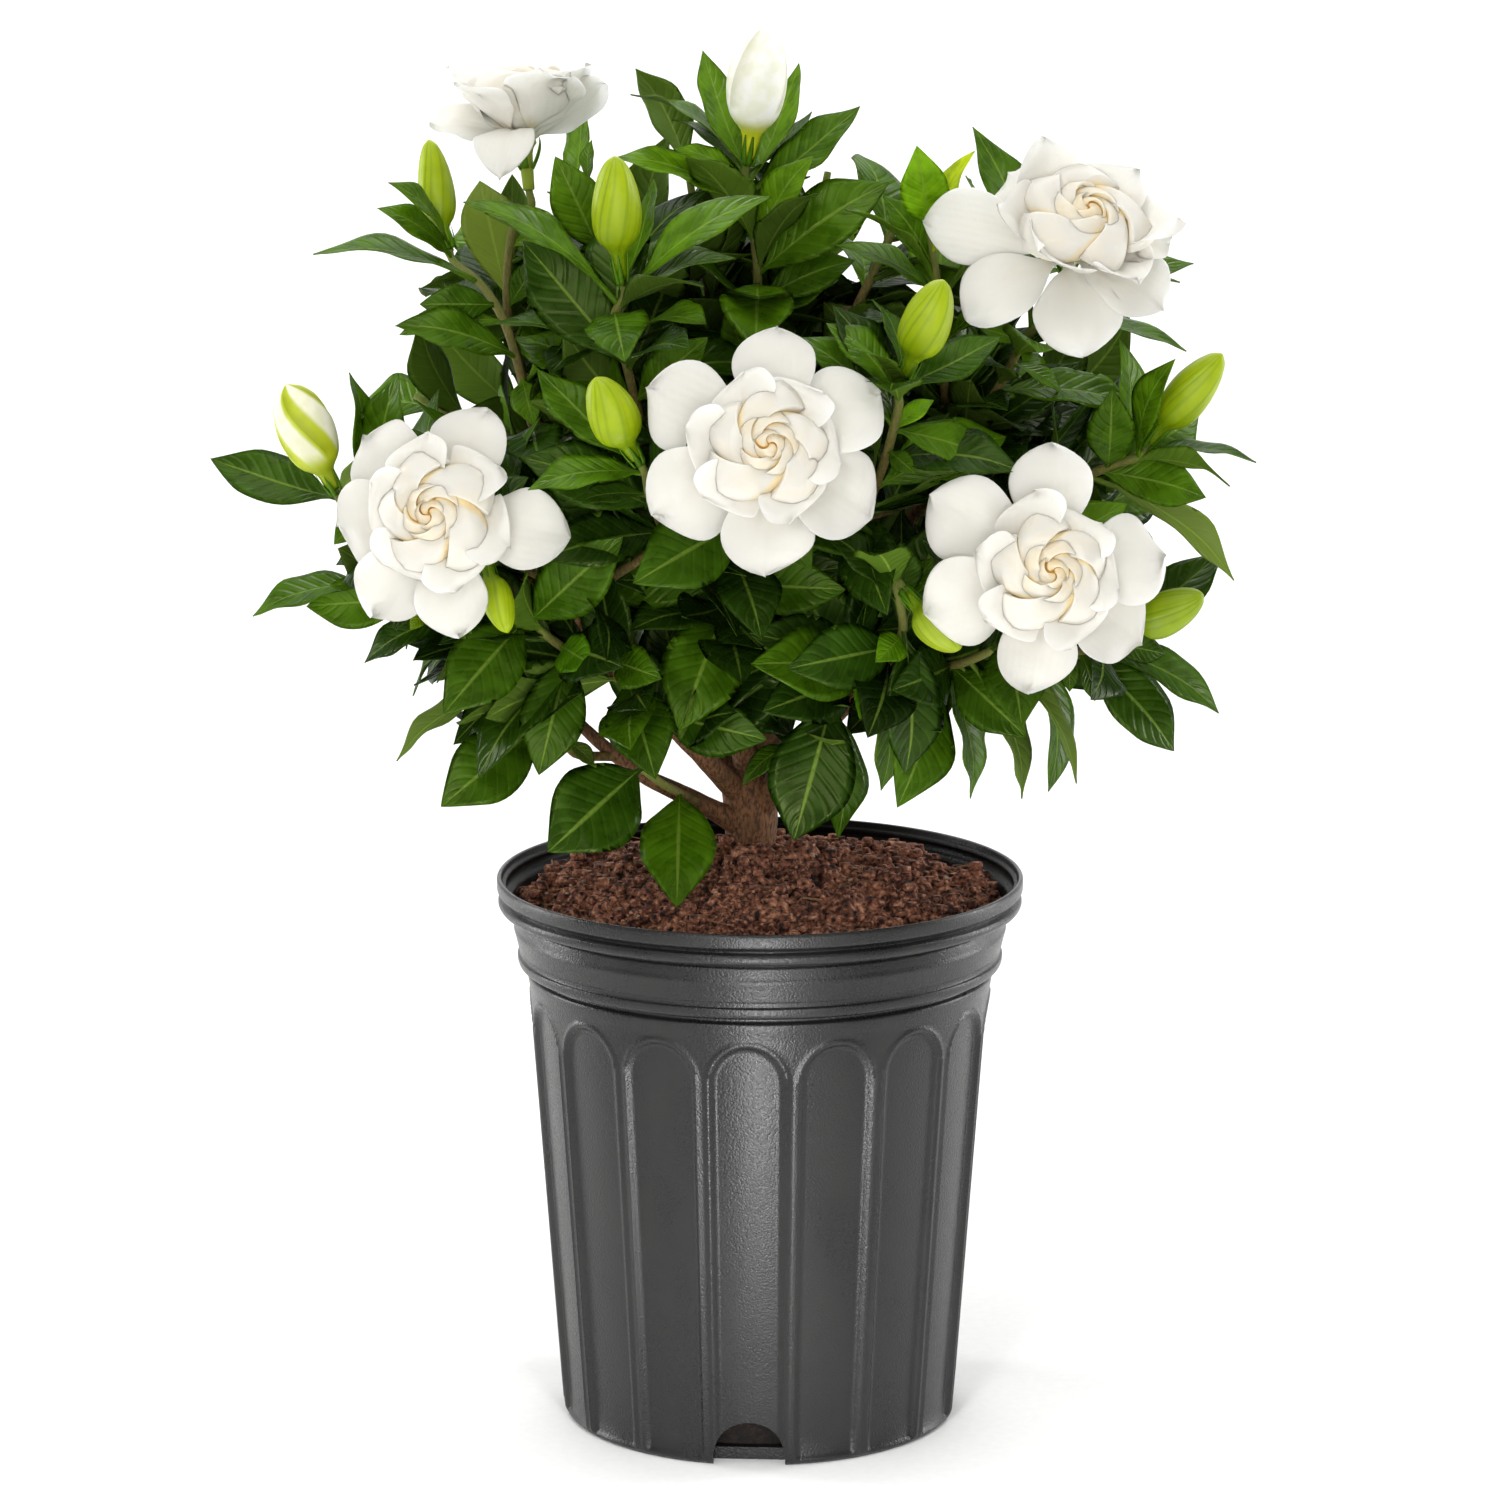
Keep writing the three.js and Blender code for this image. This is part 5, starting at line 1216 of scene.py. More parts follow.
@dataclass(frozen=True)
class BloomShape:
    """The axes and the petals of a bloom."""

    plan: BloomPlan

    @property
    def axes(self) -> tuple[Array, Array, Array]:
        """The way it faces, its own top, and its right hand as the viewer sees them."""
        return self.axes_of(self.plan.faces)

    @property
    def heart_axes(self) -> tuple[Array, Array, Array]:
        """The same axes of its heart, which may face another way."""
        return self.axes_of(self.plan.heart_faces or self.plan.faces)

    @staticmethod
    def axes_of(faces: Sequence[float]) -> tuple[Array, Array, Array]:
        """The axes of a bloom that faces a given way.

        Args:
            faces: The way it faces.

        Returns:
            Its front, top and right hand.
        """
        out = unit(np.array(faces, float))
        guide = np.array([0.0, 1, 0]) if abs(out[2]) > 0.85 else UP
        top = unit(guide - out * float(guide @ out))
        return out, top, -np.cross(out, top)

    @property
    def throat(self) -> Array:
        """World point of the throat."""
        return VIEW.seen_at(self.plan.throat)

    @property
    def foot(self) -> Array:
        """World point of the foot of its tube."""
        return self.throat - self.axes[0] * BLOOM_TUBE

    def petals(self) -> list[PetalPlan]:
        """Every petal, the outer ones first.

        Returns:
            The petals of all layers.
        """
        petals = [PetalPlan(*reading, layer=0, **OUTER_LAYER) for reading in self.plan.outer]
        for number, (count, layer) in enumerate(INNER_LAYERS, 1):
            for i in range(count):
                form = layer | {"turn": layer["turn"] + 360 * i / count}
                petals.append(PetalPlan(**form, layer=number))
        return petals

    @staticmethod
    def half_width(petal: PetalPlan, along: Array) -> Array:
        """Half a petal's width at shares of its length: a broad spoon with a blunt or pointed end."""
        spoon = np.maximum(0, np.sin(np.pi * along**petal.spoon)) ** (0.62 + petal.point)
        return np.maximum(2.6 * (1 - along), petal.width / 2 * spoon)

    def surface(self, petal: PetalPlan, along: Array, across: Array, height: Array | float = 0.0) -> Array:
        """Points of a petal.

        Formula: its middle is a parabola from the receptacle outwards in the plane of the bloom's
        axis, swept to one side by the square of the share. Across it the petal rolls to one side
        and curls round a circle of its curl radius.

        Args:
            petal: The petal.
            along: Shares of its length.
            across: Shares of its half width, from -1 to 1.
            height: How far the points are lifted off its face, in millimetres.

        Returns:
            The points, with the coordinates last.
        """
        out, top, right = self.heart_axes if petal.layer else self.axes
        turn, roll = math.radians(petal.turn), math.radians(petal.roll)
        outward = top * math.cos(turn) + right * math.sin(turn)
        around = right * math.cos(turn) - top * math.sin(turn)
        left = 1 - along
        start = RECEPTACLE_RADIUS - 2.5
        belly = petal.reach * (0.5 if petal.layer == 0 else 0.72)
        reach = start * left**2 + 2 * belly * along * left + petal.reach * along**2
        lift = petal.root * left**2 + 2 * petal.belly * along * left + petal.lift * along**2
        reach_rate = 2 * (belly - start) * left + 2 * (petal.reach - belly) * along
        lift_rate = 2 * (petal.belly - petal.root) * left + 2 * (petal.lift - petal.belly) * along
        rate = np.hypot(reach_rate, lift_rate)
        inward = outward * (-lift_rate / rate)[..., None] + out * (reach_rate / rate)[..., None]
        side = around * math.cos(roll) + inward * math.sin(roll)
        over = inward * math.cos(roll) - around * math.sin(roll)
        bow = across * self.half_width(petal, along) / petal.curl
        sweep = around * (petal.sweep * along**2)[..., None]
        point = outward * reach[..., None] + out * lift[..., None] + sweep
        point = point + side * (petal.curl * np.sin(bow))[..., None]
        point = (point + over * (petal.curl * (1 - np.cos(bow)))[..., None]) * self.plan.size
        return point + over * np.asarray(height)[..., None] + self.throat

    def probes(self, petal: PetalPlan) -> Array:
        """Points spread over a petal, by which leaves are kept clear of it.

        Args:
            petal: The petal.

        Returns:
            The points.
        """
        low = np.array([0.2, 0.35, 0.5, 0.65, 0.8, 0.92])
        along = np.concatenate([np.repeat(low, 6), [1]])
        across = np.concatenate([np.tile([-1, -0.6, -0.2, 0.2, 0.6, 1], len(low)), [0]])
        return self.surface(petal, along, across)


# Where everything goes


@dataclass
class Shoot:
    """A leafy shoot with its stems and the leaves that have been set on it."""

    name: str
    kin: list[str]
    path: Array
    sprigs: list[Array] = field(default_factory=list)
    plan: ShootPlan | None = None
    leaves: list[Leaf] = field(default_factory=list)


@dataclass(frozen=True)
class Kept:
    """A placed piece: its owner, whether it is a stem, and its probes' radius, places, middle and reach."""

    owner: str
    stem: bool
    radius: float
    probes: Array
    centre: Array
    reach: float


@dataclass
class Spacing:
    """All that is placed, from which a new leaf is kept clear."""

    kept: list[Kept] = field(default_factory=list)

    def keep(self, owner: str, probes: Array, radius: float = 0, stem: bool = False) -> None:
        """Keeps a placed piece.

        Args:
            owner: Name of what it belongs to.
            probes: Points spread over it.
            radius: Radius round the points.
            stem: Whether leaves of the owner may touch it.
        """
        centre = probes.mean(axis=0)
        reach = float(np.linalg.norm(probes - centre, axis=1).max())
        self.kept.append(Kept(owner, stem, radius, probes, centre, reach))

    def clearance(self, owner: str, kin: Sequence[str], probes: Array, root: Array, limit: float) -> float:
        """Least distance from a leaf's probes to all that is placed, up to a limit.

        Near its root a leaf may come close to its own shoot and to the kin it stands on or carries.

        Args:
            owner: Name of the leaf's shoot.
            kin: Names of the kin.
            probes: Points of the leaf.
            root: Its base.
            limit: Distance past which it doesn't matter.

        Returns:
            The distance, in millimetres.
        """
        centre = probes.mean(axis=0)
        reach = np.linalg.norm(probes - centre, axis=1).max()
        outer = probes[np.linalg.norm(probes - root, axis=1) > RULE.own_root_reach]
        apart = np.linalg.norm(np.array([one.centre for one in self.kept]) - centre, axis=1)
        enough = np.array([one.reach for one in self.kept]) + reach + limit
        near = [self.kept[i] for i in np.flatnonzero(apart <= enough)]
        near = [one for one in near if not (one.stem and one.owner == owner)]
        close = [one for one in near if one.owner in (owner, *kin)]
        far = [one for one in near if one.owner not in (owner, *kin)]
        least = limit
        for mine, pieces in ((outer, close), (probes, far)):
            if not pieces:
                continue
            others = np.concatenate([one.probes for one in pieces])
            eased = [one.radius - (RULE.own_allowance if one.owner == owner else 0) for one in pieces]
            eased = np.repeat(eased, [len(one.probes) for one in pieces])
            square = (mine**2).sum(axis=1)[:, None] + (others**2).sum(axis=1) - 2 * mine @ others.T
            least = min(least, float((np.sqrt(np.maximum(square, 0)) - eased).min()))
        return least

    def settle(
        self, shoot: Shoot, least: float, swung: Callable, enough: float = 5, inner: bool = False
    ) -> None:
        """Tries a leaf at each swing and sets the first that is clear enough, or else the clearest.

        Args:
            shoot: The shoot that gets the leaf.
            least: Clearance below which none is set.
            swung: Makes the leaf at a swing and an arch.
            enough: Clearance that ends the search.
            inner: Whether the leaf has to stay inside the canopy's outline.
        """
        best, best_probes, best_clearance = None, None, -math.inf
        for number, swing in enumerate(RULE.swings):
            leaf = swung(swing, RULE.leaf_arch if number < RULE.arched_swings else RULE.leaf_hollow_arch)
            probes = leaf.probes()
            if inner and not inside_outline(VIEW.seen_from(probes)):
                continue
            clearance = self.clearance(shoot.name, shoot.kin, probes, leaf.base, enough)
            if clearance > best_clearance + 0.01:
                best, best_probes, best_clearance = leaf, probes, clearance
            if clearance >= enough:
                break
        if best_clearance >= least:
            self.keep(shoot.name, best_probes)
            shoot.leaves.append(best)


class Layout:
    """The layout of the whole plant: limbs, twigs, and shoots with their leaves."""

    def __init__(self) -> None:
        """Places every stem, then every leaf."""
        self.spacing = Spacing()
        self.limbs = [VIEW.path(limb) for limb in LIMBS]
        self.trunk = np.array(TRUNK, float)
        self.shoots = [self._front_shoot(plan) for plan in SHOOTS]
        for number, place in enumerate(RULE.back_shoots):
            self.shoots.append(Shoot(f"shoot_back_{number + 1}", ["wood"], self._back_path(place)))
        self.twigs = [self._twig(shoot.path) for shoot in self.shoots]
        self._keep_stems()
        self._set_leaves()

    @staticmethod
    def _seat(name: str) -> list[Array]:
        """The two last points of a stem that ends square under a bloom or a bud.

        Args:
            name: Name of the bloom or bud.

        Returns:
            The points.
        """
        shape = next((BloomShape(plan) for plan in BLOOMS if plan.name == name), None)
        if shape:
            foot, direction = shape.foot, shape.axes[0]
        else:
            bud = next(one for one in BUDS if one.name == name)
            foot, base = VIEW.path([bud.foot, bud.base])
            direction = unit(base - foot)
        return [foot - direction * RULE.seat_length, foot - direction * RULE.seat_gap]

    @staticmethod
    def place_seen(path: Array, across: float, up: float) -> tuple[float, float]:
        """Place on a path that is seen nearest to a point of the picture plane, and how far off.

        Args:
            path: Points of the path.
            across: Place of the point to the right.
            up: Place of the point upwards.

        Returns:
            The place and the distance.
        """
        places = np.arange((len(path) - 1) * 8 + 1) / 8
        gaps = np.linalg.norm(VIEW.seen_from(path_points(path, places)) - np.array([across, up]), axis=1)
        best, least = 0.0, math.inf
        for place, gap in zip(places, gaps):
            if gap < least - 0.01:
                best, least = float(place), float(gap)
        return best, least

    def _front_shoot(self, plan: ShootPlan) -> Shoot:
        """A shoot that faces the viewer, with its side stalks.

        Args:
            plan: What was read of it.

        Returns:
            The shoot, without leaves.
        """
        points = list(VIEW.path(plan.stem))
        path = np.array(points + (self._seat(plan.carries) if plan.carries else []))
        sprigs = []
        for name in plan.sprigs:
            seat = self._seat(name)
            across, up = VIEW.seen_from(seat[0])
            place, _ = self.place_seen(path, across, up - RULE.sprig_drop)
            sprigs.append(np.array([path_points(path, place), *seat]))
        return Shoot(plan.name, ["wood", plan.carries, *plan.sprigs], path, sprigs, plan)

    @staticmethod
    def _back_path(place: tuple[float, float]) -> Array:
        """The stem's path of a shoot of the sides, back or top.

        Args:
            place: Turn and rise from the canopy's centre, in degrees.

        Returns:
            Points of the path.
        """
        turn, rise = (math.radians(angle) for angle in place)
        flat = math.cos(rise)
        direction = np.array([math.sin(turn) * flat, -math.cos(turn) * flat, math.sin(rise)])
        reach = np.array(RULE.canopy_radius) * direction
        shares = np.array([0.56, 0.7, 0.86])[:, None]
        return np.array(RULE.canopy_centre) + reach * shares + np.outer(RULE.back_shoot_rise, UP)

    def _twig(self, path: Array) -> Array:
        """The twig from the nearest low limb point to a stem's root, which it meets square.

        Args:
            path: Points of the stem.

        Returns:
            Points of the twig.
        """
        root = path[0]
        best, least = None, math.inf
        for limb in self.limbs:
            points = path_points(limb, np.arange(2, (len(limb) - 1) * 6 + 1) / 6)
            climb = np.maximum(0, points[:, 2] - root[2] + 8)
            costs = np.linalg.norm(points - root, axis=1) + RULE.twig_climb * climb
            for point, cost in zip(points, costs):
                if cost < least - 0.01:
                    best, least = point, float(cost)
        direction = path_directions(path, 0.0)
        before = root - direction * min(RULE.seat_length, float(np.linalg.norm(best - root)) * 0.4)
        return np.array([best, before, root - direction * RULE.seat_gap])

    def _keep_stems(self) -> None:
        """Keeps the probes of petals, buds, wood and stems."""
        for plan in BLOOMS:
            shape = BloomShape(plan)
            for petal in shape.petals():
                self.spacing.keep(plan.name, shape.probes(petal))
        for bud in BUDS:
            foot, base, tip = VIEW.path([bud.foot, bud.base, bud.tip])
            self.spacing.keep(bud.name, path_probes(np.array([foot, base])), BUD_TUBE_RADIUS, True)
            self.spacing.keep(bud.name, path_probes(np.array([base, tip])), bud.width * 0.45, True)
        for limb in self.limbs:
            self.spacing.keep("wood", path_probes(limb), LIMB_FOOT_RADIUS, True)
        self.spacing.keep("wood", path_probes(self.trunk), TRUNK_RADII[4], True)
        for twig in self.twigs:
            self.spacing.keep("wood", path_probes(twig), RULE.stem_radius, True)
        for shoot in self.shoots:
            for path in [shoot.path, *shoot.sprigs]:
                self.spacing.keep(shoot.name, path_probes(path), RULE.stem_radius, True)

    def _set_leaves(self) -> None:
        """Sets the leaves that are seen, then those that fill the inside, the sides and the back."""
        for shoot in self.shoots:
            for reading in shoot.plan.leaves if shoot.plan else ():
                swung = self._seen_leaf(shoot.path, reading)
                self.spacing.settle(shoot, RULE.seen_least_clearance, swung)
        draws = seeded_draws(RULE.draw_seed)
        for shoot in self.shoots:
            if shoot.plan:
                self._rule_leaves(shoot, shoot.plan.fillers, 0.08, 0.7, draws)
            else:
                self._rule_leaves(shoot, RULE.back_shoot_leaves, 0.15, 0.98, draws)
        self.inner = [Shoot(f"inner_{i}", ["wood"], path) for i, path in enumerate(self.twigs)]
        for shoot in [*self.shoots, *self.inner]:
            count, last = (4, 0.6) if shoot.plan else (9, 0.95)
            self._rule_leaves(shoot, count, 0.05, last, draws, inner=True)

    def _seen_leaf(self, path: Array, reading: Sequence) -> Callable[[int, float], Leaf]:
        """Makes a leaf as the viewer sees it, at a swing and an arch.

        Where it looks too short for its width it leans to the viewer, and where it looks too
        narrow for its length it is turned edge on, its upper face up.

        Args:
            path: Points of the stem.
            reading: Tip, base, width and tone of the leaf.

        Returns:
            The function that makes it.
        """
        tip_across, tip_up, base_across, base_up, seen_width = reading[:5]
        place, distance = self.place_seen(path, base_across, base_up)
        base = path_points(path, place)
        seen_base = VIEW.seen_from(base)
        seen_length = math.hypot(tip_across - seen_base[0], tip_up - seen_base[1])
        full_length = min(RULE.leaf_longest, max(seen_length, seen_width / RULE.leaf_broad))
        lean = math.sqrt(max(0.0, full_length**2 - seen_length**2))
        blade = min(RULE.leaf_longest, seen_length - distance / 2)
        width = max(seen_width, RULE.leaf_slender * blade)
        edge = math.acos(min(1.0, seen_width / width))
        stalk = max(distance, seen_length - RULE.leaf_longest)
        petiole = min(0.4, max(0.05, stalk / seen_length))
        tone = reading[5] if len(reading) > 5 else MATURE

        def swung(swing: int, arch: float) -> Leaf:
            """The leaf with its tip swung back by so many millimetres.

            Args:
                swing: The millimetres.
                arch: Arch of the midrib.

            Returns:
                The leaf.
            """
            tip = VIEW.seen_at((tip_across, tip_up, base[1] - lean + swing))
            direction = unit(tip - base)
            towards = unit(VIEW.to_viewer - direction * float(VIEW.to_viewer @ direction))
            side = np.cross(direction, towards)
            side = -side if side[2] < 0 else side
            facing = towards * math.cos(edge) + side * math.sin(edge)
            return Leaf.between(base, tip, facing, width, arch, petiole, tone)

        return swung

    def _rule_leaves(
        self, shoot: Shoot, count: int, first: float, last: float, draws: Iterator, inner: bool = False
    ) -> None:
        """Sets the leaves of a shoot by rule, turned by the golden angle from each to the next.

        Args:
            shoot: The shoot.
            count: How many leaves are tried.
            first: Share of the stem at which the first one stands.
            last: Share of the stem at which the last one stands.
            draws: The stream of draws.
            inner: Whether they are the close inner leaves, which no solid has.
        """
        start = next(draws) * 2 * math.pi
        for i in range(count):
            share = i / (count - 1) if count > 1 else 0.5
            place = (first + (last - first) * share) * (len(shoot.path) - 1)
            turn = start + i * RULE.golden_angle + (next(draws) - 0.5) * 0.5
            lean = math.radians(8 + 42 * share + 14 * next(draws))
            length = RULE.rule_leaf_length - 12 * share + 8 * next(draws)
            if not inner and i in dict(RULE.left_out).get(shoot.name, ()):
                continue
            base = path_points(shoot.path, place)
            direction = path_directions(shoot.path, place)
            first_side = unit(UP - direction * direction[2])
            second_side = np.cross(direction, first_side)

            def swung(swing: int, arch: float) -> Leaf:
                """The leaf turned further round its stem by so many steps.

                Args:
                    swing: The steps.
                    arch: Arch of the midrib.

                Returns:
                    The leaf.
                """
                angle = turn + swing * RULE.rule_swing
                outward = first_side * math.cos(angle) + second_side * math.sin(angle)
                tip = base + outward * (length * math.cos(lean)) + direction * (length * math.sin(lean))
                facing = direction * math.cos(lean) - outward * math.sin(lean)
                # Inner leaves take the darker tone that paints the shade inside the canopy
                tone = Tone.SHADED if inner else MATURE
                return Leaf.between(base, tip, facing, length * RULE.rule_leaf_broad, arch, tone=tone)

            if inner:
                self.spacing.settle(shoot, 1.1, swung, 1.8, True)
            else:
                self.spacing.settle(shoot, RULE.rule_least_clearance, swung)


# The finished pieces


def carry(piece: bpy.types.Object, slot: str, *nodes: str) -> None:
    """Lets a piece ride on the pot, hides the solids that it stands for and logs its triangles.

    Args:
        piece: The piece.
        slot: Not used.
        nodes: Names of the solids.
    """
    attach(piece, "root")
    if nodes:
        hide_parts(*nodes)
    faces = sum(len(polygon.vertices) - 2 for polygon in piece.data.polygons)
    log.info("%s: %d triangles", piece.name, faces)


@dataclass
class LeafBlades:
    """The blades of the leaves, all of one pattern of points."""

    stations: int = 22
    columns: int = 9
    blade_thickness: float = 0.5
    stalk_thickness: float = 2.0
    wave: float = 0.09
    droop: float = 0.03
    softness: float = 0.03
    rib_height: float = 0.55
    rib_width: float = 0.1
    # Low leaves are old and dark, high ones young and paler, and the lift with height is also painted
    # light on the canopy's top and painted shade low down: heights, and shares of red, green and blue
    age: tuple = (
        (270, 330, 420, 540), (0.8, 0.84, 1.2, 1.7), (0.77, 0.81, 1.12, 1.48), (0.7, 0.75, 0.95, 1.2)
    )

    def rings(self, leaf: Leaf, rng: Draws) -> tuple[Array, dict[str, Array]]:
        """Rings of a leaf, and the values that its material reads.

        Formula: the blade's surface is its midrib's parabola with both halves folded up from it.
        Its edge waves by a sine along it that grows with the square of the distance from the
        midrib, and its tip droops by an eased step. The upper and the lower face stand apart by a
        thickness that falls to nothing at the edge as a half oval, with a rib below.

        Args:
            leaf: The leaf.
            rng: Source of its own wave and tint.

        Returns:
            Points as [ring, point, coordinate], and values as [ring, point] by name.
        """
        t = np.linspace(0, 1, self.stations)
        spread = 0.7 * t + 0.3 * (1 - np.cos(np.pi * t)) / 2
        along, across, face = two_faces(spread, np.linspace(-1, 1, self.columns))
        point, side, over = leaf.frame_at(along)
        half = leaf.half_width(along)
        soft = np.sqrt(across**2 + self.softness) - math.sqrt(self.softness)
        waves, phase = rng.uniform(1.6, 2.8), rng.uniform(0, 6.28)
        wave = self.wave * half * across**2 * np.sin(2 * np.pi * waves * along + phase * np.sign(across))
        droop = self.droop * leaf.length * smooth(along, 0.6, 1.0) ** 1.5
        stalk = 1 - smooth(along, leaf.petiole * 0.6, leaf.petiole + 0.12)
        thick = self.blade_thickness + (self.stalk_thickness - self.blade_thickness) * stalk
        rib = self.rib_height * np.exp(-((across / self.rib_width) ** 2)) * (1 - 0.7 * along)
        oval = np.sqrt(np.maximum(0, 1 - across**2))
        skin = face * (thick / 2 * oval + np.where(face < 0, rib, 0))
        height = half * RULE.leaf_fold * soft + wave - droop + skin
        points = point + side * (across * half)[..., None] + over * height[..., None]
        low, high = (rgb(code) for code in leaf.tone.value)
        heights, *shares = self.age
        aged_and_lit = np.array([np.interp(leaf.tip[2], heights, share) for share in shares])
        tint = np.broadcast_to((low + (high - low) * rng.uniform(0, 1)) * aged_and_lit, points.shape)
        # Olive leaves show their lower face, so both of their faces are finished as one
        shown = face * oval - 2 * (leaf.tone is OLIVE)
        return points, {"along": along, "across": across, "side": shown, "tint": tint}


@dataclass
class Foliage:
    """The leafy shoots: round stems with their leaves."""

    layout: Layout
    blades: LeafBlades = field(default_factory=LeafBlades)
    inner_blades: LeafBlades = field(default_factory=lambda: LeafBlades(stations=14, columns=7))
    stem_sides: int = 10
    stem_bark: float = 0.06
    stem_green: tuple[float, float] = (0.25, 1)
    seed: int = 7

    def build(self, leaf_finish: Finish, bark: Finish) -> None:
        """Builds the inner leaves as one piece, and one piece for each shoot.

        Args:
            leaf_finish: Finish of the leaves.
            bark: Finish of the stems.
        """
        rng = np.random.default_rng(self.seed)
        blank = {"along": 0, "across": 0, "side": 0, "tint": np.zeros(3), "green": 0}
        within = Draft(blank)
        leaves = [leaf for shoot in self.layout.inner for leaf in shoot.leaves]
        within.add_all([self.inner_blades.rings(leaf, rng) for leaf in leaves])
        carry(within.make("inner_leaves", [leaf_finish]), "leaf")
        radii = np.array([1, 1, 0.8]) * RULE.stem_radius
        for shoot in self.layout.shoots:
            draft = Draft(blank)
            draft.add_all([self.blades.rings(leaf, rng) for leaf in shoot.leaves])
            for path in [shoot.path, *shoot.sprigs]:
                rings = rod_rings(path, radii, self.stem_sides, 6, self.stem_bark)
                draft.add_tubes(rings[None], 1, green=np.linspace(*self.stem_green, len(rings))[:, None])
            carry(draft.make(f"leafy_{shoot.name}", [leaf_finish, bark]), "leaf", shoot.name)


@dataclass
class Wood:
    """Trunk, limbs and twigs, grown as one piece."""

    layout: Layout
    crown: tuple = ((-0.4, 0, 5), (-0.4, 0, 9))
    crown_radii: tuple = (9.5, 3.5)
    limb_radii: tuple = (5.6, 4.1, 3.2, 2.4, 2.0)
    twig_swell: float = 1.15
    twig_green: float = 0.25

    def build(self, bark: Finish) -> None:
        """Builds the wood, with how green the bark of each rod is.

        Args:
            bark: Finish of the wood.
        """
        trunk = np.vstack([self.layout.trunk, self.layout.trunk[-1] + np.array(self.crown)])
        rods = [(rod_rings(trunk, (*TRUNK_RADII, *self.crown_radii), 28, 10, 0.13), 0)]
        for limb in self.layout.limbs:
            rods.append((rod_rings(limb, self.limb_radii, 18, 10, 0.1), 0))
        for twig in self.layout.twigs:
            radii = (RULE.stem_radius * self.twig_swell, RULE.stem_radius)
            rods.append((rod_rings(twig, radii, 10, 6, 0.08), self.twig_green))
        draft = Draft()
        for rings, green in rods:
            draft.add_tubes(rings[None], green=green)
        carry(draft.make("gardenia_wood", [bark]), "bark", "wood")


@dataclass(frozen=True)
class Fold:
    """A whorl of folded petals: rim radius, petals, winding, heights, tooth, rim corners and creaminess."""

    radius: float
    arms: int
    wind: float
    base: float
    rise: float
    peak: float
    step: float
    corner: float
    cream: float
    rows: int = 16


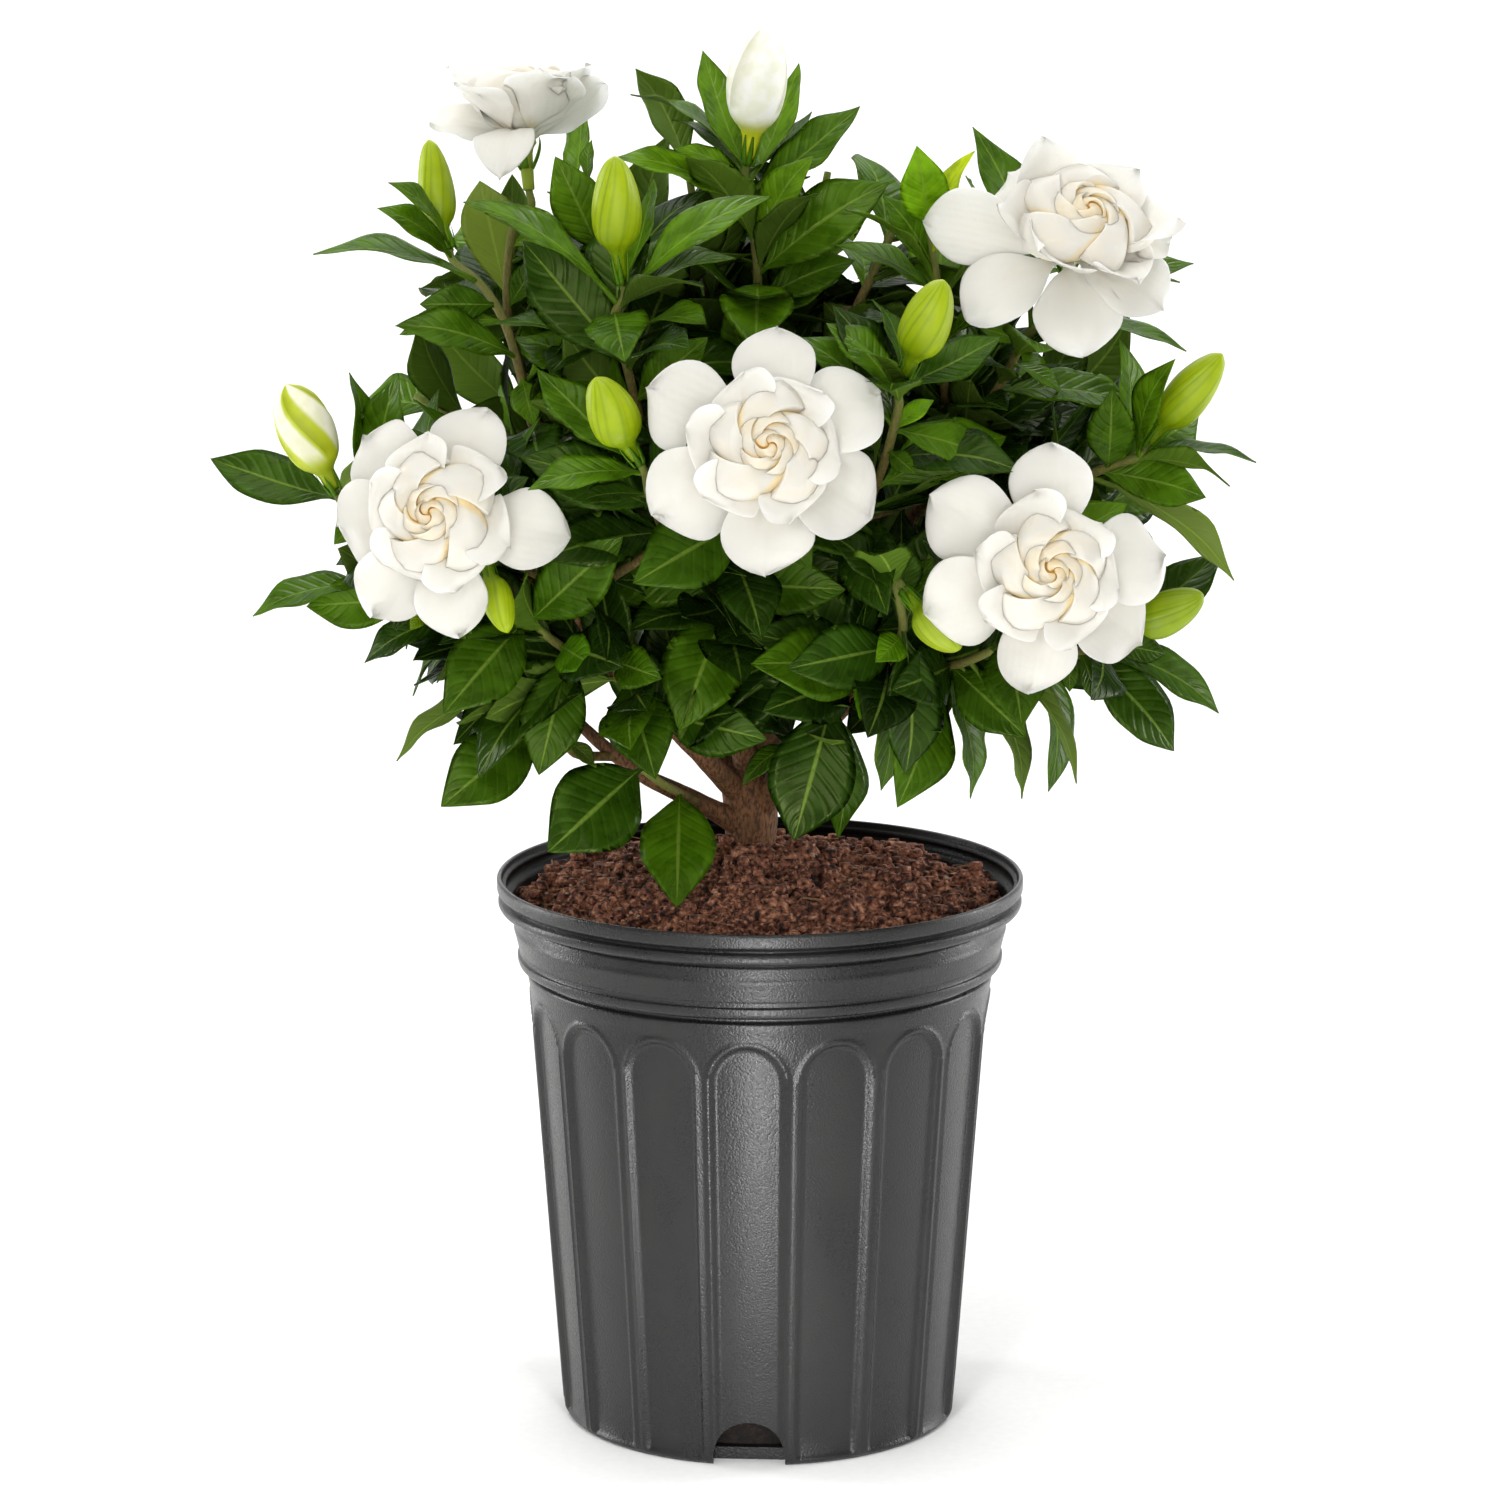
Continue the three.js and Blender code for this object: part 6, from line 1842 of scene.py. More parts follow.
@dataclass
class Bloom:
    """An open double bloom: petals in layers, a spiral heart, and its tube."""

    plan: BloomPlan
    stations: int = 22
    columns: int = 15
    thickness: float = 0.7
    edge_wave: float = 1.5
    tip_wave: float = 1.3
    crease: float = 0.7
    lip: float = 1.6
    overlap: float = 0.16
    cup_rise: float = 9
    cup_spread: float = 0.2
    closing_ring: tuple[float, float] = (4, 5)
    tube_colours: tuple[str, str] = ("9fb23c", "e6e6cc")
    # How far the tip rolls back, and how creamy the root is, in the outer layer and inside it
    tip_rolls: tuple[float, float] = (1.2, 2.6)
    creams: tuple[float, float] = (0, 0.2)
    tooth: tuple = (0, 0.03, 0.07, 0.13, 0.21, 0.3, 0.4, 0.5, 0.6, 0.7, 0.79, 0.87, 0.93, 0.97, 1)
    # Width and reach of the outer petals, as shares of those of the solid petals
    outer_shares: tuple[float, float] = (0.9, 0.955)
    outer: tuple = (("spoon", 1.75), ("point", 0.1))
    middle: tuple = (
        ("width", 33), ("reach", 30), ("belly", 19), ("lift", 19), ("curl", 24), ("roll", 20), ("sweep", 7),
        ("point", 0.34), ("spoon", 1.7),
    )
    cupped: tuple = (("width", 40), ("reach", 34), ("belly", 14), ("lift", 35), ("curl", 26), ("roll", 14))
    folds: tuple[Fold, ...] = (
        Fold(radius=23, arms=5, wind=1.3, base=17, rise=8, peak=0.62, step=4.0, corner=0.36, cream=0.34),
        Fold(radius=13.5, arms=5, wind=2.2, base=21.5, rise=4.5, peak=0.6, step=3.6, corner=0.24, cream=0.46),
        Fold(radius=7.5, arms=3, wind=2.2, base=23, rise=4, peak=0.4, step=2.8, corner=0.1, cream=0.56),
    )

    def dressed_petals(self, shape: BloomShape, rng: Draws) -> list[PetalPlan]:
        """The separate petals in their finest form: the outer layer, and the layer inside it.

        Args:
            shape: The bloom's shape, with the petals that its solid has.
            rng: Source of small turns, reaches and lifts.

        Returns:
            The petals.
        """
        dressed = []
        cup = self.plan.cup
        open_form, cup_form = dict(self.middle), dict(self.middle) | dict(self.cupped)
        form = {key: value + (cup_form[key] - value) * cup for key, value in open_form.items()}
        width_share, reach_share = self.outer_shares
        for number, petal in enumerate(shape.petals()):
            if petal.layer == 0:
                lift, roll = self.plan.lifts[number] if self.plan.lifts else (petal.lift, petal.roll)
                size = {"width": petal.width * width_share, "reach": petal.reach * reach_share}
                dressed.append(replace(petal, **size, lift=lift, roll=roll, **dict(self.outer)))
            elif petal.layer == 1:
                drawn = {"turn": petal.turn + rng.uniform(-8, 8)}
                drawn["reach"] = form["reach"] * rng.uniform(0.9, 1.12)
                drawn["lift"] = form["lift"] + rng.uniform(-2, 2) * (1 + 2 * cup)
                dressed.append(replace(petal, **form | drawn))
        return dressed

    def petal_rings(self, shape: BloomShape, petal: PetalPlan, rng: Draws) -> tuple[Array, dict]:
        """Rings of a petal, and the values that its material reads.

        Formula: the petal's surface, lifted by an edge wave that grows with the third power of the
        distance from its middle, a shallow crease down its middle and soft crumples, and rolled back
        at its tip. The two faces stand apart by a thickness that falls to nothing at the edge.

        Args:
            shape: The bloom's shape.
            petal: The petal.
            rng: Source of its waves.

        Returns:
            Points as [ring, point, coordinate], and values as [ring, point] by name.
        """
        t = np.linspace(0, 1, self.stations - 1)
        spread = 0.75 * t + 0.25 * (1 - (1 - t) ** 2)
        # A row close to the tip keeps the turn of its shading off the petal
        spread = np.insert(spread, -1, 0.993)
        along, across, face = two_faces(spread, np.sin(np.linspace(-1, 1, self.columns) * np.pi / 2))
        waves, phase = rng.uniform(1.2, 2.4), rng.uniform(0, 6.28)
        edge = np.sin(2 * np.pi * waves * along + phase + 1.7 * np.sign(across))
        edge = self.edge_wave * np.abs(across) ** 3 * edge
        tip_wave = self.tip_wave * smooth(along, 0.75, 1) * np.sin(3.4 * across + phase)
        crease = -self.crease * np.exp(-((across / 0.16) ** 2))
        crease = crease * smooth(along, 0.1, 0.4) * (1 - smooth(along, 0.85, 1))
        flat = np.stack([along * 30, across * 14, np.full(along.shape, petal.turn)], axis=-1)
        crumple = 0.8 * noise(flat, 8, 11 + petal.layer) + 0.35 * noise(flat, 3.2, 12)
        rolled = -self.tip_rolls[petal.layer] * smooth(along, 0.68, 1) ** 2
        lift = (edge + tip_wave + crease + crumple + rolled) * smooth(along, 0.02, 0.3)
        thin = 1 - 0.85 * smooth(along, 0.82, 1)
        lift = lift + face * self.thickness / 2 * thin * np.sqrt(np.maximum(0, 1 - across**2))
        deep = 0.5 * (1 - smooth(along, 0.05, 0.45)) + self.creams[petal.layer]
        width = across * shape.half_width(petal, along) / (petal.width / 2)
        return shape.surface(petal, along, across, lift), {"across": width, "deep": deep}

    def fold_rings(self, shape: BloomShape, fold: Fold, rng: Draws) -> tuple[Array, dict]:
        """Rings of a whorl of petals that are folded round each other.

        Formula: the height over the bloom's base rises from the rim to a ridge and sinks to the
        middle, as a cosine. Round it runs a saw with a tooth for each petal, which overlaps the
        start of the next, and the teeth turn with the radius, so that the edges wind out clockwise.
        Each petal's tip stands out as a corner of the rim. The first ring closes the whorl below.

        Args:
            shape: The bloom's shape.
            fold: The whorl.
            rng: Source of uneven petals.

        Returns:
            Points as [ring, point, coordinate], and values as [ring, point] by name.
        """
        out, top, right = shape.heart_axes
        saw = np.tile(self.tooth, fold.arms)[None, :]
        arm = np.repeat(np.arange(fold.arms), len(self.tooth))[None, :]
        share = np.concatenate([[0.5], np.linspace(1, 0.04, fold.rows)])[:, None]
        span = 1 + self.overlap * smooth(share, 0.2, 0.7)
        uneven = rng.uniform(-0.12, 0.12, fold.arms)[arm]
        angle = (arm + uneven + saw * span) / fold.arms * 2 * np.pi + fold.wind * share + rng.uniform(0, 6.28)
        tip = 1 - np.abs(saw - 0.6) ** 1.2 * 2.2
        reach = rng.uniform(0.9, 1.08, fold.arms)[arm]
        radius = fold.radius * share * (1 + (fold.corner * (tip - 0.5) + reach - 1) * share**2)
        bend = np.cos(np.clip((share - fold.peak) / (1 - fold.peak), -1.6, 1) * np.pi / 2)
        step = fold.step * (saw**1.4 - 0.4) * smooth(share, 0.02, 0.5)
        lip = -self.lip * smooth(share, 0.84, 1) * smooth(saw, 0.2, 0.6)
        height = fold.base + fold.rise * bend + step + lip + self.cup_rise * self.plan.cup
        round_it = [np.cos(angle) * radius, np.sin(angle) * radius, np.full(angle.shape, fold.radius)]
        flat = np.stack(round_it, axis=-1)
        height = height + (0.9 * noise(flat, 7, 41) + 0.35 * noise(flat, 2.8, 42)) * smooth(share, 0, 0.4)
        height[0], radius[0] = self.closing_ring
        radius = radius * (1 + self.cup_spread * self.plan.cup)
        points = spokes(angle, top, right) * radius[..., None] + out * height[..., None]
        # Deeper cream and gold under the overlapping edge of the petal before: partly the heart's crease
        # colour and partly painted shade. The pit paints shade in the hollow middle of the smallest whorl.
        crease = (1 - smooth(saw, 0.15, 0.3)) * (0.2 + 0.55 * (fold.cream > 0.3))
        pit = 0.5 * (1 - smooth(share, 0.04, 0.3)) * (fold.arms == 3)
        deep = np.broadcast_to(fold.cream + crease * (1 - 0.5 * share) + pit, height.shape)
        values = {"across": np.broadcast_to(saw, deep.shape), "deep": deep}
        return points * self.plan.size + shape.throat, values

    def build(self, petal_finish: Finish, bud_finish: Finish) -> None:
        """Builds the bloom.

        Args:
            petal_finish: Finish of its petals.
            bud_finish: Finish of its tube.
        """
        shape = BloomShape(self.plan)
        rng = np.random.default_rng(len(self.plan.name) * 31 + 5)
        draft = Draft({"across": 0, "deep": 1, "lap": 1, "tint": np.zeros(3)})
        draft.add_all([self.petal_rings(shape, petal, rng) for petal in self.dressed_petals(shape, rng)])
        for fold in self.folds:
            draft.add_all([self.fold_rings(shape, fold, rng)])
        size = self.plan.size
        heights = np.array([-BLOOM_TUBE / size, -6, -1, 1, 2])
        path = shape.throat + shape.axes[0] * (heights * size)[:, None]
        cup = RECEPTACLE_RADIUS
        rings = rod_rings(path, (BLOOM_TUBE_RADIUS, BLOOM_TUBE_RADIUS + 0.6, cup * 0.85, cup * 0.8, 2), 14, 4)
        green, pale = (rgb(code) for code in self.tube_colours)
        rise = smooth(np.linspace(0, 1, len(rings)), 0.3, 0.8)[:, None, None]
        draft.add_tubes(rings[None], 1, tint=green + (pale - green) * rise)
        carry(draft.make(f"open_{self.plan.name}", [petal_finish, bud_finish]), "petal", self.plan.name)


@dataclass
class Bud:
    """A closed bud on its tube."""

    plan: BudPlan
    rows: int = 34
    columns: int = 84
    veins: int = 17
    neck: float = 0.36
    ridge: float = 0.045
    faint_lap: float = 0.82
    start_turn: float = 0.12
    keys: tuple = (0, 0.1, 0.22, 0.36, 0.5, 0.64, 0.78, 0.88, 0.95, 1)
    vein_shade: tuple = (0.32, 0.24, 0.2)

    def build(self, finish: Finish) -> None:
        """Builds the bud.

        Formula: the radius follows the tube, then a long oval to the tip. Round it runs a saw of
        as many teeth as petals, turned steadily from base to tip, so that each petal laps the next.

        Args:
            finish: Finish of the bud.
        """
        foot, base, tip = VIEW.path([self.plan.foot, self.plan.base, self.plan.tip])
        shares, petals, turns = self.plan.kind.value
        veined = self.plan.kind is BudKind.CLOSED
        share = np.concatenate([np.linspace(-1, 0, 7)[:-1], np.linspace(0, 1, self.rows) ** 0.92])
        half = self.plan.width / 2
        tube = np.interp(share, (-1, 0), (BUD_TUBE_RADIUS, half * self.neck))
        radius = np.where(share < 0, tube, np.interp(share, self.keys, shares) * half)
        radius[1:-1] = (radius[:-2] + 2 * radius[1:-1] + radius[2:]) / 4
        centre = base + np.where(share[:, None] < 0, base - foot, tip - base) * share[:, None]
        axis = unit(tip - base)
        first = unit(np.array([1.0, 0, 0]) - axis * axis[0])
        # The columns turn with the laps, so that each seam is one unbroken edge
        column = np.arange(self.columns) / self.columns
        turn = 2 * np.pi * (column[None] + turns * share[:, None] - self.start_turn * (not veined))
        swollen = smooth(share, 0.0, 0.25)[:, None]
        phase = (column * petals % 1)[None]
        lap = 1 - swollen * (self.faint_lap if veined else 1) * (1 - phase)
        width = radius[:, None] * (1 + swollen * self.ridge * (phase - 0.4))
        rings = centre[:, None] + spokes(turn, first, np.cross(axis, first)) * width[..., None]
        draft = Draft()
        draft.add_tubes(rings[None], lap=lap[None], tint=self._tint(share[:, None], phase, column)[None])
        slot = "white_bud" if self.plan.kind is BudKind.WHITE else "green_bud"
        carry(draft.make(f"rolled_{self.plan.name}", [finish]), slot, self.plan.name)

    def _tint(self, share: Array, phase: Array, column: Array) -> Array:
        """The colour of the skin.

        Formula: it blends from the low colour to the high one, and a band of each lap may be pale.
        A closed bud has dark veins where the sine of the turn comes near nothing.

        Args:
            share: Share of the length from base to tip.
            phase: Share of the lap.
            column: Share of the turn round the bud.

        Returns:
            The colours as [ring, point, channel].
        """
        veined = self.plan.kind is BudKind.CLOSED
        low, high = rgb(self.plan.low), rgb(self.plan.high)
        blend = (smooth(share, -0.3, 0.55) if veined else smooth(share, -0.05, 0.14))[..., None]
        vein = np.abs(np.sin(column * self.veins * np.pi + 2.2 * np.sin(column * 4 * np.pi)))[None, :, None]
        shade = np.array(self.vein_shade) * (1 - smooth(vein, 0.0, 0.5)) * veined
        tint = (low + (high - low) * blend) * (1 - shade)
        if self.plan.stripe:
            band = smooth(phase, 0.3, 0.45) * (1 - smooth(phase, 0.85, 0.95)) * smooth(share, 0.05, 0.3)
            tint = tint + (rgb(self.plan.stripe) - tint) * band[..., None]
        return tint


@dataclass
class Calyxes:
    """The narrow sepals under each bud and bloom."""

    count: int = 6
    rows: int = 9
    width: float = 2.6
    thickness: float = 0.45
    colour: str = "5c8a1c"
    seed: int = 19

    def sepals(
        self, base: Array, axis: Array, length: float, start: float, spread: float, rng: Draws
    ) -> Array:
        """Rings of the sepals round one base.

        Formula: each leaves the tube at a start radius and goes up along the axis, while its
        distance from it grows evenly by the spread and bends back in at the tip. Its section is a
        flat diamond that narrows to a point.

        Args:
            base: Foot of the sepals, on the axis.
            axis: The way they grow.
            length: Their length.
            start: Their distance from the axis at the foot.
            spread: How far they go from it.
            rng: Source of their small differences.

        Returns:
            Points as [sepal, ring, point, coordinate].
        """
        first = unit(np.cross(axis, np.array([0.3, 0.8, 0.52])))
        second = np.cross(axis, first)
        turn = full_turn(self.count) + rng.uniform(-0.2, 0.2, self.count)
        rise = np.linspace(0, 1, self.rows)
        bowed = rise[None] - 0.45 * rise[None] ** 3
        away = start + spread * bowed * rng.uniform(0.7, 1.25, (self.count, 1))
        up = -2.5 + length * rise[None] * rng.uniform(0.8, 1.1, (self.count, 1))
        outward = spokes(turn, first, second)[:, None]
        around = spokes(turn, second, -first)[:, None]
        middle = base + axis * up[..., None] + outward * away[..., None]
        aside = around * (self.width / 2 * (1 - rise**1.6) + 0.05)[None, :, None]
        proud = outward * (self.thickness * (1 - rise) + 0.06)[None, :, None]
        return np.stack([middle + aside, middle + proud, middle - aside, middle - proud], axis=2)

    def build(self, finish: Finish) -> None:
        """Builds all the sepals as one piece.

        Args:
            finish: Finish of the sepals.
        """
        rng = np.random.default_rng(self.seed)
        draft = Draft({"along": 0.5, "across": 0.5, "side": 1, "tint": rgb(self.colour)})
        for bud in BUDS:
            foot, base = VIEW.path([bud.foot, bud.base])
            length = float(np.linalg.norm(base - foot)) + 2
            draft.add_tubes(self.sepals(foot, unit(base - foot), length, 2.6, bud.width * 0.12, rng))
        for plan in BLOOMS:
            shape = BloomShape(plan)
            out = shape.axes[0]
            draft.add_tubes(self.sepals(shape.throat - out * 9, out, 15, 2.8, 9, rng))
        carry(draft.make("calyx_sepals", [finish]), "leaf")


@dataclass
class Pot:
    """The moulded nursery pot: fluted wall, stepped collar, rolled lip, floor and drain notches.

    Plain rows and arch rows are the heights, from, to and apart, at which the wall has points.
    """

    columns: int = 540
    flutes: int = 16
    flute_turn: float = math.radians(-3.2)
    flute_half_angle: float = math.radians(9.5)
    flute_depth: float = 1.9
    flute_border: float = 2.4
    flute_rim: float = 0.7
    flute_half_width: float = 15.9
    flute_top: float = 186.5
    plain_rows: Place = (14, 160, 12)
    arch_rows: Place = (160, 186.2, 0.9)
    spring: float = 167
    arch: float = 17.2
    notches: int = 4
    notch_width: float = 30
    notch_height: float = 19
    notch_reach: tuple[float, float] = (73, 95)
    rounding: float = 1.2
    sharp_corner: float = 48
    wall: tuple = ((81.2, 0), (83.2, 1.6), (83.6, 3.5), (97.2, 187))
    collar: tuple = (
        (97.8, 189.8), (98.4, 193.6), (96.6, 194.6), (96.5, 195.8), (101.6, 197.2), (102.3, 199.0),
        (102.4, 201.2), (101.4, 201.7), (101.5, 203.6), (101.9, 204.2), (102.3, 206), (103.4, 210.5),
        (104, 212.5), (103.5, 214.4), (103.4, 218.4), (102.6, 219.3), (106, 220.2), (109.6, 221.6),
        (110.5, 223.2), (110.3, 225.2), (108.2, 226.4), (108.9, 227.6), (110.9, 228.8), (111, 233.4),
        (110.4, 234.4),
    )
    inside: tuple = (
        (109.4, 234.4), (108.9, 233.6), (108.6, 232), (107, 231.2), (106.9, 230), (108, 229.2),
        (107.4, 226.6), (104.4, 225.2), (102.8, 220), (99.5, 213), (94.2, 194), (80.4, 5.2),
    )

    def profile(self) -> Array:
        """The outline from the foot over the lip to the floor, its corners rounded off.

        Formula: each corner is replaced by a point before it, a point after it, and the mean of
        both with the corner between them.

        Returns:
            Radius and height of each point.
        """
        corners = np.array([*self.wall, *self.collar, *self.inside], float)
        before, after = np.roll(corners, 1, axis=0), np.roll(corners, -1, axis=0)
        back, on = before - corners, after - corners
        ease_off = 0.34 * np.minimum(np.linalg.norm(back, axis=1), np.linalg.norm(on, axis=1))
        ease_off = np.minimum(ease_off, self.rounding)[:, None]
        first = corners + unit(back) * ease_off
        last = corners + unit(on) * ease_off
        middle = (first + 2 * corners + last) / 4
        rounded = np.stack([first, middle, last], axis=1)
        rounded[0] = corners[0]
        rounded[-1] = corners[-1]
        return rounded.reshape(-1, 2)[2:-2]

    def rows(self) -> Array:
        """The outline with rows added along the fluted wall, close together under the arches.

        Returns:
            Radius and height of each row.
        """
        outline = self.profile()
        top = int(np.argmax(outline[:, 1] > 150))
        heights = np.concatenate([np.arange(*self.plain_rows), np.arange(*self.arch_rows)])
        foot = outline[:top]
        share = (heights - foot[-1, 1]) / (outline[top, 1] - foot[-1, 1])
        wall = foot[-1] + (outline[top] - foot[-1]) * share[:, None]
        return np.vstack([foot, wall, outline[top:]])

    def recess(self, angle: Array, height: Array) -> Array:
        """How far the wall stands back at an angle and a height.

        Formula: the distance inside the outline of the nearest flute, a straight panel that ends
        in a round arch, goes through an eased step. A low bead follows the outline outside it.

        Args:
            angle: Angle from the front.
            height: Height on the wall.

        Returns:
            The depth.
        """
        pitch = 2 * np.pi / self.flutes
        local = (angle - self.flute_turn + pitch / 2) % pitch - pitch / 2
        half = self.flute_half_width
        across = np.abs(local) / self.flute_half_angle * half
        above = np.maximum(0, height - self.spring) * half / self.arch
        inside = half - np.hypot(across, above)
        bead = self.flute_rim * np.exp(-(((inside + 0.7) / 0.9) ** 2))
        depth = (self.flute_depth * smooth(inside, 0, self.flute_border) - bead) * smooth(height, 1.5, 5)
        return depth * (height < self.flute_top)

    def notch_cutters(self) -> Array:
        """Rings of the arched cutters of the drain notches.

        Returns:
            Points as [notch, ring, point, coordinate].
        """
        half = self.notch_width / 2
        turn = np.linspace(np.pi, 0, 19)
        top = np.stack([half * np.cos(turn), self.notch_height - half + half * np.sin(turn)], axis=1)
        outline = np.vstack([[-half, -3], top, [half, -3]])
        angles = (self.flute_turn + full_turn(self.notches))[:, None, None]
        right, back = np.eye(3)[:2]
        radii = np.array(self.notch_reach)[None, :, None, None]
        aside = spokes(angles, right, back) * outline[None, None, :, :1]
        return spokes(angles, -back, right) * radii + aside + UP * outline[None, None, :, 1:]

    def build(self, finish: Finish) -> None:
        """Builds the pot as one closed shell and cuts the notches.

        Args:
            finish: Finish of the pot.
        """
        rows = self.rows()
        number = np.arange(len(rows))[:, None]
        top = int(np.argmax(rows[:, 1]))
        angle = full_turn(self.columns)
        radius, height = rows[:, :1], rows[:, 1:]
        radius = radius - self.recess(angle[None], height) * (number <= top)
        draft = Draft()
        # Past the rows of the lip the shell is the pot's inside
        draft.add_tubes(turned(angle, radius, height)[None], inside=number > top + 3)
        pot = draft.make("moulded_pot", [finish])
        cutter_draft = Draft()
        cutter_draft.add_tubes(self.notch_cutters())
        cutter = cutter_draft.make("notch_cutter", [])
        cut = pot.modifiers.new("notches", "BOOLEAN")
        cut.operation, cut.object, cut.solver = "DIFFERENCE", cutter, "EXACT"
        shaped = bpy.data.meshes.new_from_object(pot.evaluated_get(bpy.context.evaluated_depsgraph_get()))
        pot.modifiers.clear()
        pot.data = shaped
        bpy.data.objects.remove(cutter)
        shaped.set_sharp_from_angle(angle=math.radians(self.sharp_corner))
        carry(pot, "pot_plastic", "pot")


@dataclass
class Soil:
    """The potting mix: a domed crumbly top, loose crumbs and straws on it, and its hidden side."""

    columns: int = 400
    rows: int = 84
    radius: float = 102.6
    side: tuple = ((70, 5.6), (74, 28), (92.2, 193), (98, 213))
    dome: tuple = ((0, 26, 48, 72, 93, 102.6), (243, 240.5, 236, 231, 226, 222))
    swell: float = 2.6
    clod: float = 3.6
    ridge: float = 3.8
    hollow: float = 3.6
    notch_shade_below: float = 60
    notch_shade: str = "0b0908"
    crumbs: int = 2600
    crumb_sizes: tuple[float, float] = (0.8, 3.7)
    crumb: str = "b9a48c"
    pale_share: float = 0.03
    pale_largest: float = 1.4
    straws: int = 46
    straw_lengths: tuple[float, float] = (5, 19)
    straw_radii: tuple[float, float] = (0.22, 0.5)
    straw: str = "94704c"
    scatter_radius: float = 99
    straw_limit: float = 101
    seed: int = 23

    def surface(self, x: Array, y: Array) -> Array:
        """Height of the top.

        Formula: the dome, with two sizes of lump, the ridges of a third noise, and hollows where a
        fourth one is high, all calmed towards the wall.

        Args:
            x: Places to the right.
            y: Places to the back.

        Returns:
            The heights.
        """
        flat = np.stack([x, y, np.zeros(x.shape)], axis=-1)
        lump = self.swell * noise(flat, 24, 31) + self.clod * noise(flat, 9, 32)
        lump = lump + self.ridge * np.abs(noise(flat, 4.6, 33))
        pit = -self.hollow * smooth(noise(flat, 12, 34), 0.25, 0.6)
        radius = np.hypot(x, y)
        return np.interp(radius, *self.dome) + (lump + pit) * (1 - smooth(radius, 95, 102))

    def build(self, finish: Finish) -> None:
        """Builds the soil and what lies on it.

        Args:
            finish: Finish of the soil.
        """
        angle = full_turn(self.columns)
        radius = (self.radius * (1 - np.linspace(0, 0.995, self.rows)))[:, None]
        top = turned(angle, radius, np.zeros(1))
        top[..., 2] = self.surface(top[..., 0], top[..., 1])
        flank = np.array(self.side, float)
        rings = np.concatenate([turned(angle, flank[:, :1], flank[:, 1:]), top])[None]
        draft = Draft()
        # At its foot the mix is painted near black, painted shade that the drain notches show
        draft.add_tubes(rings, tinted=(rings[..., 2] < self.notch_shade_below) * 0.96, tint=rgb(self.notch_shade))
        carry(draft.make("crumbly_soil", [finish]), "potting_mix", "potting_soil")
        loose = Draft()
        rng = np.random.default_rng(self.seed)
        self._add_crumbs(loose, rng)
        self._add_straws(loose, rng)
        carry(loose.make("loose_crumbs", [finish]), "potting_mix")

    def _scatter(self, count: int, rng: Draws) -> Array:
        """Places spread evenly over the top, clear of the pot's wall.

        Args:
            count: How many.
            rng: Source of the places.

        Returns:
            The places.
        """
        reach = self.scatter_radius * np.sqrt(rng.uniform(0.012, 1, count))
        angle = rng.uniform(0, 2 * np.pi, count)
        x, y = reach * np.cos(angle), reach * np.sin(angle)
        return np.stack([x, y, self.surface(x, y)], axis=-1)

    def _add_crumbs(self, draft: Draft, rng: Draws) -> None:
        """Adds crumbs: balls of three rings of six points, each with its own seeded dents.

        Args:
            draft: Mesh that gets them.
            rng: Source of their shapes.
        """
        centre = self._scatter(self.crumbs, rng)
        least, most = self.crumb_sizes
        size = least + (most - least) * rng.uniform(0, 1, self.crumbs) ** 3
        rise = np.array([-0.75, 0, 0.75])[None, :, None]
        turn = full_turn(6)[None, None] + rng.uniform(0, 6.28, (self.crumbs, 1, 1))
        dent = rng.uniform(0.7, 1.3, (self.crumbs, 3, 6)) * np.sqrt(1 - rise**2 * 0.9)
        ball = np.broadcast_arrays(np.cos(turn) * dent, np.sin(turn) * dent * 0.8, rise * 0.75)
        rings = centre[:, None, None] + np.stack(ball, axis=-1) * size[:, None, None, None]
        rings = rings + UP * (size * 0.35)[:, None, None, None]
        pale = (rng.uniform(0, 1, self.crumbs) < self.pale_share) & (size < self.pale_largest)
        draft.add_tubes(rings, tinted=pale[:, None, None] * 0.9, tint=rgb(self.crumb))

    def _add_straws(self, draft: Draft, rng: Draws) -> None:
        """Adds straws: thin bent fibres that lie on the crumbs.

        Args:
            draft: Mesh that gets them.
            rng: Source of their shapes.
        """
        middle = self._scatter(self.straws, rng)
        length = rng.uniform(*self.straw_lengths, self.straws)[:, None]
        heading = rng.uniform(0, 2 * np.pi, self.straws)
        slope = rng.uniform(-0.15, 0.25, self.straws)
        across = np.stack([np.cos(heading), np.sin(heading), slope], axis=-1)
        sideways = np.stack([-np.sin(heading), np.cos(heading), np.zeros(self.straws)], axis=-1)
        share = np.linspace(-0.5, 0.5, 6)[None, :, None]
        bend = rng.uniform(-0.3, 0.3, self.straws)[:, None, None]
        line = middle[:, None] + across[:, None] * share * length[:, None]
        line = line + sideways[:, None] * (bend * length[:, None] * (0.25 - share**2)) + UP * 1.6
        radius = rng.uniform(*self.straw_radii, self.straws)[:, None, None, None]
        inside = np.hypot(line[..., 0], line[..., 1]).max(axis=1) < self.straw_limit
        rings = line[:, :, None] + radius * spokes(full_turn(5)[None, None], sideways[:, None, None], UP)
        draft.add_tubes(rings[inside], tinted=0.8, tint=rgb(self.straw))


@dataclass(frozen=True)
class SoftBox:
    """A light: its place, what it is turned to, its sizes in millimetres, and its power in watts."""

    name: str
    place: Place
    target: Place
    width: float
    height: float
    watts: float


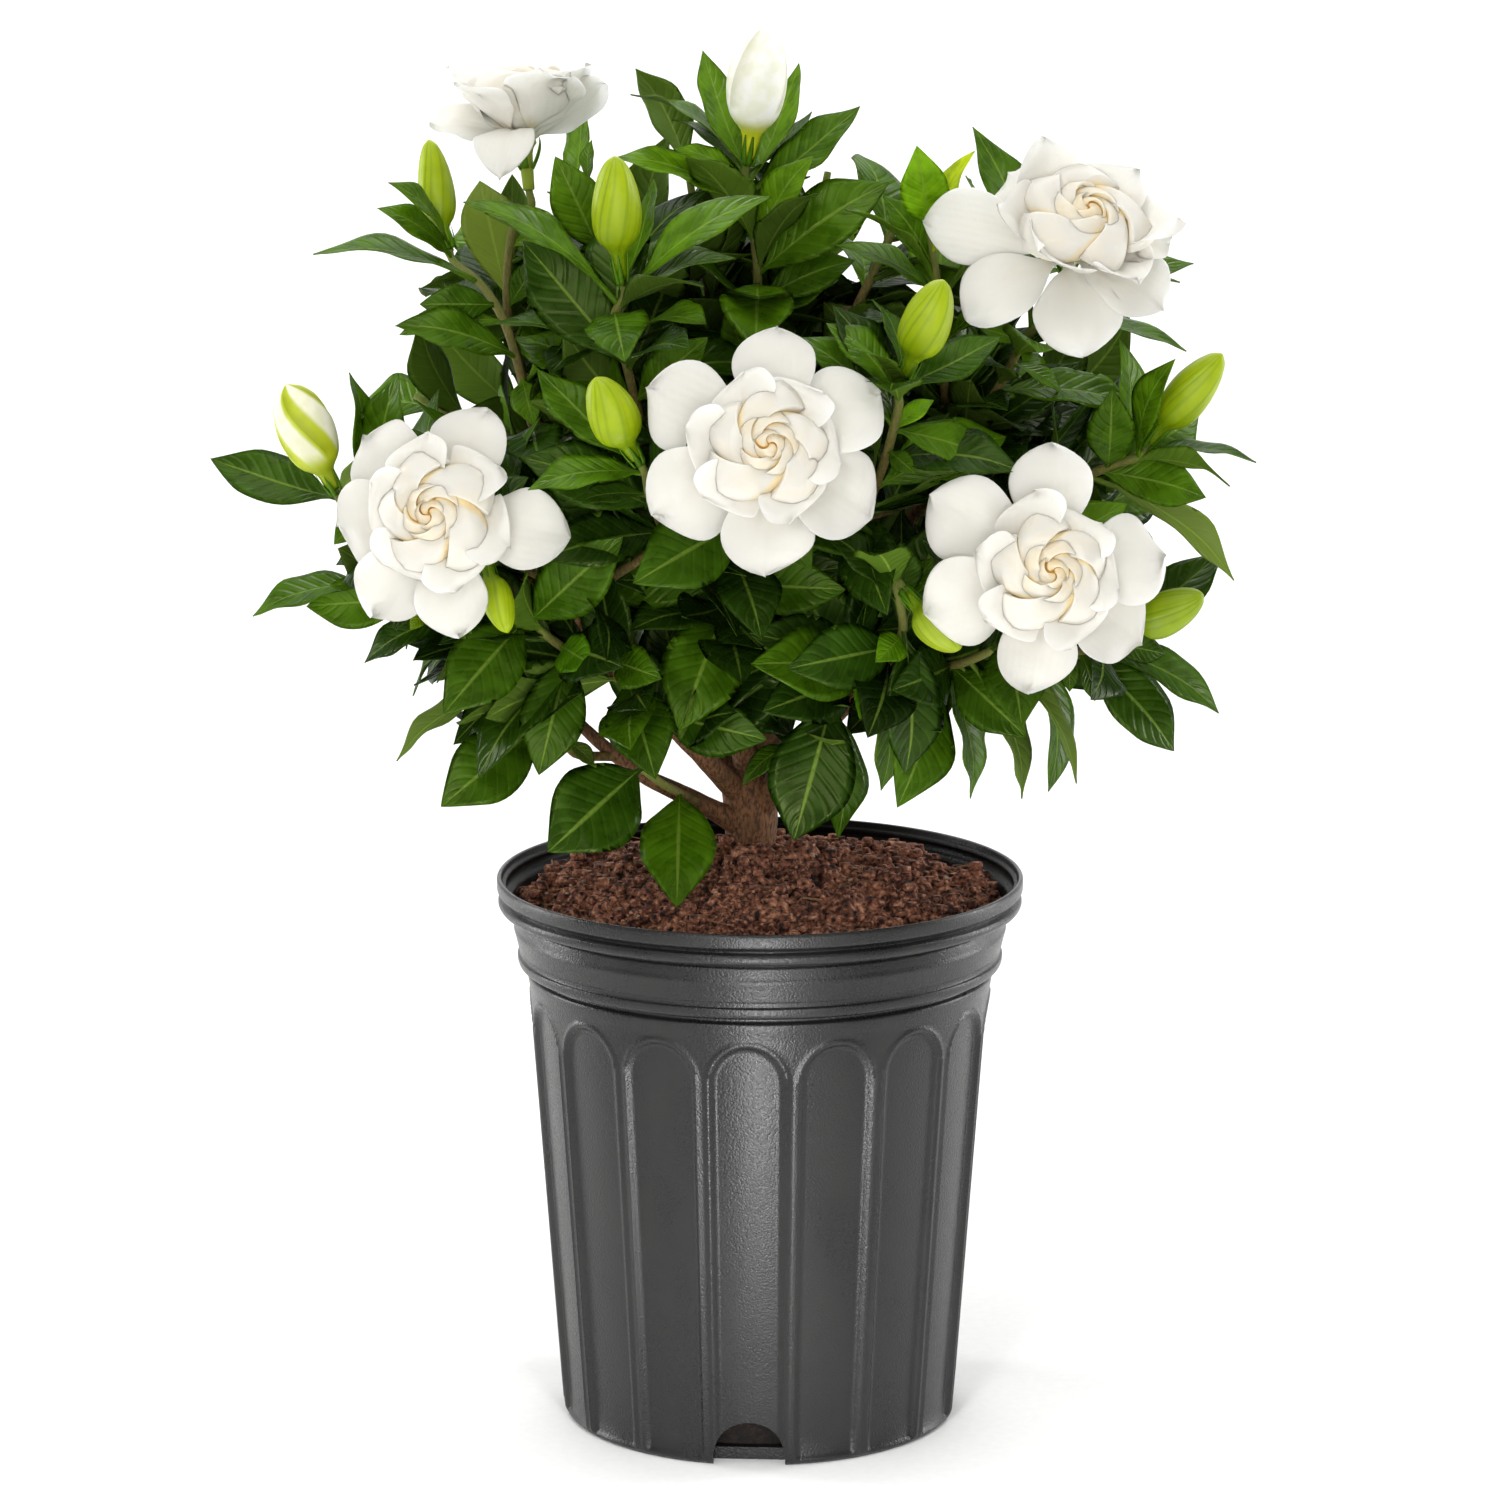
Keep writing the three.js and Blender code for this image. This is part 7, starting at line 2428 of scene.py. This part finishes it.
@dataclass
class Studio:
    """The pale floor with its upswept back, the soft lights and the camera."""

    floor_reach: float = 6000
    sweep_start: float = 2200
    sweep_radius: float = 1400
    sweep_height: float = 4200
    even_light: float = 0.4
    film_width: float = 36
    soft_boxes: tuple[SoftBox, ...] = (
        SoftBox("top_box", (-200, -500, 2300), (0, 0, 400), 1500, 1200, 16),
        SoftBox("front_box", (-700, -2300, 1300), (0, 0, 350), 800, 800, 12),
        SoftBox("low_box", (200, -2300, 450), (0, 0, 400), 1800, 500, 14),
        SoftBox("front_strip", (0, -300, 110), (0, 0, 110), 30, 200, 0.46),
        SoftBox("left_strip", (-1500, 500, 500), (0, 0, 250), 350, 1500, 16),
        SoftBox("right_strip", (1500, 500, 500), (0, 0, 250), 350, 1500, 16),
        SoftBox("floor_box", (0, 2300, 2600), (0, 2300, 0), 3000, 1800, 70),
    )

    def build(self) -> None:
        """Builds the floor, the lights and the camera."""
        self._floor()
        self._even_light()
        for box in self.soft_boxes:
            self._soft_box(box)
        self._camera()

    def _floor(self) -> None:
        """Builds the floor.

        Formula: a flat line that bends up behind the plant in a quarter circle, carried sideways.
        """
        turn = np.linspace(0, np.pi / 2, 24)
        bend_y = self.sweep_start + self.sweep_radius * np.sin(turn)
        bend_z = self.sweep_radius * (1 - np.cos(turn))
        y = np.concatenate([[-self.floor_reach], bend_y, [bend_y[-1]]])
        z = np.concatenate([[0], bend_z, [self.sweep_height]])
        line = np.stack([np.zeros(len(y)), y, z], axis=-1)
        sides = np.array([[[-1.0, 0, 0]], [[1.0, 0, 0]]]) * self.floor_reach
        grid = (line[None] + sides).reshape(-1, 3) * METRES
        first = np.arange(len(y) - 1)
        faces = np.stack([first, first + len(y), first + len(y) + 1, first + 1], axis=-1)
        mesh = bpy.data.meshes.new("studio_floor")
        mesh.from_pydata(grid.tolist(), [], faces.tolist())
        mesh.shade_smooth()
        mesh.materials.append(PaintedBoard().make())
        floor = show("studio_floor", mesh)

    def _even_light(self) -> None:
        """Adds the world's even light."""
        world = bpy.data.worlds.new("studio_world")
        world.use_nodes = True
        background = world.node_tree.nodes["Background"]
        background.inputs["Color"].default_value = linear("ffffff")
        background.inputs["Strength"].default_value = self.even_light
        bpy.context.scene.world = world
        # The plain curve keeps the greens as deep as the photograph's
        bpy.context.scene.view_settings.view_transform = "Standard"

    @staticmethod
    def _aim(thing: bpy.types.Object, place: Vector, line: Vector) -> None:
        """Puts a lamp or the camera at a place in millimetres and turns it along a line.

        Args:
            thing: Lamp or camera.
            place: Where it stands.
            line: The way it looks.
        """
        thing.location = place * METRES
        thing.rotation_mode = "QUATERNION"
        thing.rotation_quaternion = line.to_track_quat("-Z", "Y")

    def _soft_box(self, box: SoftBox) -> None:
        """Adds a soft box, which the camera doesn't see.

        Args:
            box: Its place, sizes and power.
        """
        light = bpy.data.lights.new(box.name, "AREA")
        light.shape = "RECTANGLE"
        light.size, light.size_y = box.width * METRES, box.height * METRES
        light.energy = box.watts
        lamp = show(box.name, light)
        self._aim(lamp, Vector(box.place), Vector(box.target) - Vector(box.place))
        lamp.visible_camera = False

    def _camera(self) -> None:
        """Adds the camera at the photograph's angle and distance."""
        data = bpy.data.cameras.new("photo_camera")
        data.sensor_width = self.film_width
        data.lens = self.film_width * VIEW.distance / VIEW.width
        data.clip_end = 50
        camera = show("photo_camera", data)
        target = Vector((VIEW.aim_across, 0, VIEW.aim_height))
        self._aim(camera, target + Vector(VIEW.to_viewer) * VIEW.distance, Vector(-VIEW.to_viewer))
        bpy.context.scene.camera = camera


def main() -> None:
    """Builds the finishes, the pieces and the studio in order."""
    logging.basicConfig(level=logging.INFO, format="%(message)s")
    Studio().build()
    finishes = GardeniaLeaf(), YoungBark(), GardeniaPetal(), BudSkin()
    leaf, bark, petal, bud = (finish.make() for finish in finishes)
    layout = Layout()
    log.info("%d leaves", sum(len(shoot.leaves) for shoot in layout.shoots))
    Pot().build(BlackPolyethylene().make())
    Soil().build(PottingMix().make())
    Wood(layout).build(bark)
    Foliage(layout).build(leaf, bark)
    for plan in BLOOMS:
        Bloom(plan).build(petal, bud)
    for plan in BUDS:
        Bud(plan).build(bud)
    Calyxes().build(leaf)


if __name__ == "__main__":
    main()
